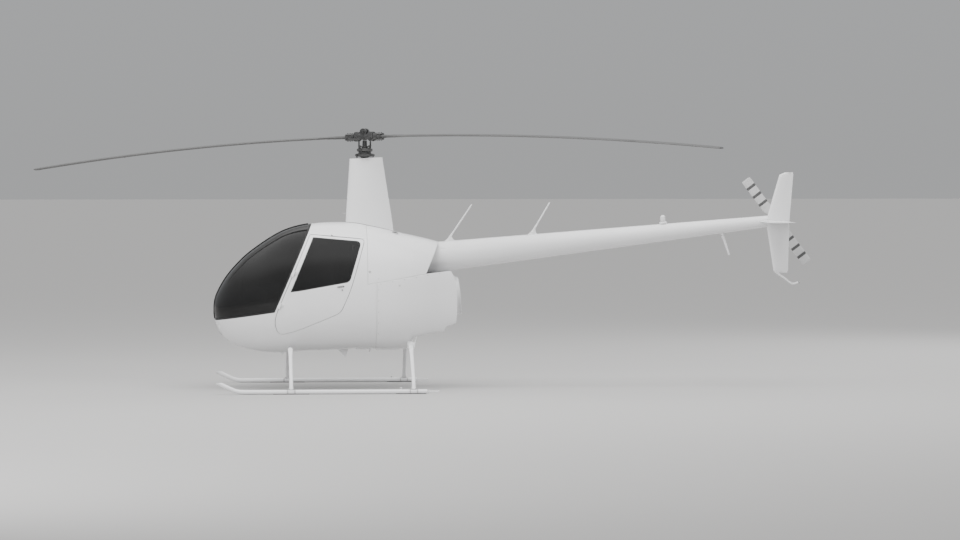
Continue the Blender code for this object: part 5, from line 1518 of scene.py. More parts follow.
def make_mast_fairing():
    shares = [0.0, 0.02, 0.12, 0.3, 0.5, 0.7, 0.88, 0.985, 1.0]
    outer = [fairing_ring(share) for share in shares]
    for point in outer[0]:
        point.z = on_top(point.x, point.y)[0].z + 0.0035
    for point, foot in zip(outer[1], outer[0]):
        point.z = foot.z + 0.01
    inner = [fairing_ring(share, 0.004) for share in shares]
    for k in (0, 1):
        for point, mate in zip(inner[k], outer[k]):
            point.z = mate.z
    bm = bmesh.new()
    lines = [[bm.verts.new(point) for point in ring] for ring in outer + inner[::-1]]
    for ring, following in zip(lines, lines[1:] + lines[:1]):
        skin(bm, ring, following)
    bmesh.ops.recalc_face_normals(bm, faces=bm.faces)
    pitot = lathe(PITOT_TURN, (-0.1875, 0.0, 1.779), (-1, 0, 0), 24, index=1)
    place("visual_mast_fairing", joined(bm, pitot), "airframe", ["white", "steel"], "white_paint",
          "mast_fairing", smooth=45.0)
    points, outs = [], []
    for share in (0.03, 0.95):
        ring = fairing_ring(share)
        level = spaced(ring + ring[:1], 0.03)
        if share < 0.1:
            for point in level:
                point.z = on_top(point.x, point.y)[0].z + 0.022
        for point in level:
            if abs(point.y) > 0.012:
                points.append(point)
                outs.append(Vector((0.0, math.copysign(1.0, point.y), 0.0)))
    for share in np.linspace(0.07, 0.92, 24):
        ring = fairing_ring(share)
        for i in (72, 16):
            points.append(ring[i])
            outs.append(Vector((0.0, math.copysign(1.0, ring[i].y), 0.0)))
    scatter("mast_fairing_rivets", RIVETS, points, outs)
    foot = [Vector((point.x, point.y * 0.985, on_top(point.x, point.y)[0].z + 0.0012))
            for point in fairing_ring(0.0, 0.003, 30)]
    place("mast_fairing_foot_seal", hose(foot, 0.0022, 8, closed=True), "airframe", "rubber",
          "cabin_trim")


make_tailcone()
make_fins()
make_boom_fittings()
make_tail_gearbox()
make_mast_fairing()


# Landing gear

SKID_Y = 0.965
SKID_R = 0.0215
SKID_Z = 0.024
SKID_REAR = 0.578
CROSS_TUBE_R = 0.022
CROSS_TUBE_Z = 0.4205
CROSS_HALF = 0.55
FRONT_LEG_X = -0.77
REAR_CROSS = (0.4425, 0.4425)
LEGS = (("front", FRONT_LEG_X, CROSS_TUBE_Z, -0.77), ("rear", *REAR_CROSS, 0.447))
# Wear shoes: front and rear x
SHOES = ((-0.95, -0.59), (0.27, 0.57))
SKID_NOSE = ((-1.235, 0.024), (-1.278, 0.0265), (-1.325, 0.0365), (-1.376, 0.058),
             (-1.415, 0.076), (-1.45, 0.0935), (-1.5, 0.1215), (-1.55, 0.151))


def skid_tube(y):
    """The skid's tube: straight, then swept up in front and cut off level."""
    path = smooth_path([(-1.2, y, SKID_Z)] + [(x, y, z) for x, z in SKID_NOSE], 0.012)
    path = [Vector((SKID_REAR, y, SKID_Z)), Vector((SKID_REAR - 0.002, y, SKID_Z)),
            Vector((0.0, y, SKID_Z)), Vector((-0.6, y, SKID_Z))] + path
    bm = hose(path, SKID_R, 28, up=(0, 1, 0))
    for point, normal in (((-1.511, 0.0, 0.0), (-1, 0, 0)), ((0.0, 0.0, 0.119), (0, 0, 1))):
        cut_off(bm, point, normal)
    return bm


SKID_CAP_TURN = [(0.0, -0.004), (0.019, -0.004), (0.0225, -0.001), (0.0225, 0.012), (0.0, 0.012)]
SKID_ROD_END_TURN = [(0.0, 0.0), (0.0075, 0.0), (0.0085, 0.003), (0.0075, 0.01), (0.0, 0.0125)]
SKID_KNOB_TURN = [(0.0, 0.0), (0.011, 0.0), (0.011, 0.022), (0.0075, 0.025), (0.0075, 0.03),
                  (0.0115, 0.032), (0.0115, 0.038), (0.0095, 0.04), (0.0, 0.04)]


def make_skids():
    for name, side in SIDES:
        y = side * SKID_Y
        shapes = [skid_tube(y)]
        shapes.append(lathe(SKID_CAP_TURN, (SKID_REAR - 0.01, y, SKID_Z), (1, 0, 0), 28))
        shapes.append(round_bar((SKID_REAR - 0.02, y, SKID_Z), (0.69, y, SKID_Z), 0.0065, 16))
        shapes.append(lathe(SKID_ROD_END_TURN, (0.6885, y, SKID_Z), (1, 0, 0), 20))
        shapes.append(lathe(SKID_KNOB_TURN, (0.32, y, SKID_Z), (0, 0, 1), 24))
        wear = []
        for front, rear in SHOES:
            outline = rounded(rectangle(front, -0.014, rear, 0.014), 0.006, 3)
            plate = tinted(flat_slab(outline, 0.0, 0.0065, 0.0012), 1)
            wear.append(moved(plate, Matrix.Translation((0, y, 0))))
        place(f"visual_skid_{name}", joined(*shapes, *wear), "airframe",
              ["white", "dark_steel"], "white_paint", f"skid_{name}")
        points, outs = [], []
        for front, rear in SHOES:
            for x in np.linspace(front + 0.025, rear - 0.025, 4):
                for turn in (math.radians(-38), math.radians(218)):
                    out = Vector((0, math.cos(turn), math.sin(turn)))
                    points.append(Vector((x, y, SKID_Z)) + out * SKID_R)
                    outs.append(out)
        scatter(f"skid_shoe_rivets_{name}", RIVETS, points, outs, Radius=0.0032, Height=0.0014)
        make_skid_bands(name, y)


def make_skid_bands(name, y):
    """Clamp bands where the legs' feet hold the skid, each with its bolts."""
    shapes, points, outs = [], [], []
    for _, _, _, foot_x in LEGS:
        for reach in (-0.036, 0.036):
            x = foot_x + reach
            shapes.append(lathe(tube(SKID_R - 0.0006, SKID_R + 0.0016, -0.006, 0.006),
                                (x, y, SKID_Z), (1, 0, 0), 32, closed=True))
        for reach in (-0.0185, 0.0185):
            for sign in (-1, 1):
                points.append((foot_x + reach, y + sign * 0.0115, SKID_Z + SKID_R + 0.0048))
                outs.append((0.0, sign * 0.35, 1.0))
    place(f"skid_clamp_bands_{name}", joined(*shapes), "airframe", "steel", "bare_metal")
    scatter(f"skid_foot_bolts_{name}", BOLTS, points, outs, finish="steel", slot="bare_metal",
            Radius=0.0045, Height=0.0042)


# Share of the way down, half width and half thickness
LEG_SHANK = ((0.0, 0.022, 0.02), (0.04, 0.0208, 0.016), (0.1, 0.0195, 0.0135),
             (0.5, 0.0184, 0.0125), (0.9, 0.0184, 0.013), (1.0, 0.0188, 0.014))


def leg_rings(side, top_x, top_z, foot_x):
    """Sections of a splayed leg: elbow at the cross tube, streamlined shank, spreading foot."""
    foot_z = SKID_Z + SKID_R + 0.0003
    y_foot = side * SKID_Y
    y_top = side * (CROSS_HALF + 0.0003)
    sections = [((top_x, y_top, top_z), 0.0222, (0.0, 0.0, 0.022)),
                ((top_x, y_top + side * 0.012, top_z - 0.004), 0.0224, (0.0, 0.0035, 0.0222)),
                ((top_x, y_top + side * 0.03, top_z - 0.018), 0.0226, (0.0, 0.011, 0.0195))]
    start = Vector((top_x, y_top + side * 0.05, top_z - 0.038))
    end = Vector((foot_x, y_foot - side * 0.034, foot_z + 0.075))
    along = (end - start).normalized()
    across = Vector((0.0, along.z, -along.y)) * (-side)
    if across.z < 0:
        across = -across
    for share, wide, thick in LEG_SHANK:
        sections.append((start.lerp(end, share), wide, across * thick))
    sections += [
        ((foot_x, y_foot - side * 0.02, foot_z + 0.04), 0.0194, (0.0, side * 0.0155, 0.0085)),
        ((foot_x, y_foot - side * 0.009, foot_z + 0.02), 0.0206, (0.0, side * 0.0165, 0.0045)),
        ((foot_x, y_foot - side * 0.003, foot_z + 0.009), 0.0232, (0.0, side * 0.0165, 0.0015)),
        ((foot_x, y_foot, foot_z + 0.005), 0.027, (0.0, side * 0.016, 0.0)),
        ((foot_x, y_foot, foot_z), 0.0275, (0.0, side * 0.0155, 0.0)),
    ]
    rings = []
    for centre, wide, across in sections:
        centre, across = Vector(centre), Vector(across)
        if across.y * side < 0:
            across = -across
        rings.append([centre + Vector((wide, 0, 0)) * math.cos(turn) + across * math.sin(turn)
                      for turn in turns(32)])
    return rings


LEG_COLLAR_TURN = [(0.0222, 0.0), (0.0246, 0.0), (0.025, 0.002), (0.025, 0.026), (0.0246, 0.028),
                   (0.0222, 0.028)]


def make_legs():
    points, outs = [], []
    for where, x, z, foot_x in LEGS:
        cross = round_bar((x, -CROSS_HALF, z), (x, CROSS_HALF, z), CROSS_TUBE_R, 36)
        place(f"visual_cross_tube_{where}", cross, *WHITE, f"cross_tube_{where}")
        for name, side in SIDES:
            place(f"visual_leg_{where}_{name}", lofted(leg_rings(side, x, z, foot_x)),
                  *WHITE, f"leg_{where}_{name}", smooth=50.0)
            collar = lathe(LEG_COLLAR_TURN,
                           (x, side * (CROSS_HALF - 0.028), z), (0, side, 0), 36, closed=True)
            place(f"leg_collar_{where}_{name}", collar, *WHITE)
            for turn in (0.5, 2.64):
                points.append((x + 0.0252 * math.cos(turn), side * (CROSS_HALF - 0.014),
                               z + 0.0252 * math.sin(turn)))
                outs.append((math.cos(turn), 0.0, math.sin(turn)))
    scatter("leg_collar_bolts", BOLTS, points, outs, finish="steel", slot="bare_metal",
            Radius=0.0042, Height=0.004)
    for name, side in SIDES:
        x, z = REAR_CROSS
        plate = rounded([(x - 0.026, z - 0.024), (x + 0.03, z - 0.024), (x + 0.054, z - 0.01),
                         (x + 0.054, z + 0.018), (x + 0.016, z + 0.05), (x - 0.026, z + 0.05)],
                        0.01, 4)
        shapes = [slab(plate, side * 0.3 - 0.006, side * 0.3 + 0.006, 0.0015),
                  lathe(tube(0.0222, 0.027, -0.022, 0.022),
                        (x, side * 0.3, z), (0, 1, 0), 36, closed=True)]
        for top in ((0.44, 0.56), (0.53, 0.6)):
            start = Vector((0.486, side * 0.3, 0.442))
            end = Vector((top[0], side * 0.286, top[1]))
            shapes.append(round_bar(start, end, 0.0068, 16))
            shapes.append(hex_bolt(start.lerp(end, 0.06) - Vector((0, side * 0.008, 0)),
                                   (0, -side, 0), 0.008, 0.005, index=1))
        place(f"rear_gear_struts_{name}", joined(*shapes), "airframe", ["white", "steel"],
              "white_paint")
        shoulder = rounded([(x - 0.027, z - 0.022), (x + 0.036, z - 0.022), (x + 0.036, z + 0.046),
                            (x - 0.016, z + 0.046), (x - 0.027, z + 0.034)], 0.007, 3)
        low, high = sorted((side * (CROSS_HALF - 0.03), side * (CROSS_HALF - 0.004)))
        place(f"rear_gear_shoulder_{name}", slab(shoulder, low, high, 0.003), *WHITE)


# Fittings under the belly

# Access boxes: front and rear x, half width, drop below the keel
BELLY_BOXES = ((-0.09, 0.022, 0.06, 0.006), (0.113, 0.33, 0.085, 0.0045))


def belly_z(x):
    """The keel's height."""
    spot, _, _, _ = BODY_TREE.ray_cast(Vector((x, 0.0, 0.0)), Vector((0, 0, 1)))
    return spot.z


def flat_slab(outline, low, high, edge):
    """A slab whose outline lies level."""
    bm = slab(outline, low, high, edge, 2)
    bm.transform(Matrix.Rotation(math.radians(90.0), 4, "X"))
    return bm


# Drop under the keel, front and rear x, half thickness
BELLY_AERIAL = ((-0.004, -0.282, -0.172, 0.004), (0.02, -0.262, -0.176, 0.0038),
                (0.045, -0.238, -0.182, 0.0034), (0.068, -0.216, -0.188, 0.0028),
                (0.0765, -0.207, -0.193, 0.0018))
BELLY_DRAIN_TURN = [(0.0, 0.0), (0.016, 0.0), (0.016, 0.006), (0.009, 0.009), (0.0, 0.009)]
BELLY_STUB_TURN = [(0.0, 0.0), (0.013, 0.0), (0.013, 0.004), (0.0085, 0.005), (0.007, 0.016),
                   (0.0, 0.018)]


def make_belly():
    """The fin aerial, two low access boxes, a drain and a stub aerial."""
    rings = []
    for drop, front, rear, thick in BELLY_AERIAL:
        z = belly_z(-0.24) - drop
        middle, half = (front + rear) / 2, (rear - front) / 2
        rings.append([(middle - half * math.cos(turn), thick * math.sin(turn), z)
                      for turn in turns(24)])
    foot = rounded(rectangle(-0.306, -0.018, -0.17, 0.018), 0.016)
    place("visual_aerial_belly", lofted(rings), *WHITE, "aerial_belly")
    shapes = [flat_slab(foot, belly_z(-0.24) - 0.004, belly_z(-0.24) + 0.003, 0.001)]
    points, outs = [], []
    for front, rear, half, drop in BELLY_BOXES:
        low = min(belly_z(front), belly_z(rear)) - drop
        outline = rounded(rectangle(front, -half, rear, half), 0.012, 4)
        shapes.append(flat_slab(outline, low, low + 0.02, 0.003))
        for x in np.linspace(front + 0.012, rear - 0.012, max(3, int((rear - front) / 0.04))):
            for sign in (-1, 1):
                points.append((x, sign * (half - 0.01), low + 0.0002))
                outs.append((0, 0, -1))
    shapes.append(round_bar((0.05, 0.0, belly_z(0.05) + 0.01), (0.05, 0.0, 0.368), 0.0055, 16))
    shapes.append(lathe(BELLY_DRAIN_TURN, (0.05, 0.0, belly_z(0.05) + 0.001), (0, 0, -1), 28))
    shapes.append(lathe(BELLY_STUB_TURN, (-0.84, 0.0, belly_z(-0.84) + 0.001), (0, 0, -1), 28))
    place("belly_fittings", joined(*shapes), *WHITE)
    scatter("belly_rivets", RIVETS, points, outs)


make_skids()
make_legs()
make_belly()


# Main rotor

MAST_R = 0.024
GEARBOX_TOP = 1.6
FIXED_RING_TOP = 2.405
BOLT_UP = 0.051
CONE_BOLT_X = 0.081
CONE_BOLT_Z = -0.02
GRIP_START = 0.106
GRIP_END = 0.206
HORN_REACH = 0.108
HORN_X = 0.014
HORN_Z = (-0.03, -0.012)


def droop(r):
    return ROTOR_DROOP * (max(0.0, r - 0.2) / (ROTOR_RADIUS - 0.2)) ** 1.9


def blade_section(r, half_chord, thick, lead, count=14):
    """A blade section at a radius; the leading edge is towards +Y."""
    ring = []
    for turn in turns(2 * count):
        share = (1 - math.cos(turn)) / 2
        lift = wing_lift(share, thick, 0.102)
        lift = max(lift, 0.0007) * (1 if turn < math.pi else -1)
        ring.append((r, lead + half_chord - 2 * half_chord * share, lift - droop(r)))
    return ring


def root_section(r, half_chord, half_thick, corner, lead=0.0, count=14):
    """A rounded box section with as many points as a blade section, starting at its front."""
    ring = []
    for turn in turns(2 * count):
        ring.append((r, lead + half_chord * float(signed_power(math.cos(turn), corner)),
                     half_thick * float(signed_power(math.sin(turn), corner)) - droop(r)))
    return ring


def blade_stations():
    half = ROTOR_CHORD / 2
    rings = [root_section(GRIP_END - 0.004, 0.034, 0.016, 0.5),
             root_section(GRIP_END + 0.012, 0.036, 0.015, 0.5),
             root_section(0.24, 0.04, 0.0135, 0.6, -0.001)]
    blend = ((0.28, 0.047, 0.027, -0.004), (0.33, 0.06, 0.0262, -0.009),
             (0.39, 0.076, 0.0256, -0.015), (0.45, 0.088, 0.0252, -0.0205),
             (0.49, half, 0.025, -0.022))
    rings += [blade_section(r, chord, thick, lead) for r, chord, thick, lead in blend]
    rings += [blade_section(r, half, 0.025, -0.022) for r in np.linspace(0.58, 3.74, 34)]
    rings += [blade_section(r, chord, thick, lead) for r, chord, thick, lead in (
        (3.79, half, 0.0245, -0.022), (3.812, half - 0.0008, 0.0232, -0.0224),
        (3.824, half - 0.003, 0.0205, -0.0235), (3.8315, half - 0.007, 0.016, -0.0255),
        (3.835, half - 0.0125, 0.01, -0.0285))]
    return rings


# Radius, half chord, half thickness and squareness
GRIP_SECTIONS = ((GRIP_START + 0.0006, 0.034, 0.03, 0.55),
                 (GRIP_START + 0.003, 0.04, 0.0355, 0.5), (0.13, 0.042, 0.0365, 0.45),
                 (0.14, 0.041, 0.036, 0.45), (0.143, 0.036, 0.03, 0.45),
                 (0.146, 0.035, 0.016, 0.45), (GRIP_END - 0.004, 0.034, 0.015, 0.45))
HORN_OUTLINE = [(GRIP_START + 0.004, -0.01), (GRIP_START + 0.036, -0.01),
                (GRIP_START + 0.034, HORN_REACH + 0.012), (HORN_X - 0.013, HORN_REACH + 0.012),
                (HORN_X - 0.013, HORN_REACH - 0.014), (GRIP_START + 0.004, HORN_REACH - 0.03)]
SWAP_Y_AND_Z = ((1, 0, 0, 0), (0, 0, 1, 0), (0, 1, 0, 0), (0, 0, 0, 1))


def make_blade(letter, turn):
    at = TEETER @ Matrix.Rotation(turn, 4, "Z")
    bm = lofted(blade_stations())
    for face in bm.faces:
        centre = face.calc_center_median()
        if centre.x > 0.52 and centre.y > ROTOR_CHORD / 2 - 0.022 - 0.0135:
            face.material_index = 1
    tab = block((2.82, -ROTOR_CHORD / 2 - 0.0222 - 0.012, -droop(2.9) - 0.0007),
                (2.98, -ROTOR_CHORD / 2 - 0.0222 + 0.006, -droop(2.9) + 0.0007), 0.0004, 1)
    tree = BVHTree.FromBMesh(bm)

    def on_blade(x, y, sign, out=0.0):
        spot, normal, _, _ = tree.ray_cast(Vector((x, y, sign * 0.3)), Vector((0, 0, -sign)))
        return spot + Vector((0.0, 0.0, sign * out)), normal

    points, outs, doublers = [], [], []
    for sign in (-1, 1):
        for reach, wide, out in ((0.42, 0.04, 0.001), (0.345, 0.028, 0.0022)):
            rows = []
            for x in np.linspace(GRIP_END + 0.006, reach, 22):
                share = (x - GRIP_END) / (reach - GRIP_END)
                half = wide * (0.62 + 0.38 * min(1.0, share * 2.2)) * math.sqrt(
                    max(0.04, 1.0 - max(0.0, share - 0.85) ** 2 / 0.0225))
                middle = -0.012 * share
                rows.append([on_blade(x, middle + half * along, sign, out)[0]
                             for along in np.linspace(-1.0, 1.0, 9)])
            rings = [row + [point - Vector((0, 0, sign * (out + 0.0012))) for point in row[::-1]]
                     for row in rows]
            doublers.append(lofted(rings))
        for x in np.linspace(0.238, 0.402, 9):
            for y in (0.017, -0.031) if x > 0.3 else (0.017, -0.019):
                spot, normal = on_blade(x, y, sign, 0.0009)
                points.append(spot)
                outs.append(normal)
    place(f"visual_rotor_blade_{letter}", joined(bm, tab, *doublers), "main_rotor",
          ["blade", "edge"], "blade_grey", f"rotor_blade_{letter}", at=at, smooth=40.0)
    scatter(f"blade_root_rivets_{letter}", RIVETS, points, outs, "main_rotor", finish="blade",
            slot="blade_grey", at=at, Radius=0.0026, Height=0.0014)
    grip_rings = [root_section(*section) for section in GRIP_SECTIONS]
    rib = [root_section(r, 0.044, 0.004, 0.3) for r in (0.11, 0.2)]
    fork = []
    for sign in (-1, 1):
        barrel = round_bar((0.138, 0.0, sign * 0.0235), (GRIP_END, 0.0, sign * 0.0235), 0.0125, 28,
                           edge=0.0015)
        for vert in barrel.verts:
            vert.co.y *= 2.7
        fork.append(barrel)
    low, high = HORN_Z
    horn = slab(rounded(HORN_OUTLINE, 0.01, 4), low, high, 0.002)
    horn.transform(Matrix(SWAP_Y_AND_Z))
    bmesh.ops.recalc_face_normals(horn, faces=horn.faces)
    collar = lathe([(0.0, high - 0.001), (0.0115, high - 0.001), (0.0115, high + 0.006),
                    (0.0085, high + 0.009), (0.0, high + 0.009)], (HORN_X, HORN_REACH, 0.0),
                   (0, 0, 1), 24, index=1)
    bolts = [hex_bolt((0.128, y, sign * 0.0345), (0, 0, sign), 0.011, 0.0065, index=1)
             for y in (-0.024, 0.024) for sign in (1, -1)]
    bolts += [hex_bolt((x, 0.0, sign * 0.0355), (0, 0, sign), 0.012, 0.007, index=1)
              for x in (0.162, 0.188) for sign in (1, -1)]
    place(f"blade_grip_{letter}",
          joined(lofted(grip_rings), lofted(rib), horn, collar, *fork, *bolts),
          "main_rotor", ["charcoal", "dark_steel"], "charcoal_metal", at=at)


HUB_CHEEK_UPPER = [(0.105, -0.034, 0.01), (0.105, 0.05, 0.014), (0.056, 0.056, 0.014),
                   (0.046, 0.03, 0.008)]
HUB_CHEEK_LOWER = [(-0.06, -0.034, 0.01), (-0.036, -0.021, 0.016), (0.036, -0.021, 0.016),
                   (0.06, -0.034, 0.01)]
HUB_BRIDGE_OUTLINE = [(-0.105, -0.026), (-0.058, -0.026), (-0.058, 0.03), (-0.105, 0.024)]
HUB_TRUNNION_TURN = [(0.0, -0.0335), (0.0205, -0.0335), (0.0225, -0.03), (0.0225, 0.07),
                     (0.019, 0.077), (0.012, 0.079), (0.0, 0.079)]
# Profile of each disc on the centre bolt, and its material index
HUB_CENTRE_TURNS = (([(0.0, -0.0205), (0.035, -0.0205), (0.0365, -0.0185), (0.0365, 0.001),
                      (0.0345, 0.003), (0.029, 0.003), (0.027, 0.0012), (0.0, 0.0012)], 0),
                    ([(0.0, 0.0), (0.0235, 0.0), (0.0235, 0.003), (0.0225, 0.0045),
                      (0.0, 0.0045)], 0),
                    ([(0.0, 0.0045), (0.019, 0.0045), (0.019, 0.0085), (0.0175, 0.01),
                      (0.0, 0.01)], 1),
                    ([(0.0, 0.0095), (0.013, 0.0095), (0.013, 0.0165), (0.0115, 0.018),
                      (0.0, 0.018)], 1))
CONE_BOSS_TURN = [(0.0, -0.0205), (0.024, -0.0205), (0.0255, -0.019), (0.0255, 0.003),
                  (0.0235, 0.005), (0.0, 0.005)]
TEETER_STOP_OUTLINE = [(-0.016, -0.0345), (0.016, -0.0345), (0.012, -0.022), (-0.012, -0.022)]
ROTOR_MAST_TURN = [(0.0, GEARBOX_TOP + 0.0006), (MAST_R, GEARBOX_TOP + 0.0006), (MAST_R, 2.444),
                   (0.0262, 2.446), (0.0262, 2.456), (MAST_R, 2.458), (MAST_R, 2.486),
                   (0.0225, 2.49), (0.0225, 2.5145), (0.019, 2.5185), (0.0, 2.5185)]


def make_hub():
    """The teetering hub: a forged bar between two cheeks, its bolts, and the cap on the mast."""
    outline = rounded([(-x, z, r) for x, z, r in HUB_CHEEK_UPPER] + HUB_CHEEK_UPPER[::-1]
                      + HUB_CHEEK_LOWER[::-1], 0.01, 5)
    shapes = [slab(outline, -0.04, -0.02, 0.003), slab(outline, 0.02, 0.04, 0.003)]
    bridge = rounded(HUB_BRIDGE_OUTLINE, 0.005, 3)
    shapes.append(slab(bridge, -0.022, 0.022, 0.001))
    shapes.append(slab([(-x, z) for x, z in bridge], -0.022, 0.022, 0.001))
    trunnion = lathe(HUB_TRUNNION_TURN, sides=36)
    shapes.append(trunnion)
    shapes.append(round_bar((0, -0.052, BOLT_UP), (0, 0.052, BOLT_UP), 0.0135, 32, index=1))
    for sign in (-1, 1):
        for profile, tint in HUB_CENTRE_TURNS:
            sides = 6 if profile[0][1] > 0.009 else 36
            shapes.append(lathe(profile, (0, sign * 0.04, BOLT_UP), (0, sign, 0), sides,
                                index=tint))
        for x in (-CONE_BOLT_X, CONE_BOLT_X):
            shapes.append(lathe(CONE_BOSS_TURN, (x, sign * 0.04, CONE_BOLT_Z), (0, sign, 0), 40))
            shapes.append(lathe(disc(0.015, 0.005, 0.0075), (x, sign * 0.04, CONE_BOLT_Z),
                                (0, sign, 0), 28, index=1))
            shapes.append(hex_bolt((x, sign * 0.047, CONE_BOLT_Z), (0, sign, 0), 0.019, 0.0105,
                                   washer=False, index=1))
    for x in (-CONE_BOLT_X, CONE_BOLT_X):
        shapes.append(round_bar((x, -0.041, CONE_BOLT_Z), (x, 0.041, CONE_BOLT_Z), 0.01, 24,
                                index=1))
        stop = slab(rounded(TEETER_STOP_OUTLINE, 0.004, 2), -0.018, 0.018, 0.0015)
        shapes.append(moved(stop, Matrix.Translation((x, 0.0, 0.0))))
    place("visual_rotor_hub", joined(*shapes), "main_rotor", ["charcoal", "dark_steel"],
          "charcoal_metal", "rotor_hub", at=TEETER)
    mast = lathe(ROTOR_MAST_TURN, sides=40)
    place("visual_rotor_mast", mast, "main_rotor", "dark_steel", "charcoal_metal", "rotor_mast")


FIXED_SLEEVE_TURN = [(0.037, 1.64), (0.037, GEARBOX_TOP + 0.0004), (0.03, GEARBOX_TOP + 0.0004),
                     (0.03, FIXED_RING_TOP), (0.06, FIXED_RING_TOP), (0.064, 2.403),
                     (0.0655, 2.389), (0.09, 2.384), (0.092, 2.382), (0.092, 2.36), (0.09, 2.358),
                     (0.052, 2.354), (0.039, 2.35), (0.037, 2.342)]
ARM_ROOT_SECTION = ((-0.019, -0.009), (0.019, -0.009), (0.019, 0.009), (-0.019, 0.009))
ARM_TIP_SECTION = ((-0.011, -0.007), (0.011, -0.007), (0.011, 0.007), (-0.011, 0.007))
DRIVE_COLLAR_TURN = [(MAST_R + 0.0004, 2.444), (0.033, 2.444), (0.034, 2.446),
                     (0.034, 2.458), (0.033, 2.46), (MAST_R + 0.0004, 2.46)]


def make_swashplates():
    shapes = [lathe(FIXED_SLEEVE_TURN, sides=56, closed=True)]
    for turn in (0.15, 2.75, 3.55):
        spot = Vector((0.088 * math.cos(turn), 0.088 * math.sin(turn), 2.371))
        shapes.append(block((-0.016, -0.01, -0.0085), (0.014, 0.01, 0.0085), 0.002))
        shapes[-1].transform(Matrix.Translation(spot) @ Matrix.Rotation(turn, 4, "Z"))
        head = spot + Vector((0.004 * math.cos(turn), 0.004 * math.sin(turn), -0.0085))
        shapes.append(hex_bolt(head, (0, 0, -1), 0.009, 0.006, index=1))
        shapes.append(round_bar(spot + Vector((0.0, 0.0, -0.014)),
                                (0.044 * math.cos(turn), 0.044 * math.sin(turn), 2.2),
                                0.0052, 14, index=1))
    boot = [(0.038, 2.341), (0.048, 2.34)]
    for i in range(9):
        boot.append((0.0495 if i % 2 == 0 else 0.043, 2.334 - i * 0.006))
    boot += [(0.04, 2.279), (0.038, 2.279)]
    shapes.append(lathe(boot, sides=40, closed=True, index=2))
    place("visual_swashplate_fixed", joined(*shapes), "airframe",
          ["charcoal", "dark_steel", "rubber"], "charcoal_metal", "swashplate_fixed")
    low = FIXED_RING_TOP + 0.0005
    ring = [(MAST_R + 0.001, low), (0.07, low), (0.078, 2.41), (0.0805, 2.414), (0.0805, 2.433),
            (0.079, 2.435), (0.062, 2.4375), (0.06, 2.442), (MAST_R + 0.001, 2.442)]
    shapes = [lathe(ring, sides=56, closed=True)]
    shapes.append(lathe(tube(0.064, 0.07, 2.4362, 2.4378), sides=48, closed=True, index=1))
    for side in (1, -1):
        x, y = side * HORN_X, side * HORN_REACH
        top = ROTOR_Z + HORN_Z[0] + side * HORN_X * math.sin(ROTOR_TEETER) - 0.0012
        root = [(side * 0.008 + across, side * 0.066, 2.424 + up)
                for across, up in ARM_ROOT_SECTION]
        tip = [(x + across, y, 2.424 + up) for across, up in ARM_TIP_SECTION]
        shapes.append(lofted([root, tip]))
        shapes.append(lathe(disc(0.0115, -0.008, 0.008), (x, y, 2.424), (0, 0, 1), 24))
        shapes.append(hex_bolt((x, y, 2.416), (0, 0, -1), 0.009, 0.006, index=1))
        shapes.append(round_bar((x, y, 2.43), (x, y, top), 0.0062, 18, index=1))
        shapes.append(round_bar((x, y, 2.448), (x, y, top - 0.022), 0.0085, 20, index=0))
        for z in (2.436, top - 0.01):
            shapes.append(lathe(disc(0.0098, 0.0, 0.006), (x, y, z), (0, 0, 1), 6, index=1))
    for side in (1, -1):
        low_pin = Vector((side * -0.06, side * 0.03, 2.436))
        knee = Vector((side * -0.074, side * 0.036, 2.466))
        top_pin = Vector((side * -0.026, side * 0.014, 2.452))
        shapes.append(hose([low_pin, knee], 0.0062, 12))
        shapes.append(hose([knee, top_pin], 0.0055, 12))
        for pin in (low_pin, knee):
            shapes.append(round_bar(pin - Vector((0.008, 0.016, 0)),
                                    pin + Vector((0.008, 0.016, 0)), 0.0045, 14, index=1))
    shapes.append(lathe(DRIVE_COLLAR_TURN, sides=36, closed=True))
    place("visual_swashplate_turning", joined(*shapes), "main_rotor",
          ["charcoal", "dark_steel"], "charcoal_metal", "swashplate_turning", at=MAST)


# Tail rotor

# Radius, half width and half thickness
TAIL_BLADE_ROOT = ((0.0378, 0.0195, 0.01), (0.042, 0.0215, 0.0108), (0.06, 0.022, 0.0104),
                   (0.086, 0.024, 0.0098), (0.096, 0.0225, 0.008), (0.103, 0.018, 0.006))


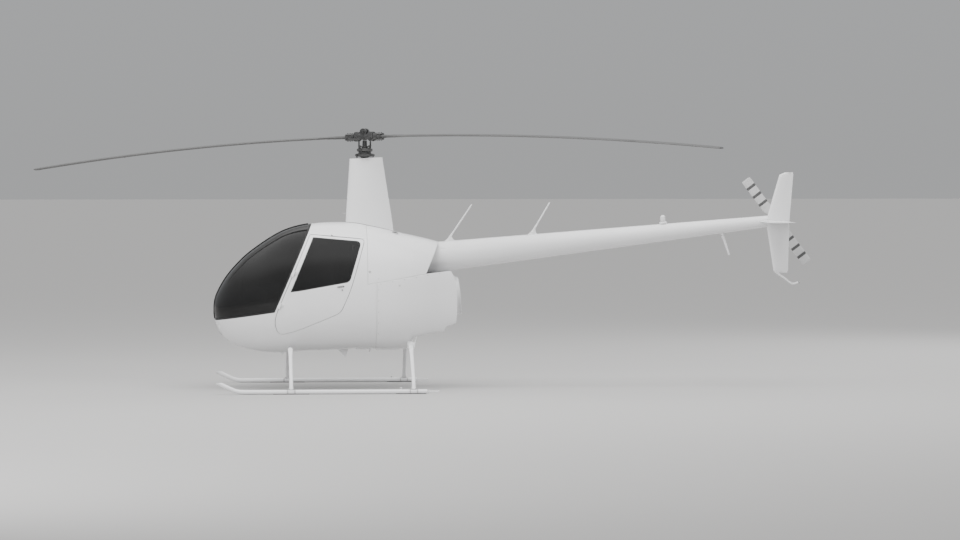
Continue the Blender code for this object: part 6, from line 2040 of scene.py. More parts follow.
def make_tail_blade(letter, angle):
    """One tail blade, with the dark bands that show in the picture."""
    at = TAIL_AXIS @ Matrix.Rotation(angle, 4, "Y")
    half = TAIL_CHORD / 2
    bands = [TAIL_RADIUS - start for start in (0.079, 0.182, 0.285)]
    edges = sorted([band for start in bands for band in (start, start - 0.03)])
    stations = [(0.09, 0.024, 0.019), (0.108, 0.032, 0.0168), (0.13, 0.043, 0.0145),
                (0.15, half, 0.013), (0.175, half, 0.0125)]
    stations += [(r, half, 0.0122) for r in edges]
    stations += [(r, half, 0.012) for r in np.linspace(0.2, 0.5, 9)]
    stations += [(0.515, half, 0.0118), (0.525, half - 0.0015, 0.0108),
                 (0.5305, half - 0.0045, 0.0086), (TAIL_RADIUS, half - 0.01, 0.005)]
    stations = sorted(set(stations))
    rings = []
    for r, chord, thick in stations:
        ring = []
        for x, y, z in blade_section(r, chord, thick, 0.0, 12):
            ring.append((r, z + droop(r), y))
        rings.append(ring)
    bm = lofted(rings)
    for face in bm.faces:
        r = face.calc_center_median().x
        if any(start - 0.03 < r < start for start in bands):
            face.material_index = 1
    root = [[(r, thick * math.sin(turn), wide * math.cos(turn)) for turn in turns(24)]
            for r, wide, thick in TAIL_BLADE_ROOT]
    bolts = [hex_bolt((x, sign * 0.0098, 0.0), (0, sign, 0), 0.009, 0.006, index=2)
             for x in (0.058, 0.08) for sign in (-1, 1)]
    horn = hose([(0.07, -0.006, 0.014), (0.064, -0.024, 0.026), (0.052, -0.036, 0.03)],
                0.0048, 12, index=2)
    place(f"visual_tail_blade_{letter}", joined(bm, lofted(root), *bolts, horn),
          "tail_rotor", ["tail_blade", "band", "steel"], "tail_blade_grey",
          f"tail_blade_{letter}", at=at, smooth=45.0)


TAIL_HUB_OUTLINE = [(-0.0368, -0.02), (-0.03, -0.026), (0.03, -0.026), (0.0368, -0.02),
                    (0.0368, 0.02), (0.03, 0.026), (-0.03, 0.026), (-0.0368, 0.02)]
TAIL_SHAFT_TURN = [(0.0, -0.0598), (0.0118, -0.0598), (0.0125, -0.059), (0.0125, 0.02),
                   (0.0175, 0.02), (0.0175, 0.0225), (0.0, 0.0225)]
TAIL_NUT_TURN = [(0.0, 0.0225), (0.013, 0.0225), (0.013, 0.0305), (0.0115, 0.032), (0.0, 0.032)]
TAIL_PITCH_RING_TURN = [(0.0126, -0.0475), (0.03, -0.0475), (0.034, -0.0455), (0.034, -0.0355),
                        (0.032, -0.034), (0.0126, -0.033)]


def make_tail_hub():
    outline = rounded(TAIL_HUB_OUTLINE, 0.008, 4)
    shapes = [slab(outline, -0.018, -0.009, 0.0015), slab(outline, 0.009, 0.018, 0.0015),
              slab(rounded(rectangle(-0.026, -0.017, 0.026, 0.017), 0.006), -0.01, 0.01, 0.001)]
    shapes.append(lathe(TAIL_SHAFT_TURN, (0, 0, 0), (0, 1, 0), 32, index=1))
    shapes.append(lathe(TAIL_NUT_TURN, (0, 0, 0), (0, 1, 0), 6, index=1))
    shapes.append(lathe(TAIL_PITCH_RING_TURN, (0, 0, 0), (0, 1, 0), 36, closed=True, index=1))
    shapes.append(round_bar((0.0, -0.0195, 0.0), (0.0, 0.0195, 0.0), 0.006, 16))
    for x in (-1, 1):
        shapes.append(hose([(x * 0.046, -0.038, 0.024 * x), (x * 0.032, -0.0405, 0.016 * x)],
                           0.0042, 12, index=1))
        for z in (-0.015, 0.015):
            shapes.append(hex_bolt((x * 0.029, 0.018, z), (0, 1, 0), 0.0075, 0.005, index=1))
    place("visual_tail_hub", joined(*shapes), "tail_rotor", ["charcoal", "steel"],
          "charcoal_metal", "tail_hub", at=TAIL_AXIS)


for letter, turn in (("a", 0.0), ("b", math.pi)):
    make_blade(letter, turn)
    make_tail_blade(letter, turn)
make_hub()
make_swashplates()
make_tail_hub()


# Engine bay

CRANK_Z = 0.86
CYLINDERS = ((0.305, -1), (0.345, 1), (0.475, -1), (0.515, 1))
FAN_AXIS = (0.6803, 0.0, 0.945)
FAN_DEPTH = 0.311
FAN_SHORTER = 0.026
FAN_LEAN = 0.095
FINS = disc_pattern("alloy")
VANES = vane_pattern("charcoal")


CRANKCASE_OUTLINE = [(0.215, 0.79), (0.64, 0.79), (0.66, 0.83), (0.66, 0.9),
                     (0.64, 0.945), (0.25, 0.955), (0.215, 0.93)]
SUMP_OUTLINE = [(0.235, 0.648), (0.56, 0.648), (0.6, 0.69), (0.62, 0.792), (0.225, 0.792)]
CYLINDER_TURN = [(0.0, 0.0), (0.06, 0.0), (0.06, 0.09), (0.066, 0.092), (0.066, 0.128),
                 (0.0, 0.128)]
MAGNETO_TURN = [(0.0, 0.0), (0.04, 0.0), (0.042, 0.01), (0.038, 0.07), (0.022, 0.078),
                (0.0, 0.078)]


def make_engine():
    """A flat four: crankcase, finned cylinders, rocker covers, sump, pipes and magnetos."""
    case = rounded(CRANKCASE_OUTLINE, 0.015, 4)
    shapes = [slab(case, -0.085, 0.085, 0.012, 3)]
    sump = rounded(SUMP_OUTLINE, 0.02, 4)
    shapes.append(slab(sump, -0.12, 0.12, 0.014, 3))
    for x in np.linspace(0.25, 0.62, 8):
        shapes.append(hex_bolt((x, 0.0, 0.955), (0, 0, 1), 0.007, 0.005, index=1))
    pipes, points, outs = [], [], []
    for x, side in CYLINDERS:
        shapes.append(lathe(CYLINDER_TURN, (x, side * 0.083, CRANK_Z), (0, side, 0), 36))
        cover = rounded(rectangle(x - 0.052, CRANK_Z - 0.04, x + 0.052, CRANK_Z + 0.04), 0.02, 4)
        low, high = sorted((side * 0.208, side * 0.2485))
        shapes.append(slab(cover, low, high, 0.008, 3))
        for dx in (-0.04, 0.04):
            for dz in (-0.028, 0.028):
                points.append((x + dx, side * 0.248, CRANK_Z + dz))
                outs.append((0, side, 0))
        pipes.append(hose(smooth_path([(x - 0.022, side * 0.165, CRANK_Z - 0.052),
                                       (x - 0.022, side * 0.165, CRANK_Z - 0.11),
                                       (x - 0.01, side * 0.15, 0.705),
                                       (x + 0.02, side * 0.1, 0.69)], 0.012), 0.019, 18))
        pipes.append(hose(smooth_path([(x + 0.026, side * 0.175, CRANK_Z - 0.055),
                                       (x + 0.028, side * 0.195, CRANK_Z - 0.1),
                                       (x + 0.06, side * 0.208, 0.7),
                                       (x + 0.12, side * 0.208, 0.685)], 0.012), 0.021, 18,
                          index=1))
        for z in (-0.036, 0.036):
            pipes.append(hose(smooth_path([(x + 0.012, side * 0.196, CRANK_Z + z),
                                           (x + 0.02, side * 0.226, CRANK_Z + z * 2.0),
                                           (x + 0.06, side * 0.17, 0.985),
                                           (0.6, side * 0.05, 1.0)], 0.012), 0.004, 10,
                              index=2))
    for side in (-1, 1):
        collector = [(0.33, side * 0.212, 0.685), (0.5, side * 0.212, 0.68),
                     (0.64, side * 0.2, 0.678)]
        pipes.append(hose(smooth_path(collector, 0.014), 0.026, 20, index=1))
        shapes.append(lathe(MAGNETO_TURN, (0.585, side * 0.042, 0.955),
                            (0.45, 0, 0.55), 28, index=1))
    bank = [FINS.bake([(x, side * (0.1 + 0.011 * k), CRANK_Z)], [(0, side, 0)], Count=1,
                      Radius=0.078 if k < 6 else 0.084, Thickness=0.0024)
            for x, side in CYLINDERS for k in range(10)]
    place("visual_engine", joined(*shapes), "airframe", ["engine", "dark_steel"], "bare_metal",
          "engine")
    place("engine_cooling_fins", joined(*bank), "airframe", "alloy", "bare_metal", clean=False)
    place("engine_pipes", joined(*pipes), "airframe", ["alloy", "copper", "rubber"], "bare_metal")
    scatter("rocker_cover_bolts", BOLTS, points, outs, finish="steel", slot="bare_metal",
            Radius=0.0042, Height=0.004)


FRAME_FOOT_TURN = [(0.0, 0.0), (0.027, 0.0), (0.027, 0.006), (0.018, 0.01), (0.0, 0.01)]


def make_frame():
    """The welded tube frame that holds the engine and the rear cross tube."""
    shapes = []
    for side in (-1, 1):
        y = side * 0.18
        shapes.append(round_bar((-0.1225, y, 0.63), (0.69, y, 0.63), 0.014, 20))
        shapes.append(round_bar((-0.1225, y, 0.9), (0.165, y, 0.632), 0.0105, 16))
        shapes.append(round_bar((0.64, y, 0.632), (0.56, side * 0.12, 0.786), 0.0105, 16))
        shapes.append(round_bar((0.165, y, 0.632), (0.24, side * 0.12, 0.786), 0.0105, 16))
        for z in (0.63, 0.9):
            foot = lathe(FRAME_FOOT_TURN, (-0.1226, y, z), (1, 0, 0), 28)
            shapes.append(foot)
            shapes += [hex_bolt((-0.1168, y + shift, z), (1, 0, 0), 0.006, 0.004, index=1)
                       for shift in (0.02, -0.02)]
    shapes.append(round_bar((0.16, -0.18, 0.63), (0.16, 0.18, 0.63), 0.0135, 20))
    shapes.append(round_bar((0.64, -0.18, 0.63), (0.64, 0.18, 0.63), 0.012, 20))
    place("visual_engine_frame", joined(*shapes), "airframe", ["charcoal", "steel"],
          "bare_metal", "engine_frame")


def leaned(bm):
    """The fan and its scroll lean a little, so that the scroll's top sits further forward."""
    x, _, z = FAN_AXIS
    for vert in bm.verts:
        reach = (vert.co.x - x) / FAN_DEPTH
        vert.co.x -= reach * (FAN_SHORTER + FAN_LEAN * (vert.co.z - z))
    return bm


SCROLL_TURN = [(0.1965, 0.0), (0.1965, 0.246), (0.169, 0.276), (0.169, 0.309), (0.172, 0.311),
               (0.188, 0.311), (0.1915, 0.3085), (0.1915, 0.286), (0.206, 0.26), (0.206, 0.0)]
FAN_HUB_TURN = [(0.0, 0.248), (0.018, 0.2475), (0.03, 0.243), (0.046, 0.22), (0.06, 0.195),
                (0.152, 0.188), (0.152, 0.18), (0.05, 0.174), (0.046, 0.045), (0.046, 0.004),
                (0.0, 0.004)]


def make_fan():
    x, y, z = FAN_AXIS
    shapes = [lathe(SCROLL_TURN, FAN_AXIS, (1, 0, 0), 96, closed=True)]
    for reach in (0.02, 0.12, 0.215):
        shapes.append(lathe([(0.2055, reach - 0.004), (0.2078, reach - 0.002),
                             (0.2078, reach + 0.002), (0.2055, reach + 0.004)], FAN_AXIS,
                            (1, 0, 0), 96, closed=True))
    place("visual_fan_scroll", leaned(joined(*shapes)), *WHITE, "fan_scroll")
    points = [(x + 0.2985, y + 0.1918 * math.cos(turn), z + 0.1918 * math.sin(turn))
              for turn in turns(24)]
    outs = [(0, point[1] - y, point[2] - z) for point in points]
    place("fan_inlet_rivets", leaned(RIVETS.bake(points, outs, Radius=0.003, Height=0.0014)),
          "airframe", "white_satin", "white_paint", clean=False)
    hub = lathe(FAN_HUB_TURN, FAN_AXIS, (1, 0, 0), 64)
    ring = lathe(tube(0.16, 0.165, 0.176, 0.244), FAN_AXIS, (1, 0, 0), 96, closed=True)
    bolts = [hex_bolt((x + 0.232, y + 0.036 * math.cos(turn), z + 0.036 * math.sin(turn)),
                      (1, 0, 0), 0.008, 0.006, index=1) for turn in turns(6)]
    place("visual_cooling_fan", leaned(joined(hub, ring, *bolts)), "airframe",
          ["charcoal", "steel"], "charcoal_metal", "cooling_fan")
    vanes = VANES.bake([(x + 0.212, y, z)], [(1, 0, 0)], Count=23, Inner=0.05, Outer=0.1612,
                       Width=0.048, Lean=0.62, Thickness=0.0022)
    place("cooling_fan_vanes", leaned(vanes), "airframe", "charcoal", "charcoal_metal", clean=False)


GEARBOX_TURN = [(0.0, 0.0), (0.112, 0.0), (0.116, 0.004), (0.116, 0.02), (0.108, 0.026),
                (0.108, 0.19), (0.116, 0.196), (0.116, 0.212), (0.104, 0.218), (0.07, 0.3),
                (0.056, 0.316), (0.052, 0.338), (0.0, 0.338)]
GEARBOX_RIB_OUTLINE = [(0.05, 1.48), (0.108, 1.48), (0.06, 1.566), (0.05, 1.566)]
GEARBOX_SNOUT_TURN = [(0.0, 0.0), (0.062, 0.0), (0.062, 0.05), (0.045, 0.06), (0.0, 0.06)]


def make_gearbox():
    """The main gearbox on its deck under the fairing, with ribs, cover bolts and a shaft snout."""
    shapes = [lathe(GEARBOX_TURN, (0.005, 0, 1.2622), (0, 0, 1), 56)]
    for turn in turns(10):
        rib = slab(GEARBOX_RIB_OUTLINE, -0.0035, 0.0035, 0.001)
        at = Matrix.Translation((0.005, 0, 0)) @ Matrix.Rotation(turn, 4, "Z")
        shapes.append(moved(rib, at))
    shapes.append(lathe(GEARBOX_SNOUT_TURN, (0.105, 0, 1.35), (1, 0, 0), 40))
    shapes.append(round_bar((0.16, 0, 1.35), (0.179, 0, 1.35), 0.02, 24, index=1))
    place("visual_gearbox", joined(*shapes), "airframe", ["alloy", "dark_steel"], "bare_metal",
          "gearbox")
    deck = rounded(rectangle(-0.1225, -0.164, 0.599, 0.164), 0.006, 2)
    place("gearbox_deck", flat_slab(deck, 1.247, 1.262, 0.002), "airframe", "white_satin",
          "white_paint")
    points = [(0.005 + 0.112 * math.cos(turn), 0.112 * math.sin(turn), z)
              for z in (1.2825, 1.4745) for turn in turns(16)]
    scatter("gearbox_bolts", BOLTS, points, [(0, 0, 1)] * len(points), finish="steel",
            slot="bare_metal", Radius=0.0046, Height=0.0045)


make_engine()
make_frame()
make_fan()
make_gearbox()


# Seats

SEAT_Y = 0.245
SEAT_HALF = 0.195
SEAT_FRONT = -0.61
SEAT_REAR = -0.215
SEAT_LOW = 0.7003
SEAT_TOP = 0.8
BACK_SIZE = (0.09, 0.38, 0.6)
BACK_CENTRE = (-0.2175, 1.0995)
BACK_LEAN = math.radians(5.0)


SEAT_TREES = []


def cushion_start(size, corner, crown, waist, steps=(26, 24, 7)):
    """A rounded block, crowned on +Z, whose sides pull in between its corners."""
    half = Vector(size) / 2
    bm = bmesh.new()
    bmesh.ops.create_cube(bm, size=2.0)
    for axis, count in enumerate(steps):
        edges = [e for e in bm.edges
                 if abs(abs((e.verts[0].co - e.verts[1].co)[axis]) - 2.0) < 1e-4]
        bmesh.ops.subdivide_edges(bm, edges=edges, cuts=count, use_grid_fill=True)
    for vert in bm.verts:
        u, v, w = vert.co
        spot = Vector((u * half.x, v * half.y, w * half.z))
        core = Vector([max(-h + corner, min(h - corner, value)) for value, h in zip(spot, half)])
        reach = spot - core
        if reach.length > 1e-9:
            spot = core + reach.normalized() * corner
        spot.x *= 1.0 - waist * (1.0 - v * v)
        spot.y *= 1.0 - waist * (1.0 - u * u)
        if w > 0:
            spot.z += crown * w * (1.0 - u ** 4) * (1.0 - v ** 4)
        vert.co = spot
    return bm


def puffed(bm, name, voxel, cap):
    """The cushion blown up by a short cloth simulation, each point's move held under a cap."""
    mesh = bpy.data.meshes.new(name)
    bm.to_mesh(mesh)
    bm.free()
    piece = bpy.data.objects.new(name, mesh)
    bpy.context.scene.collection.objects.link(piece)

    def settle():
        graph = bpy.context.evaluated_depsgraph_get()
        result = bpy.data.meshes.new_from_object(piece.evaluated_get(graph))
        for modifier in list(piece.modifiers):
            piece.modifiers.remove(modifier)
        return result

    remesh = piece.modifiers.new("even_grid", "REMESH")
    remesh.mode = "VOXEL"
    remesh.voxel_size = voxel
    piece.data = settle()
    start = [vert.co.copy() for vert in piece.data.vertices]
    cloth = piece.modifiers.new("stuffing", "CLOTH")
    cloth.settings.use_pressure = True
    cloth.settings.uniform_pressure_force = 4.0
    cloth.settings.effector_weights.gravity = 0.0
    cloth.settings.quality = 4
    cloth.point_cache.frame_start = 1
    cloth.point_cache.frame_end = 20
    for step in range(1, 21):
        bpy.context.scene.frame_set(step)
    piece.data = settle()
    bpy.context.scene.frame_set(1)
    result = bmesh.new()
    result.from_mesh(piece.data)
    for vert, home in zip(result.verts, start):
        move = vert.co - home
        if move.length > cap:
            vert.co = home + move.normalized() * cap
    bpy.data.objects.remove(piece)
    return result


def sewn(bm, size, channels, seam, depth=0.0055, width=0.006):
    """Sewn channels along X and a welt line round the top, pressed into the finer surface."""
    bmesh.ops.subdivide_edges(bm, edges=bm.edges[:], cuts=1, use_grid_fill=True, smooth=1.0)
    bm.normal_update()
    half = Vector(size) / 2
    for vert in bm.verts:
        x, y, _ = vert.co
        press = 0.0
        if vert.normal.z > 0.35 and abs(x) < half.x - seam:
            press = max(math.exp(-((y - line) / width) ** 2) for line in channels)
        inset_x, inset_y = half.x - abs(x), half.y - abs(y)
        edge = min(inset_x, inset_y) - seam
        if vert.normal.z > 0.3:
            press = max(press, math.exp(-(edge / width) ** 2))
        vert.co = vert.co - vert.normal * press * depth
    return bm


def stitch_runs(tree, size, channels, seam):
    """Stitches along the sewn channels, as short threads that lie on the leather."""
    half = Vector(size) / 2
    shapes = []
    for line in channels:
        for offset in (-0.0048, 0.0048):
            x = -half.x + seam + 0.006
            while x < half.x - seam - 0.01:
                ends = [tree.ray_cast(Vector((x + step, line + offset, 0.5)),
                                      Vector((0, 0, -1)))[0] for step in (0.0, 0.006)]
                if all(ends):
                    shapes.append(hose([end + Vector((0, 0, 0.0002)) for end in ends], 0.0007, 4))
                x += 0.0095
    return joined(*shapes)


def welt(tree, size, seam, radius=0.0028):
    """The piping: a cord that follows the seam round the top."""
    half = Vector(size) / 2
    loop = rounded(rectangle(-half.x + seam, -half.y + seam, half.x - seam, half.y - seam), 0.045,
                   8)
    path = []
    for spot in spaced([(x, y, 0.0) for x, y in loop + loop[:1]], 0.008)[:-1]:
        hit = tree.ray_cast(Vector((spot.x, spot.y, 0.5)), Vector((0, 0, -1)))[0]
        if hit:
            path.append(hit + Vector((0, 0, 0.0004)))
    return hose(path, radius, 8, closed=True)


def make_seats():
    """Leather cushions and backs: one of each is simulated, and the other side mirrors it."""
    mirror = Matrix.Scale(-1, 4, (0, 1, 0))
    kinds = (("seat_cushion", (SEAT_REAR - SEAT_FRONT, 2 * SEAT_HALF, SEAT_TOP - SEAT_LOW),
              Matrix.Translation(((SEAT_FRONT + SEAT_REAR) / 2, -SEAT_Y, (SEAT_TOP + SEAT_LOW)
                                  / 2)), (-0.097, 0.0, 0.097), 0.006, 0.03, 0.01),
             ("seat_back", (BACK_SIZE[2], BACK_SIZE[1], BACK_SIZE[0]),
              Matrix.Translation((BACK_CENTRE[0], -SEAT_Y, BACK_CENTRE[1]))
              @ Matrix.Rotation(BACK_LEAN, 4, "Y") @ Matrix.Rotation(math.radians(-90.0), 4, "Y"),
              (-0.095, 0.0, 0.095), 0.007, 0.028, 0.008),)
    for kind, size, spot, channels, voxel, seam, crown in kinds:
        slack = Vector((0.016, 0.016, 0.012))
        shape = puffed(cushion_start(Vector(size) - slack, 0.024, crown, 0.018), kind, voxel,
                       0.022)
        low = -size[2] / 2 + 0.0006
        for vert in shape.verts:
            vert.co.z = max(vert.co.z, low)
        sewn(shape, size, channels, seam)
        tree = BVHTree.FromBMesh(shape)
        cord = welt(tree, size, seam)
        stitches = stitch_runs(tree, size, channels, seam)
        for name, side in SIDES:
            at = spot if side < 0 else mirror @ spot
            for label, source, finish in (("", shape, "leather"), ("_piping", cord, "leather"),
                                          ("_stitches", stitches, "thread")):
                copy = source.copy()
                copy.transform(at)
                if side > 0:
                    bmesh.ops.reverse_faces(copy, faces=copy.faces)
                node = f"{kind}_{name}"
                piece = place(f"visual_{node}{label}", copy, "airframe", finish, "seat_leather",
                              node if not label else (), smooth=60.0, clean=False)
                if side < 0 and not label:
                    here = moved(shape.copy(), at)
                    SEAT_TREES.append(BVHTree.FromBMesh(here))
                    here.free()
        for item in (shape, cord, stitches):
            item.free()


def on_seat(y, x=None, z=None, lift=0.003):
    """A point just clear of the left cushion (given x) or the left back (given z)."""
    cushion, back = SEAT_TREES
    if z is None:
        hit = cushion.ray_cast(Vector((x, -abs(y), 1.0)), Vector((0, 0, -1)))[0]
        return Vector((x, y, hit.z + lift))
    hit = back.ray_cast(Vector((-0.6, -abs(y), z)), Vector((1, 0, 0)))[0]
    return Vector((hit.x - lift, y, z)) if hit else None


# Distance from the seat's middle, and x
LAP_BELT_REACH = ((0.176, -0.29), (0.14, -0.305), (0.1, -0.318), (0.06, -0.328), (0.03, -0.335))
BELT_ANCHOR_TURN = [(0.0, 0.0), (0.02, 0.0), (0.02, 0.005), (0.008, 0.008), (0.0, 0.008)]


def make_belts():
    """A lap belt and one shoulder strap for each seat, with buckle and anchors."""
    for name, side in SIDES:
        y = side * SEAT_Y
        shapes, metal = [], []
        for sign in (-1, 1):
            line = [(-0.245, y + sign * 0.2035, 0.715), (-0.262, y + sign * 0.2035, 0.77)]
            line += [on_seat(y + sign * reach, x=x) for reach, x in LAP_BELT_REACH]
            shapes.append(hose(smooth_path(line, 0.012), 0.023, 10, flat=0.06, up=(1, 0, 0.35)))
            anchor = rounded(rectangle(-0.262, 0.704, -0.228, 0.728), 0.006, 3)
            metal.append(slab(anchor, y + sign * 0.205 - 0.0022, y + sign * 0.205 + 0.0022,
                              0.0006))
        outer = y + side * 0.05
        line = [(-0.15, outer, 1.555), (-0.176, outer, 1.48), (-0.215, outer, 1.415)]
        down = (on_seat(outer, z=z) for z in (1.37, 1.345, 1.3, 1.2, 1.1, 1.0, 0.92))
        line += [spot for spot in down if spot]
        line += [on_seat(outer, x=-0.31), on_seat(y + side * 0.03, x=-0.33, lift=0.012)]
        shapes.append(hose(smooth_path(line, 0.014), 0.023, 10, flat=0.06, up=(0, 1, 0)))
        lap = (Matrix.Translation((-0.337, y, on_seat(y, x=-0.337).z + 0.006))
               @ Matrix.Rotation(0.06, 4, "Y"))
        buckle = moved(block((-0.026, -0.034, -0.008), (0.026, 0.034, 0.008), 0.003), lap)
        latch = moved(tinted(block((-0.018, -0.02, 0.007), (0.018, 0.02, 0.011), 0.0015), 1), lap)
        metal.append(lathe(BELT_ANCHOR_TURN, (-0.1356, outer, 1.56), (-1, 0, 0), 28))
        place(f"seat_belts_{name}", joined(*shapes), "airframe", "webbing", "seat_leather",
              smooth=60.0)
        place(f"belt_buckle_{name}", joined(buckle, latch, *metal), "airframe",
              ["steel", "trim"], "bare_metal")


# Cabin fittings

CONSOLE_OUTLINE = [(-1.2, 0.4628, 0.01), (-0.985, 0.4628, 0.01), (-0.96, 0.78, 0.02),
                   (-1.0, 1.0, 0.015), (-1.08, 1.0445, 0.03), (-1.27, 1.0, 0.02),
                   (-1.24, 0.84, 0.03)]
PANEL_LOW = Vector((-0.96, 0.0, 0.78))
PANEL_HIGH = Vector((-1.0, 0.0, 1.0))
# Dials: distance up the panel, sideways place, radius
DIALS = ((0.172, -0.049, 0.034), (0.172, 0.049, 0.034), (0.092, -0.049, 0.034),
         (0.092, 0.049, 0.034), (0.132, 0.0, 0.0175), (0.052, 0.0, 0.0175),
         (0.026, -0.074, 0.0165), (0.026, -0.03, 0.0165), (0.026, 0.03, 0.0165),
         (0.026, 0.074, 0.0165), (0.205, -0.018, 0.008), (0.205, 0.018, 0.008))


PANEL_SCREW_TURN = [(0.0, 0.0), (0.0035, 0.0), (0.0028, 0.0016), (0.0, 0.0018)]
# Lower and upper edge of each unit, up the panel
RADIO_HEIGHTS = ((0.075, 0.118), (0.124, 0.172), (0.178, 0.236), (0.242, 0.292))
RADIO_KNOB_TURN = [(0.0, 0.0), (0.0095, 0.0), (0.0085, 0.012), (0.007, 0.0135), (0.0, 0.0135)]
SWITCH_TURN = [(0.0, 0.0), (0.0042, 0.0), (0.0042, 0.003), (0.0018, 0.004), (0.0026, 0.013),
               (0.0, 0.014)]
HOOD_OUTLINE = [(-1.003, 1.0, 0.004), (-1.078, 1.0455, 0.02), (-1.15, 1.03, 0.01),
                (-1.15, 1.022, 0.004), (-1.078, 1.036, 0.02), (-1.01, 0.994, 0.004)]


def make_console():
    body = slab(rounded(CONSOLE_OUTLINE, 0.01, 5), -0.0998, 0.0998, 0.006, 3)
    rise = (PANEL_HIGH - PANEL_LOW).normalized()
    out = Vector((rise.z, 0.0, -rise.x))
    turn = Matrix((Vector((0, 1, 0)), rise, out)).transposed().to_4x4()
    face = Matrix.Translation(PANEL_LOW) @ turn
    shapes = [body, moved(block((-0.096, 0.004, -0.001), (0.096, 0.218, 0.0022), 0.0008), face)]
    marks = []
    for up, across, radius in DIALS:
        at = face @ Matrix.Translation((across, up, 0.0022))
        shapes.append(moved(tinted(lathe([(radius, -0.001), (radius + 0.0035, -0.001),
                                          (radius + 0.0035, 0.0035), (radius + 0.001, 0.0055),
                                          (radius, 0.0045)], sides=40, closed=True), 1), at))
        shapes.append(moved(tinted(lathe(disc(radius, 0.0, 0.0012), sides=32), 2), at))
        if radius < 0.01:
            continue
        ticks = TICKS.bake([(0, 0, 0.0014)], [(0, 0, 1)], Count=24 if radius > 0.02 else 12,
                           Radius=radius * 0.86, Length=radius * 0.15, Width=radius * 0.028)
        marks.append(moved(ticks, at))
        swing = 2.4 - across * 30 + up * 20
        hand = moved(block((-0.0009, -radius * 0.15, 0.0016), (0.0009, radius * 0.66, 0.0026)),
                     Matrix.Rotation(swing, 4, "Z"))
        marks += [moved(hand, at), moved(lathe(disc(radius * 0.09, 0.0012, 0.003), sides=16), at)]
    for x in (-0.088, 0.088):
        for y in (0.012, 0.21):
            shapes.append(moved(tinted(lathe(PANEL_SCREW_TURN, sides=16), 1),
                                face @ Matrix.Translation((x, y, 0.0022))))
    low_face = Matrix.Translation((-0.985, 0.0, 0.4628)) @ Matrix.Rotation(
        math.atan2(0.025, 0.3172), 4, "Y")
    for z_low, z_high in RADIO_HEIGHTS:
        unit = moved(block((-0.01, -0.082, z_low), (0.004, 0.082, z_high), 0.002), low_face)
        shapes.append(unit)
        middle = (z_low + z_high) / 2
        shapes.append(moved(tinted(block((0.0035, -0.04, middle - 0.01),
                                         (0.0048, 0.04, middle + 0.01), 0.0006), 2), low_face))
        for y in (-0.064, 0.064):
            knob = lathe(RADIO_KNOB_TURN, (0.004, y, middle), (1, 0, 0), 24, index=1)
            shapes.append(moved(knob, low_face))
    for k in range(7):
        switch = lathe(SWITCH_TURN, (0.004, -0.072 + 0.024 * k, 0.05), (1, 0, 0.3), 14, index=1)
        shapes.append(moved(switch, low_face))
    hood = rounded(HOOD_OUTLINE, 0.004, 4)
    shapes.append(slab(hood, -0.104, 0.104, 0.002))
    place("visual_console", joined(*shapes), "airframe", ["dash", "dark_steel", "dial"],
          "cabin_trim", "console")
    place("console_dial_marks", joined(*marks), "airframe", "mark", "cabin_trim", clean=False)
    compass = joined(block((-0.022, -0.026, 0.0), (0.022, 0.026, 0.046), 0.006, 3),
                     tinted(block((0.021, -0.02, 0.014), (0.0235, 0.02, 0.036), 0.001), 1))
    place("magnetic_compass", moved(compass, Matrix.Translation((-1.1, 0.0, 1.04))),
          "airframe", ["dash", "dial"], "cabin_trim")


BOW_POINTS = [(-1.262, 1.0125), (-1.239, 1.142), (-1.19, 1.222), (-1.128, 1.293), (-1.06, 1.37),
              (-0.987, 1.434), (-0.836, 1.54), (-0.705, 1.606), (-0.604, 1.634), (-0.52, 1.6486)]
BOW_FOOT_TURN = [(0.0, 0.0), (0.016, 0.0), (0.016, 0.004), (0.0095, 0.01), (0.0, 0.01)]


def make_bow():
    path = smooth_path([(x, 0.0, z) for x, z in BOW_POINTS], 0.012)
    shapes = [hose(path, 0.008, 16, up=(0, 1, 0))]
    for x, z in (BOW_POINTS[0], BOW_POINTS[-1]):
        shapes.append(lathe(BOW_FOOT_TURN, (x, 0.0, z - 0.006), (0, 0, 1), 24))
    place("visual_windscreen_bow", joined(*shapes), "airframe", "charcoal", "charcoal_metal",
          "windscreen_bow")


def grip(base, axis, length=0.105, index=1):
    """A moulded hand grip with finger swells, a flared foot and a wider head."""
    profile = [(0.0, 0.0), (0.015, 0.0), (0.0165, 0.003), (0.0165, 0.007), (0.014, 0.01)]
    for i in range(13):
        share = i / 12
        profile.append((0.014 + 0.0013 * math.sin(share * 6 * math.pi), 0.012
                        + share * (length - 0.03)))
    profile += [(0.0155, length - 0.014), (0.0155, length - 0.005), (0.012, length), (0.0, length)]
    return lathe(profile, base, axis, 28, index=index)


CYCLIC_POST_LINE = [(-0.8, 0, 0.465), (-0.77, 0, 0.64), (-0.735, 0, 0.86), (-0.724, 0, 0.935)]
TRIGGER_TURN = [(0.0, 0.0), (0.0042, 0.0), (0.0036, 0.004), (0.0, 0.0045)]


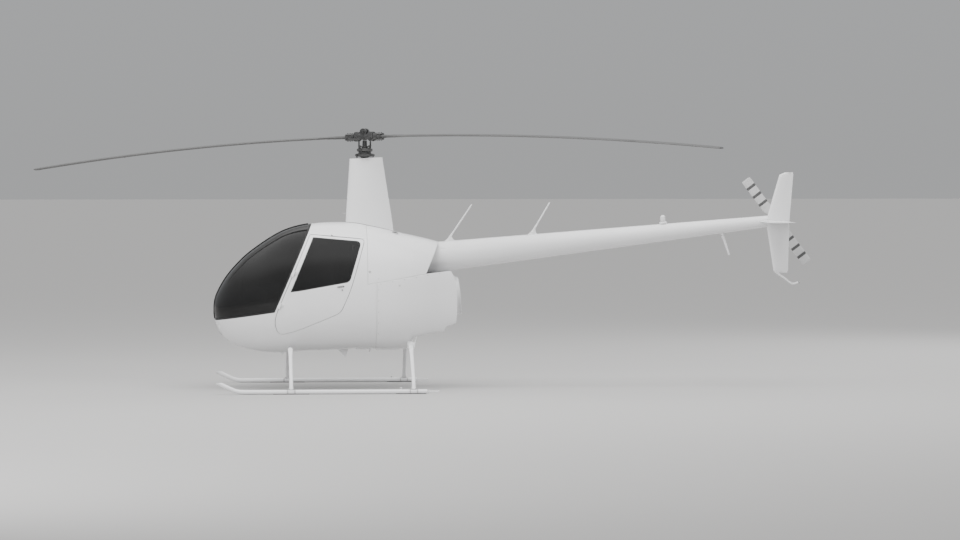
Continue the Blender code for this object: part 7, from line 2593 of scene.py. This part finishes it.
def make_controls():
    """The T-bar cyclic, the collective and both pairs of pedals."""
    post = hose(smooth_path(CYCLIC_POST_LINE, 0.012), 0.014, 20)
    shapes = [post]
    boot = [(0.0, 0.0), (0.06, 0.0), (0.06, 0.004)]
    boot += [(0.052 - 0.0042 * i + (0.004 if i % 2 else 0.0), 0.008 + 0.009 * i)
             for i in range(9)] + [(0.0, 0.082)]
    shapes.append(lathe(boot, (-0.8, 0, 0.4632), (0.17, 0, 1), 32, index=1))
    bar = []
    for side in (-1, 1):
        bar.append(smooth_path([(-0.722, 0, 0.955), (-0.722, side * 0.285, 0.955),
                                (-0.722, side * 0.315, 0.95), (-0.72, side * 0.33, 0.932),
                                (-0.714, side * 0.33, 0.905)], 0.01))
    shapes += [hose(path, 0.0115, 18) for path in bar]
    shapes.append(block((-0.75, -0.026, 0.926), (-0.698, 0.026, 0.972), 0.007, 3))
    shapes.append(lathe(disc(0.0155, -0.034, 0.034), (-0.722, 0, 0.955), (0, 1, 0), 28))
    shapes += [hex_bolt((-0.697, y, 0.949), (1, 0, 0), 0.008, 0.005, index=2)
               for y in (-0.014, 0.014)]
    for side in (-1, 1):
        shapes.append(grip((-0.6995, side * 0.33, 0.838), (-0.19, 0, 1), 0.1))
        shapes.append(lathe(TRIGGER_TURN, (-0.736, side * 0.33, 0.918), (-1, 0, 0.2), 14, index=2))
    place("visual_cyclic", joined(*shapes), "airframe", ["charcoal", "grip", "steel"],
          "charcoal_metal", "cyclic")
    lever = hose(smooth_path([(-0.42, 0, 0.712), (-0.5, 0, 0.72), (-0.57, 0, 0.738)],
                             0.012), 0.01, 18)
    slot = flat_slab(rounded(rectangle(-0.47, -0.018, -0.39, 0.018), 0.012), 0.7004, 0.7034, 0.001)
    place("visual_collective", joined(lever, grip((-0.545, 0, 0.7305), (-0.86, 0, 0.42), 0.104),
                                      tinted(slot, 1)),
          "airframe", ["charcoal", "grip"], "charcoal_metal", "collective")
    for name, side in SIDES:
        shapes = [round_bar((-1.06, side * 0.13, 0.4736), (-1.06, side * 0.245, 0.4736), 0.01, 20)]
        for y in (side * 0.152, side * 0.223):
            arm = smooth_path([(-1.06, y, 0.474), (-1.078, y, 0.53), (-1.1, y, 0.605)], 0.012)
            shapes.append(hose(arm, 0.0075, 16))
            pad = rounded(rectangle(-0.03, -0.031, 0.03, 0.031), 0.008, 4)
            plate = slab(pad, -0.006, 0.006, 0.0015, 2, 1)
            quarter = Matrix.Rotation(math.radians(90.0), 4, "Z")
            at = Matrix.Translation((-1.101, y, 0.6075)) @ quarter
            shapes.append(moved(plate, at))
            for k in range(-3, 4):
                rib = block((-0.026, -0.0075, k * 0.008 - 0.0016),
                            (0.026, -0.0055, k * 0.008 + 0.0016))
                shapes.append(moved(tinted(rib, 1), at))
            shapes.append(lathe(disc(0.0125, -0.008, 0.008), (-1.06, y, 0.477), (0, 1, 0), 24))
        place(f"visual_pedals_{name}", joined(*shapes), "airframe", ["charcoal", "rubber"],
              "charcoal_metal", f"pedals_{name}")


def make_cabin_trim():
    """The seat box's panels, the floor mats and the rear wall's padding."""
    front = -0.62
    shapes = []
    for side in (-1, 1):
        panel = rounded(rectangle(side * 0.06, 0.5, side * 0.33, 0.672), 0.015)
        shapes.append(moved(slab(panel, 0.0, 0.0022, 0.0008), Matrix.Translation((front, 0, 0))
                            @ Matrix.Rotation(math.radians(90.0), 4, "Z")))
    place("seat_base_panels", joined(*shapes), *TRIM)
    points = [(front - 0.0023, y, z) for y in (-0.315, -0.195, -0.075, 0.075, 0.195, 0.315)
              for z in (0.512, 0.66)]
    scatter("seat_base_studs", STUDS, points, [(-1, 0, 0)] * len(points), finish="steel",
            slot="bare_metal", Radius=0.006)
    mats = []
    for side in (-1, 1):
        outline = rounded([(-1.02, side * 0.11), (-0.65, side * 0.11),
                           (-0.65, side * 0.285), (-1.02, side * 0.255)], 0.03)
        mats.append(flat_slab(outline, 0.4626, 0.468, 0.0015))
    place("floor_mats", joined(*mats), "airframe", "rubber", "cabin_trim")
    quilt = []
    for row in range(4):
        for column in range(-3, 4):
            y, z = column * 0.13, 0.8 + row * 0.19
            if abs(y) < 0.45 and z < 1.45:
                quilt.append(block((-0.1425, y - 0.062, z - 0.092),
                                   (-0.1352, y + 0.062, z + 0.092), 0.003, 2))
    place("rear_wall_padding", joined(*quilt), *TRIM)
    for node, finish in (("cabin_floor", "carpet"), ("firewall", "trim"), ("seat_base", "carpet")):
        mesh = bpy.data.objects[node].data
        mesh.materials.clear()
        mesh.materials.append(FINISH[finish])


make_seats()
make_belts()
make_console()
make_bow()
make_controls()
make_cabin_trim()


# Small fittings on the skin

CAP_SPOT = (0.3, 0.15)
PORT_MARKS = ((0.03, 1.199, 0.011), (0.33, 1.06, 0.009))


CAP_RING_TURN = [(0.0, -0.004), (0.046, -0.004), (0.046, 0.0018), (0.044, 0.003), (0.035, 0.0034),
                 (0.0345, 0.001), (0.0, 0.001)]
FUEL_CAP_TURN = [(0.0, 0.0), (0.033, 0.0), (0.033, 0.0045), (0.031, 0.0062), (0.02, 0.0072),
                 (0.0, 0.0072)]


def make_fuel_caps():
    """A flush filler cap on each tank: a ring with its screws, and a turned cap with a latch."""
    x, y = CAP_SPOT
    for name, side in SIDES:
        spot, normal = on_top(x, side * y)
        shapes = [lathe(CAP_RING_TURN, sides=48)]
        cap = lathe(FUEL_CAP_TURN, sides=48, index=1)
        latch = tinted(block((-0.024, -0.006, 0.007), (0.024, 0.006, 0.0125), 0.0022), 1)
        screws = [hex_bolt((0.04 * math.cos(turn), 0.04 * math.sin(turn), 0.003), (0, 0, 1),
                           0.0032, 0.0014, washer=False, index=1) for turn in turns(8)]
        whole = moved(joined(*shapes, cap, latch, *screws), facing(spot, normal))
        place(f"fuel_cap_{name}", whole, "airframe", ["white_satin", "steel"], "white_paint")


def make_skin_details():
    """Studs and rivets along the seams, and the small ports in the skin."""
    for name, side in SIDES:
        points, outs = [], []
        front = [(LOWER_COWL_FRONT_X + 0.018, 0.46), (LOWER_COWL_FRONT_X + 0.018, 1.13)]
        upper = [(LOWER_COWL_FRONT_X + 0.04, cowl_seam_z(0.15) - 0.02),
                 (0.86, cowl_seam_z(0.86) - 0.02)]
        for line, step in ((front, 0.115), (upper, 0.125)):
            more, ways = side_row(line, side, step)
            points += more
            outs += ways
        scatter(f"cowl_studs_{name}", STUDS, points, outs, finish="steel", slot="bare_metal",
                Radius=0.0048, Height=0.001)
        points, outs = [], []
        hull_row = [(-1.47, 0.69), (-0.95, 0.772)]
        tank_row = [(TANK[0][0] + 0.014, 1.25), (TANK[0][0] + 0.014, 1.6)]
        seam_row = [(TANK[0][0] + 0.03, cowl_seam_z(0.03) + 0.016),
                    (0.4, cowl_seam_z(0.4) + 0.016)]
        for line, step in ((hull_row, 0.035), (tank_row, 0.03), (seam_row, 0.03)):
            more, ways = side_row(line, side, step)
            points += more
            outs += ways
        scatter(f"skin_rivets_{name}", RIVETS, points, outs, Radius=0.0024, Height=0.0009)
        ports = []
        for x, z, radius in PORT_MARKS:
            spot, normal = on_side(x, z, side)
            rim = lathe([(radius * 0.55, -0.004), (radius, -0.004), (radius, 0.0008),
                         (radius * 0.85, 0.0018), (radius * 0.55, 0.0012)], sides=28, closed=True)
            ports.append(moved(rim, facing(spot, normal)))
            # The black disc in each port is painted shade, standing in for the dark inside of the
            # hole.
            hole = lathe(disc(radius * 0.54, -0.003, -0.0006), sides=24)
            ports.append(moved(tinted(hole, 1), facing(spot, normal)))
        place(f"skin_ports_{name}", joined(*ports), "airframe", ["steel", "rubber"], "bare_metal")


def make_centre_strip():
    """The outside strip over the windscreen's middle seam."""
    path = []
    for z in np.linspace(0.712, 1.1, 16):
        spot, _, _, _ = BODY_TREE.ray_cast(Vector((-3.0, 0.0, float(z))), Vector((1, 0, 0)))
        if spot is not None:
            path.append(spot + Vector((-0.0006, 0.0, 0.0003)))
    for x in np.linspace(path[-1].x + 0.03, -0.575, 24):
        path.append(on_top(float(x), 0.0, 0.0006)[0])
    strip = hose(smooth_path(path, 0.015), 0.0085, 10, flat=0.16, up=(0, 1, 0))
    place("windscreen_centre_strip", strip, "airframe", "rubber", "charcoal_metal", smooth=60.0)


def make_nose_lamps():
    """Two landing lights, one over the other, flush in the nose."""
    shapes = []
    radius = 0.033
    for z in (0.65, 0.572):
        spot, normal, _, _ = BODY_TREE.ray_cast(Vector((-3.0, 0.0, z)), Vector((1, 0, 0)))
        if normal.x > 0:
            normal = -normal
        lens = [(0.0, -0.01), (radius, -0.01), (radius, 0.0014), (radius - 0.002, 0.0024),
                (radius - 0.0035, 0.001)]
        lens += [(radius * (0.84 - 0.12 * k), 0.0008 + 0.0007 * (k % 2) + 0.0002 * k)
                 for k in range(7)] + [(0.0, 0.0022)]
        shapes.append(moved(lathe(lens, sides=40), facing(spot, normal)))
    place("landing_lights", joined(*shapes), "airframe", "steel", "bare_metal")


make_fuel_caps()
make_skin_details()
make_centre_strip()
make_nose_lamps()


# Floor, light and camera

FLOOR_CORNERS = ((-150, -150), (150, -150), (150, 150), (-150, 150))


def make_stage():
    """A wide pale floor and three soft lamps in pale air."""
    bm = bmesh.new()
    corners = [bm.verts.new((x, y, 0.0)) for x, y in FLOOR_CORNERS]
    bm.faces.new(corners)
    mesh = bpy.data.meshes.new("studio_floor")
    bm.to_mesh(mesh)
    bm.free()
    floor = bpy.data.objects.new("studio_floor", mesh)
    bpy.context.scene.collection.objects.link(floor)
    paper = Finish("studio_paper", grey(0.42, 0.01), 0.9)
    paper.rough(paper.noise(2.0), 0.85, 0.95)
    mesh.materials.append(paper.material)

    def lamp(name, location, target, size, power):
        data = bpy.data.lights.new(name, "AREA")
        data.shape = "RECTANGLE"
        data.size, data.size_y = size
        data.energy = power
        item = bpy.data.objects.new(name, data)
        item.location = location
        aim = Vector(target) - Vector(location)
        item.rotation_euler = aim.to_track_quat("-Z", "Y").to_euler()
        item.visible_glossy = False
        bpy.context.scene.collection.objects.link(item)

    lamp("top_softbox", (0.0, -3.0, 9.0), (0.0, 0.0, 1.0), (13.0, 7.0), 1150.0)
    lamp("front_softbox", (-7.0, -12.0, 5.0), (0.0, 0.0, 1.2), (7.0, 5.0), 1000.0)
    lamp("rear_softbox", (9.0, 7.0, 6.0), (1.0, 0.0, 1.2), (6.0, 5.0), 450.0)
    world = bpy.data.worlds.new("studio_air")
    world.use_nodes = True
    tree = world.node_tree
    background = tree.nodes["Background"]
    background.inputs["Strength"].default_value = 0.58
    place_in_sky = tree.nodes.new("ShaderNodeTexCoord")
    height = tree.nodes.new("ShaderNodeSeparateXYZ")
    tree.links.new(height.inputs[0], place_in_sky.outputs["Generated"])
    blend = tree.nodes.new("ShaderNodeValToRGB")
    tree.links.new(blend.inputs[0], height.outputs["Z"])
    blend.color_ramp.elements[0].position = 0.0
    blend.color_ramp.elements[0].color = (0.72, 0.73, 0.74, 1.0)
    blend.color_ramp.elements[1].position = 0.22
    blend.color_ramp.elements[1].color = (0.86, 0.88, 0.91, 1.0)
    for height_share, value in ((0.5, 1.0), (0.72, 2.6)):
        step = blend.color_ramp.elements.new(height_share)
        step.color = (value, value, value, 1.0)
    tree.links.new(background.inputs["Color"], blend.outputs["Color"])
    bpy.context.scene.world = world


def make_camera():
    data = bpy.data.cameras.new("photo_camera")
    data.lens = 138.42
    data.sensor_width = 36.0
    camera = bpy.data.objects.new("photo_camera", data)
    camera.location = (-1.532 + MAST_X, -37.541, 2.404)
    camera.rotation_euler = (math.pi / 2 - 0.032, 0.0, -0.072)
    data.clip_end = 500.0
    bpy.context.scene.collection.objects.link(camera)
    bpy.context.scene.camera = camera


make_stage()
make_camera()
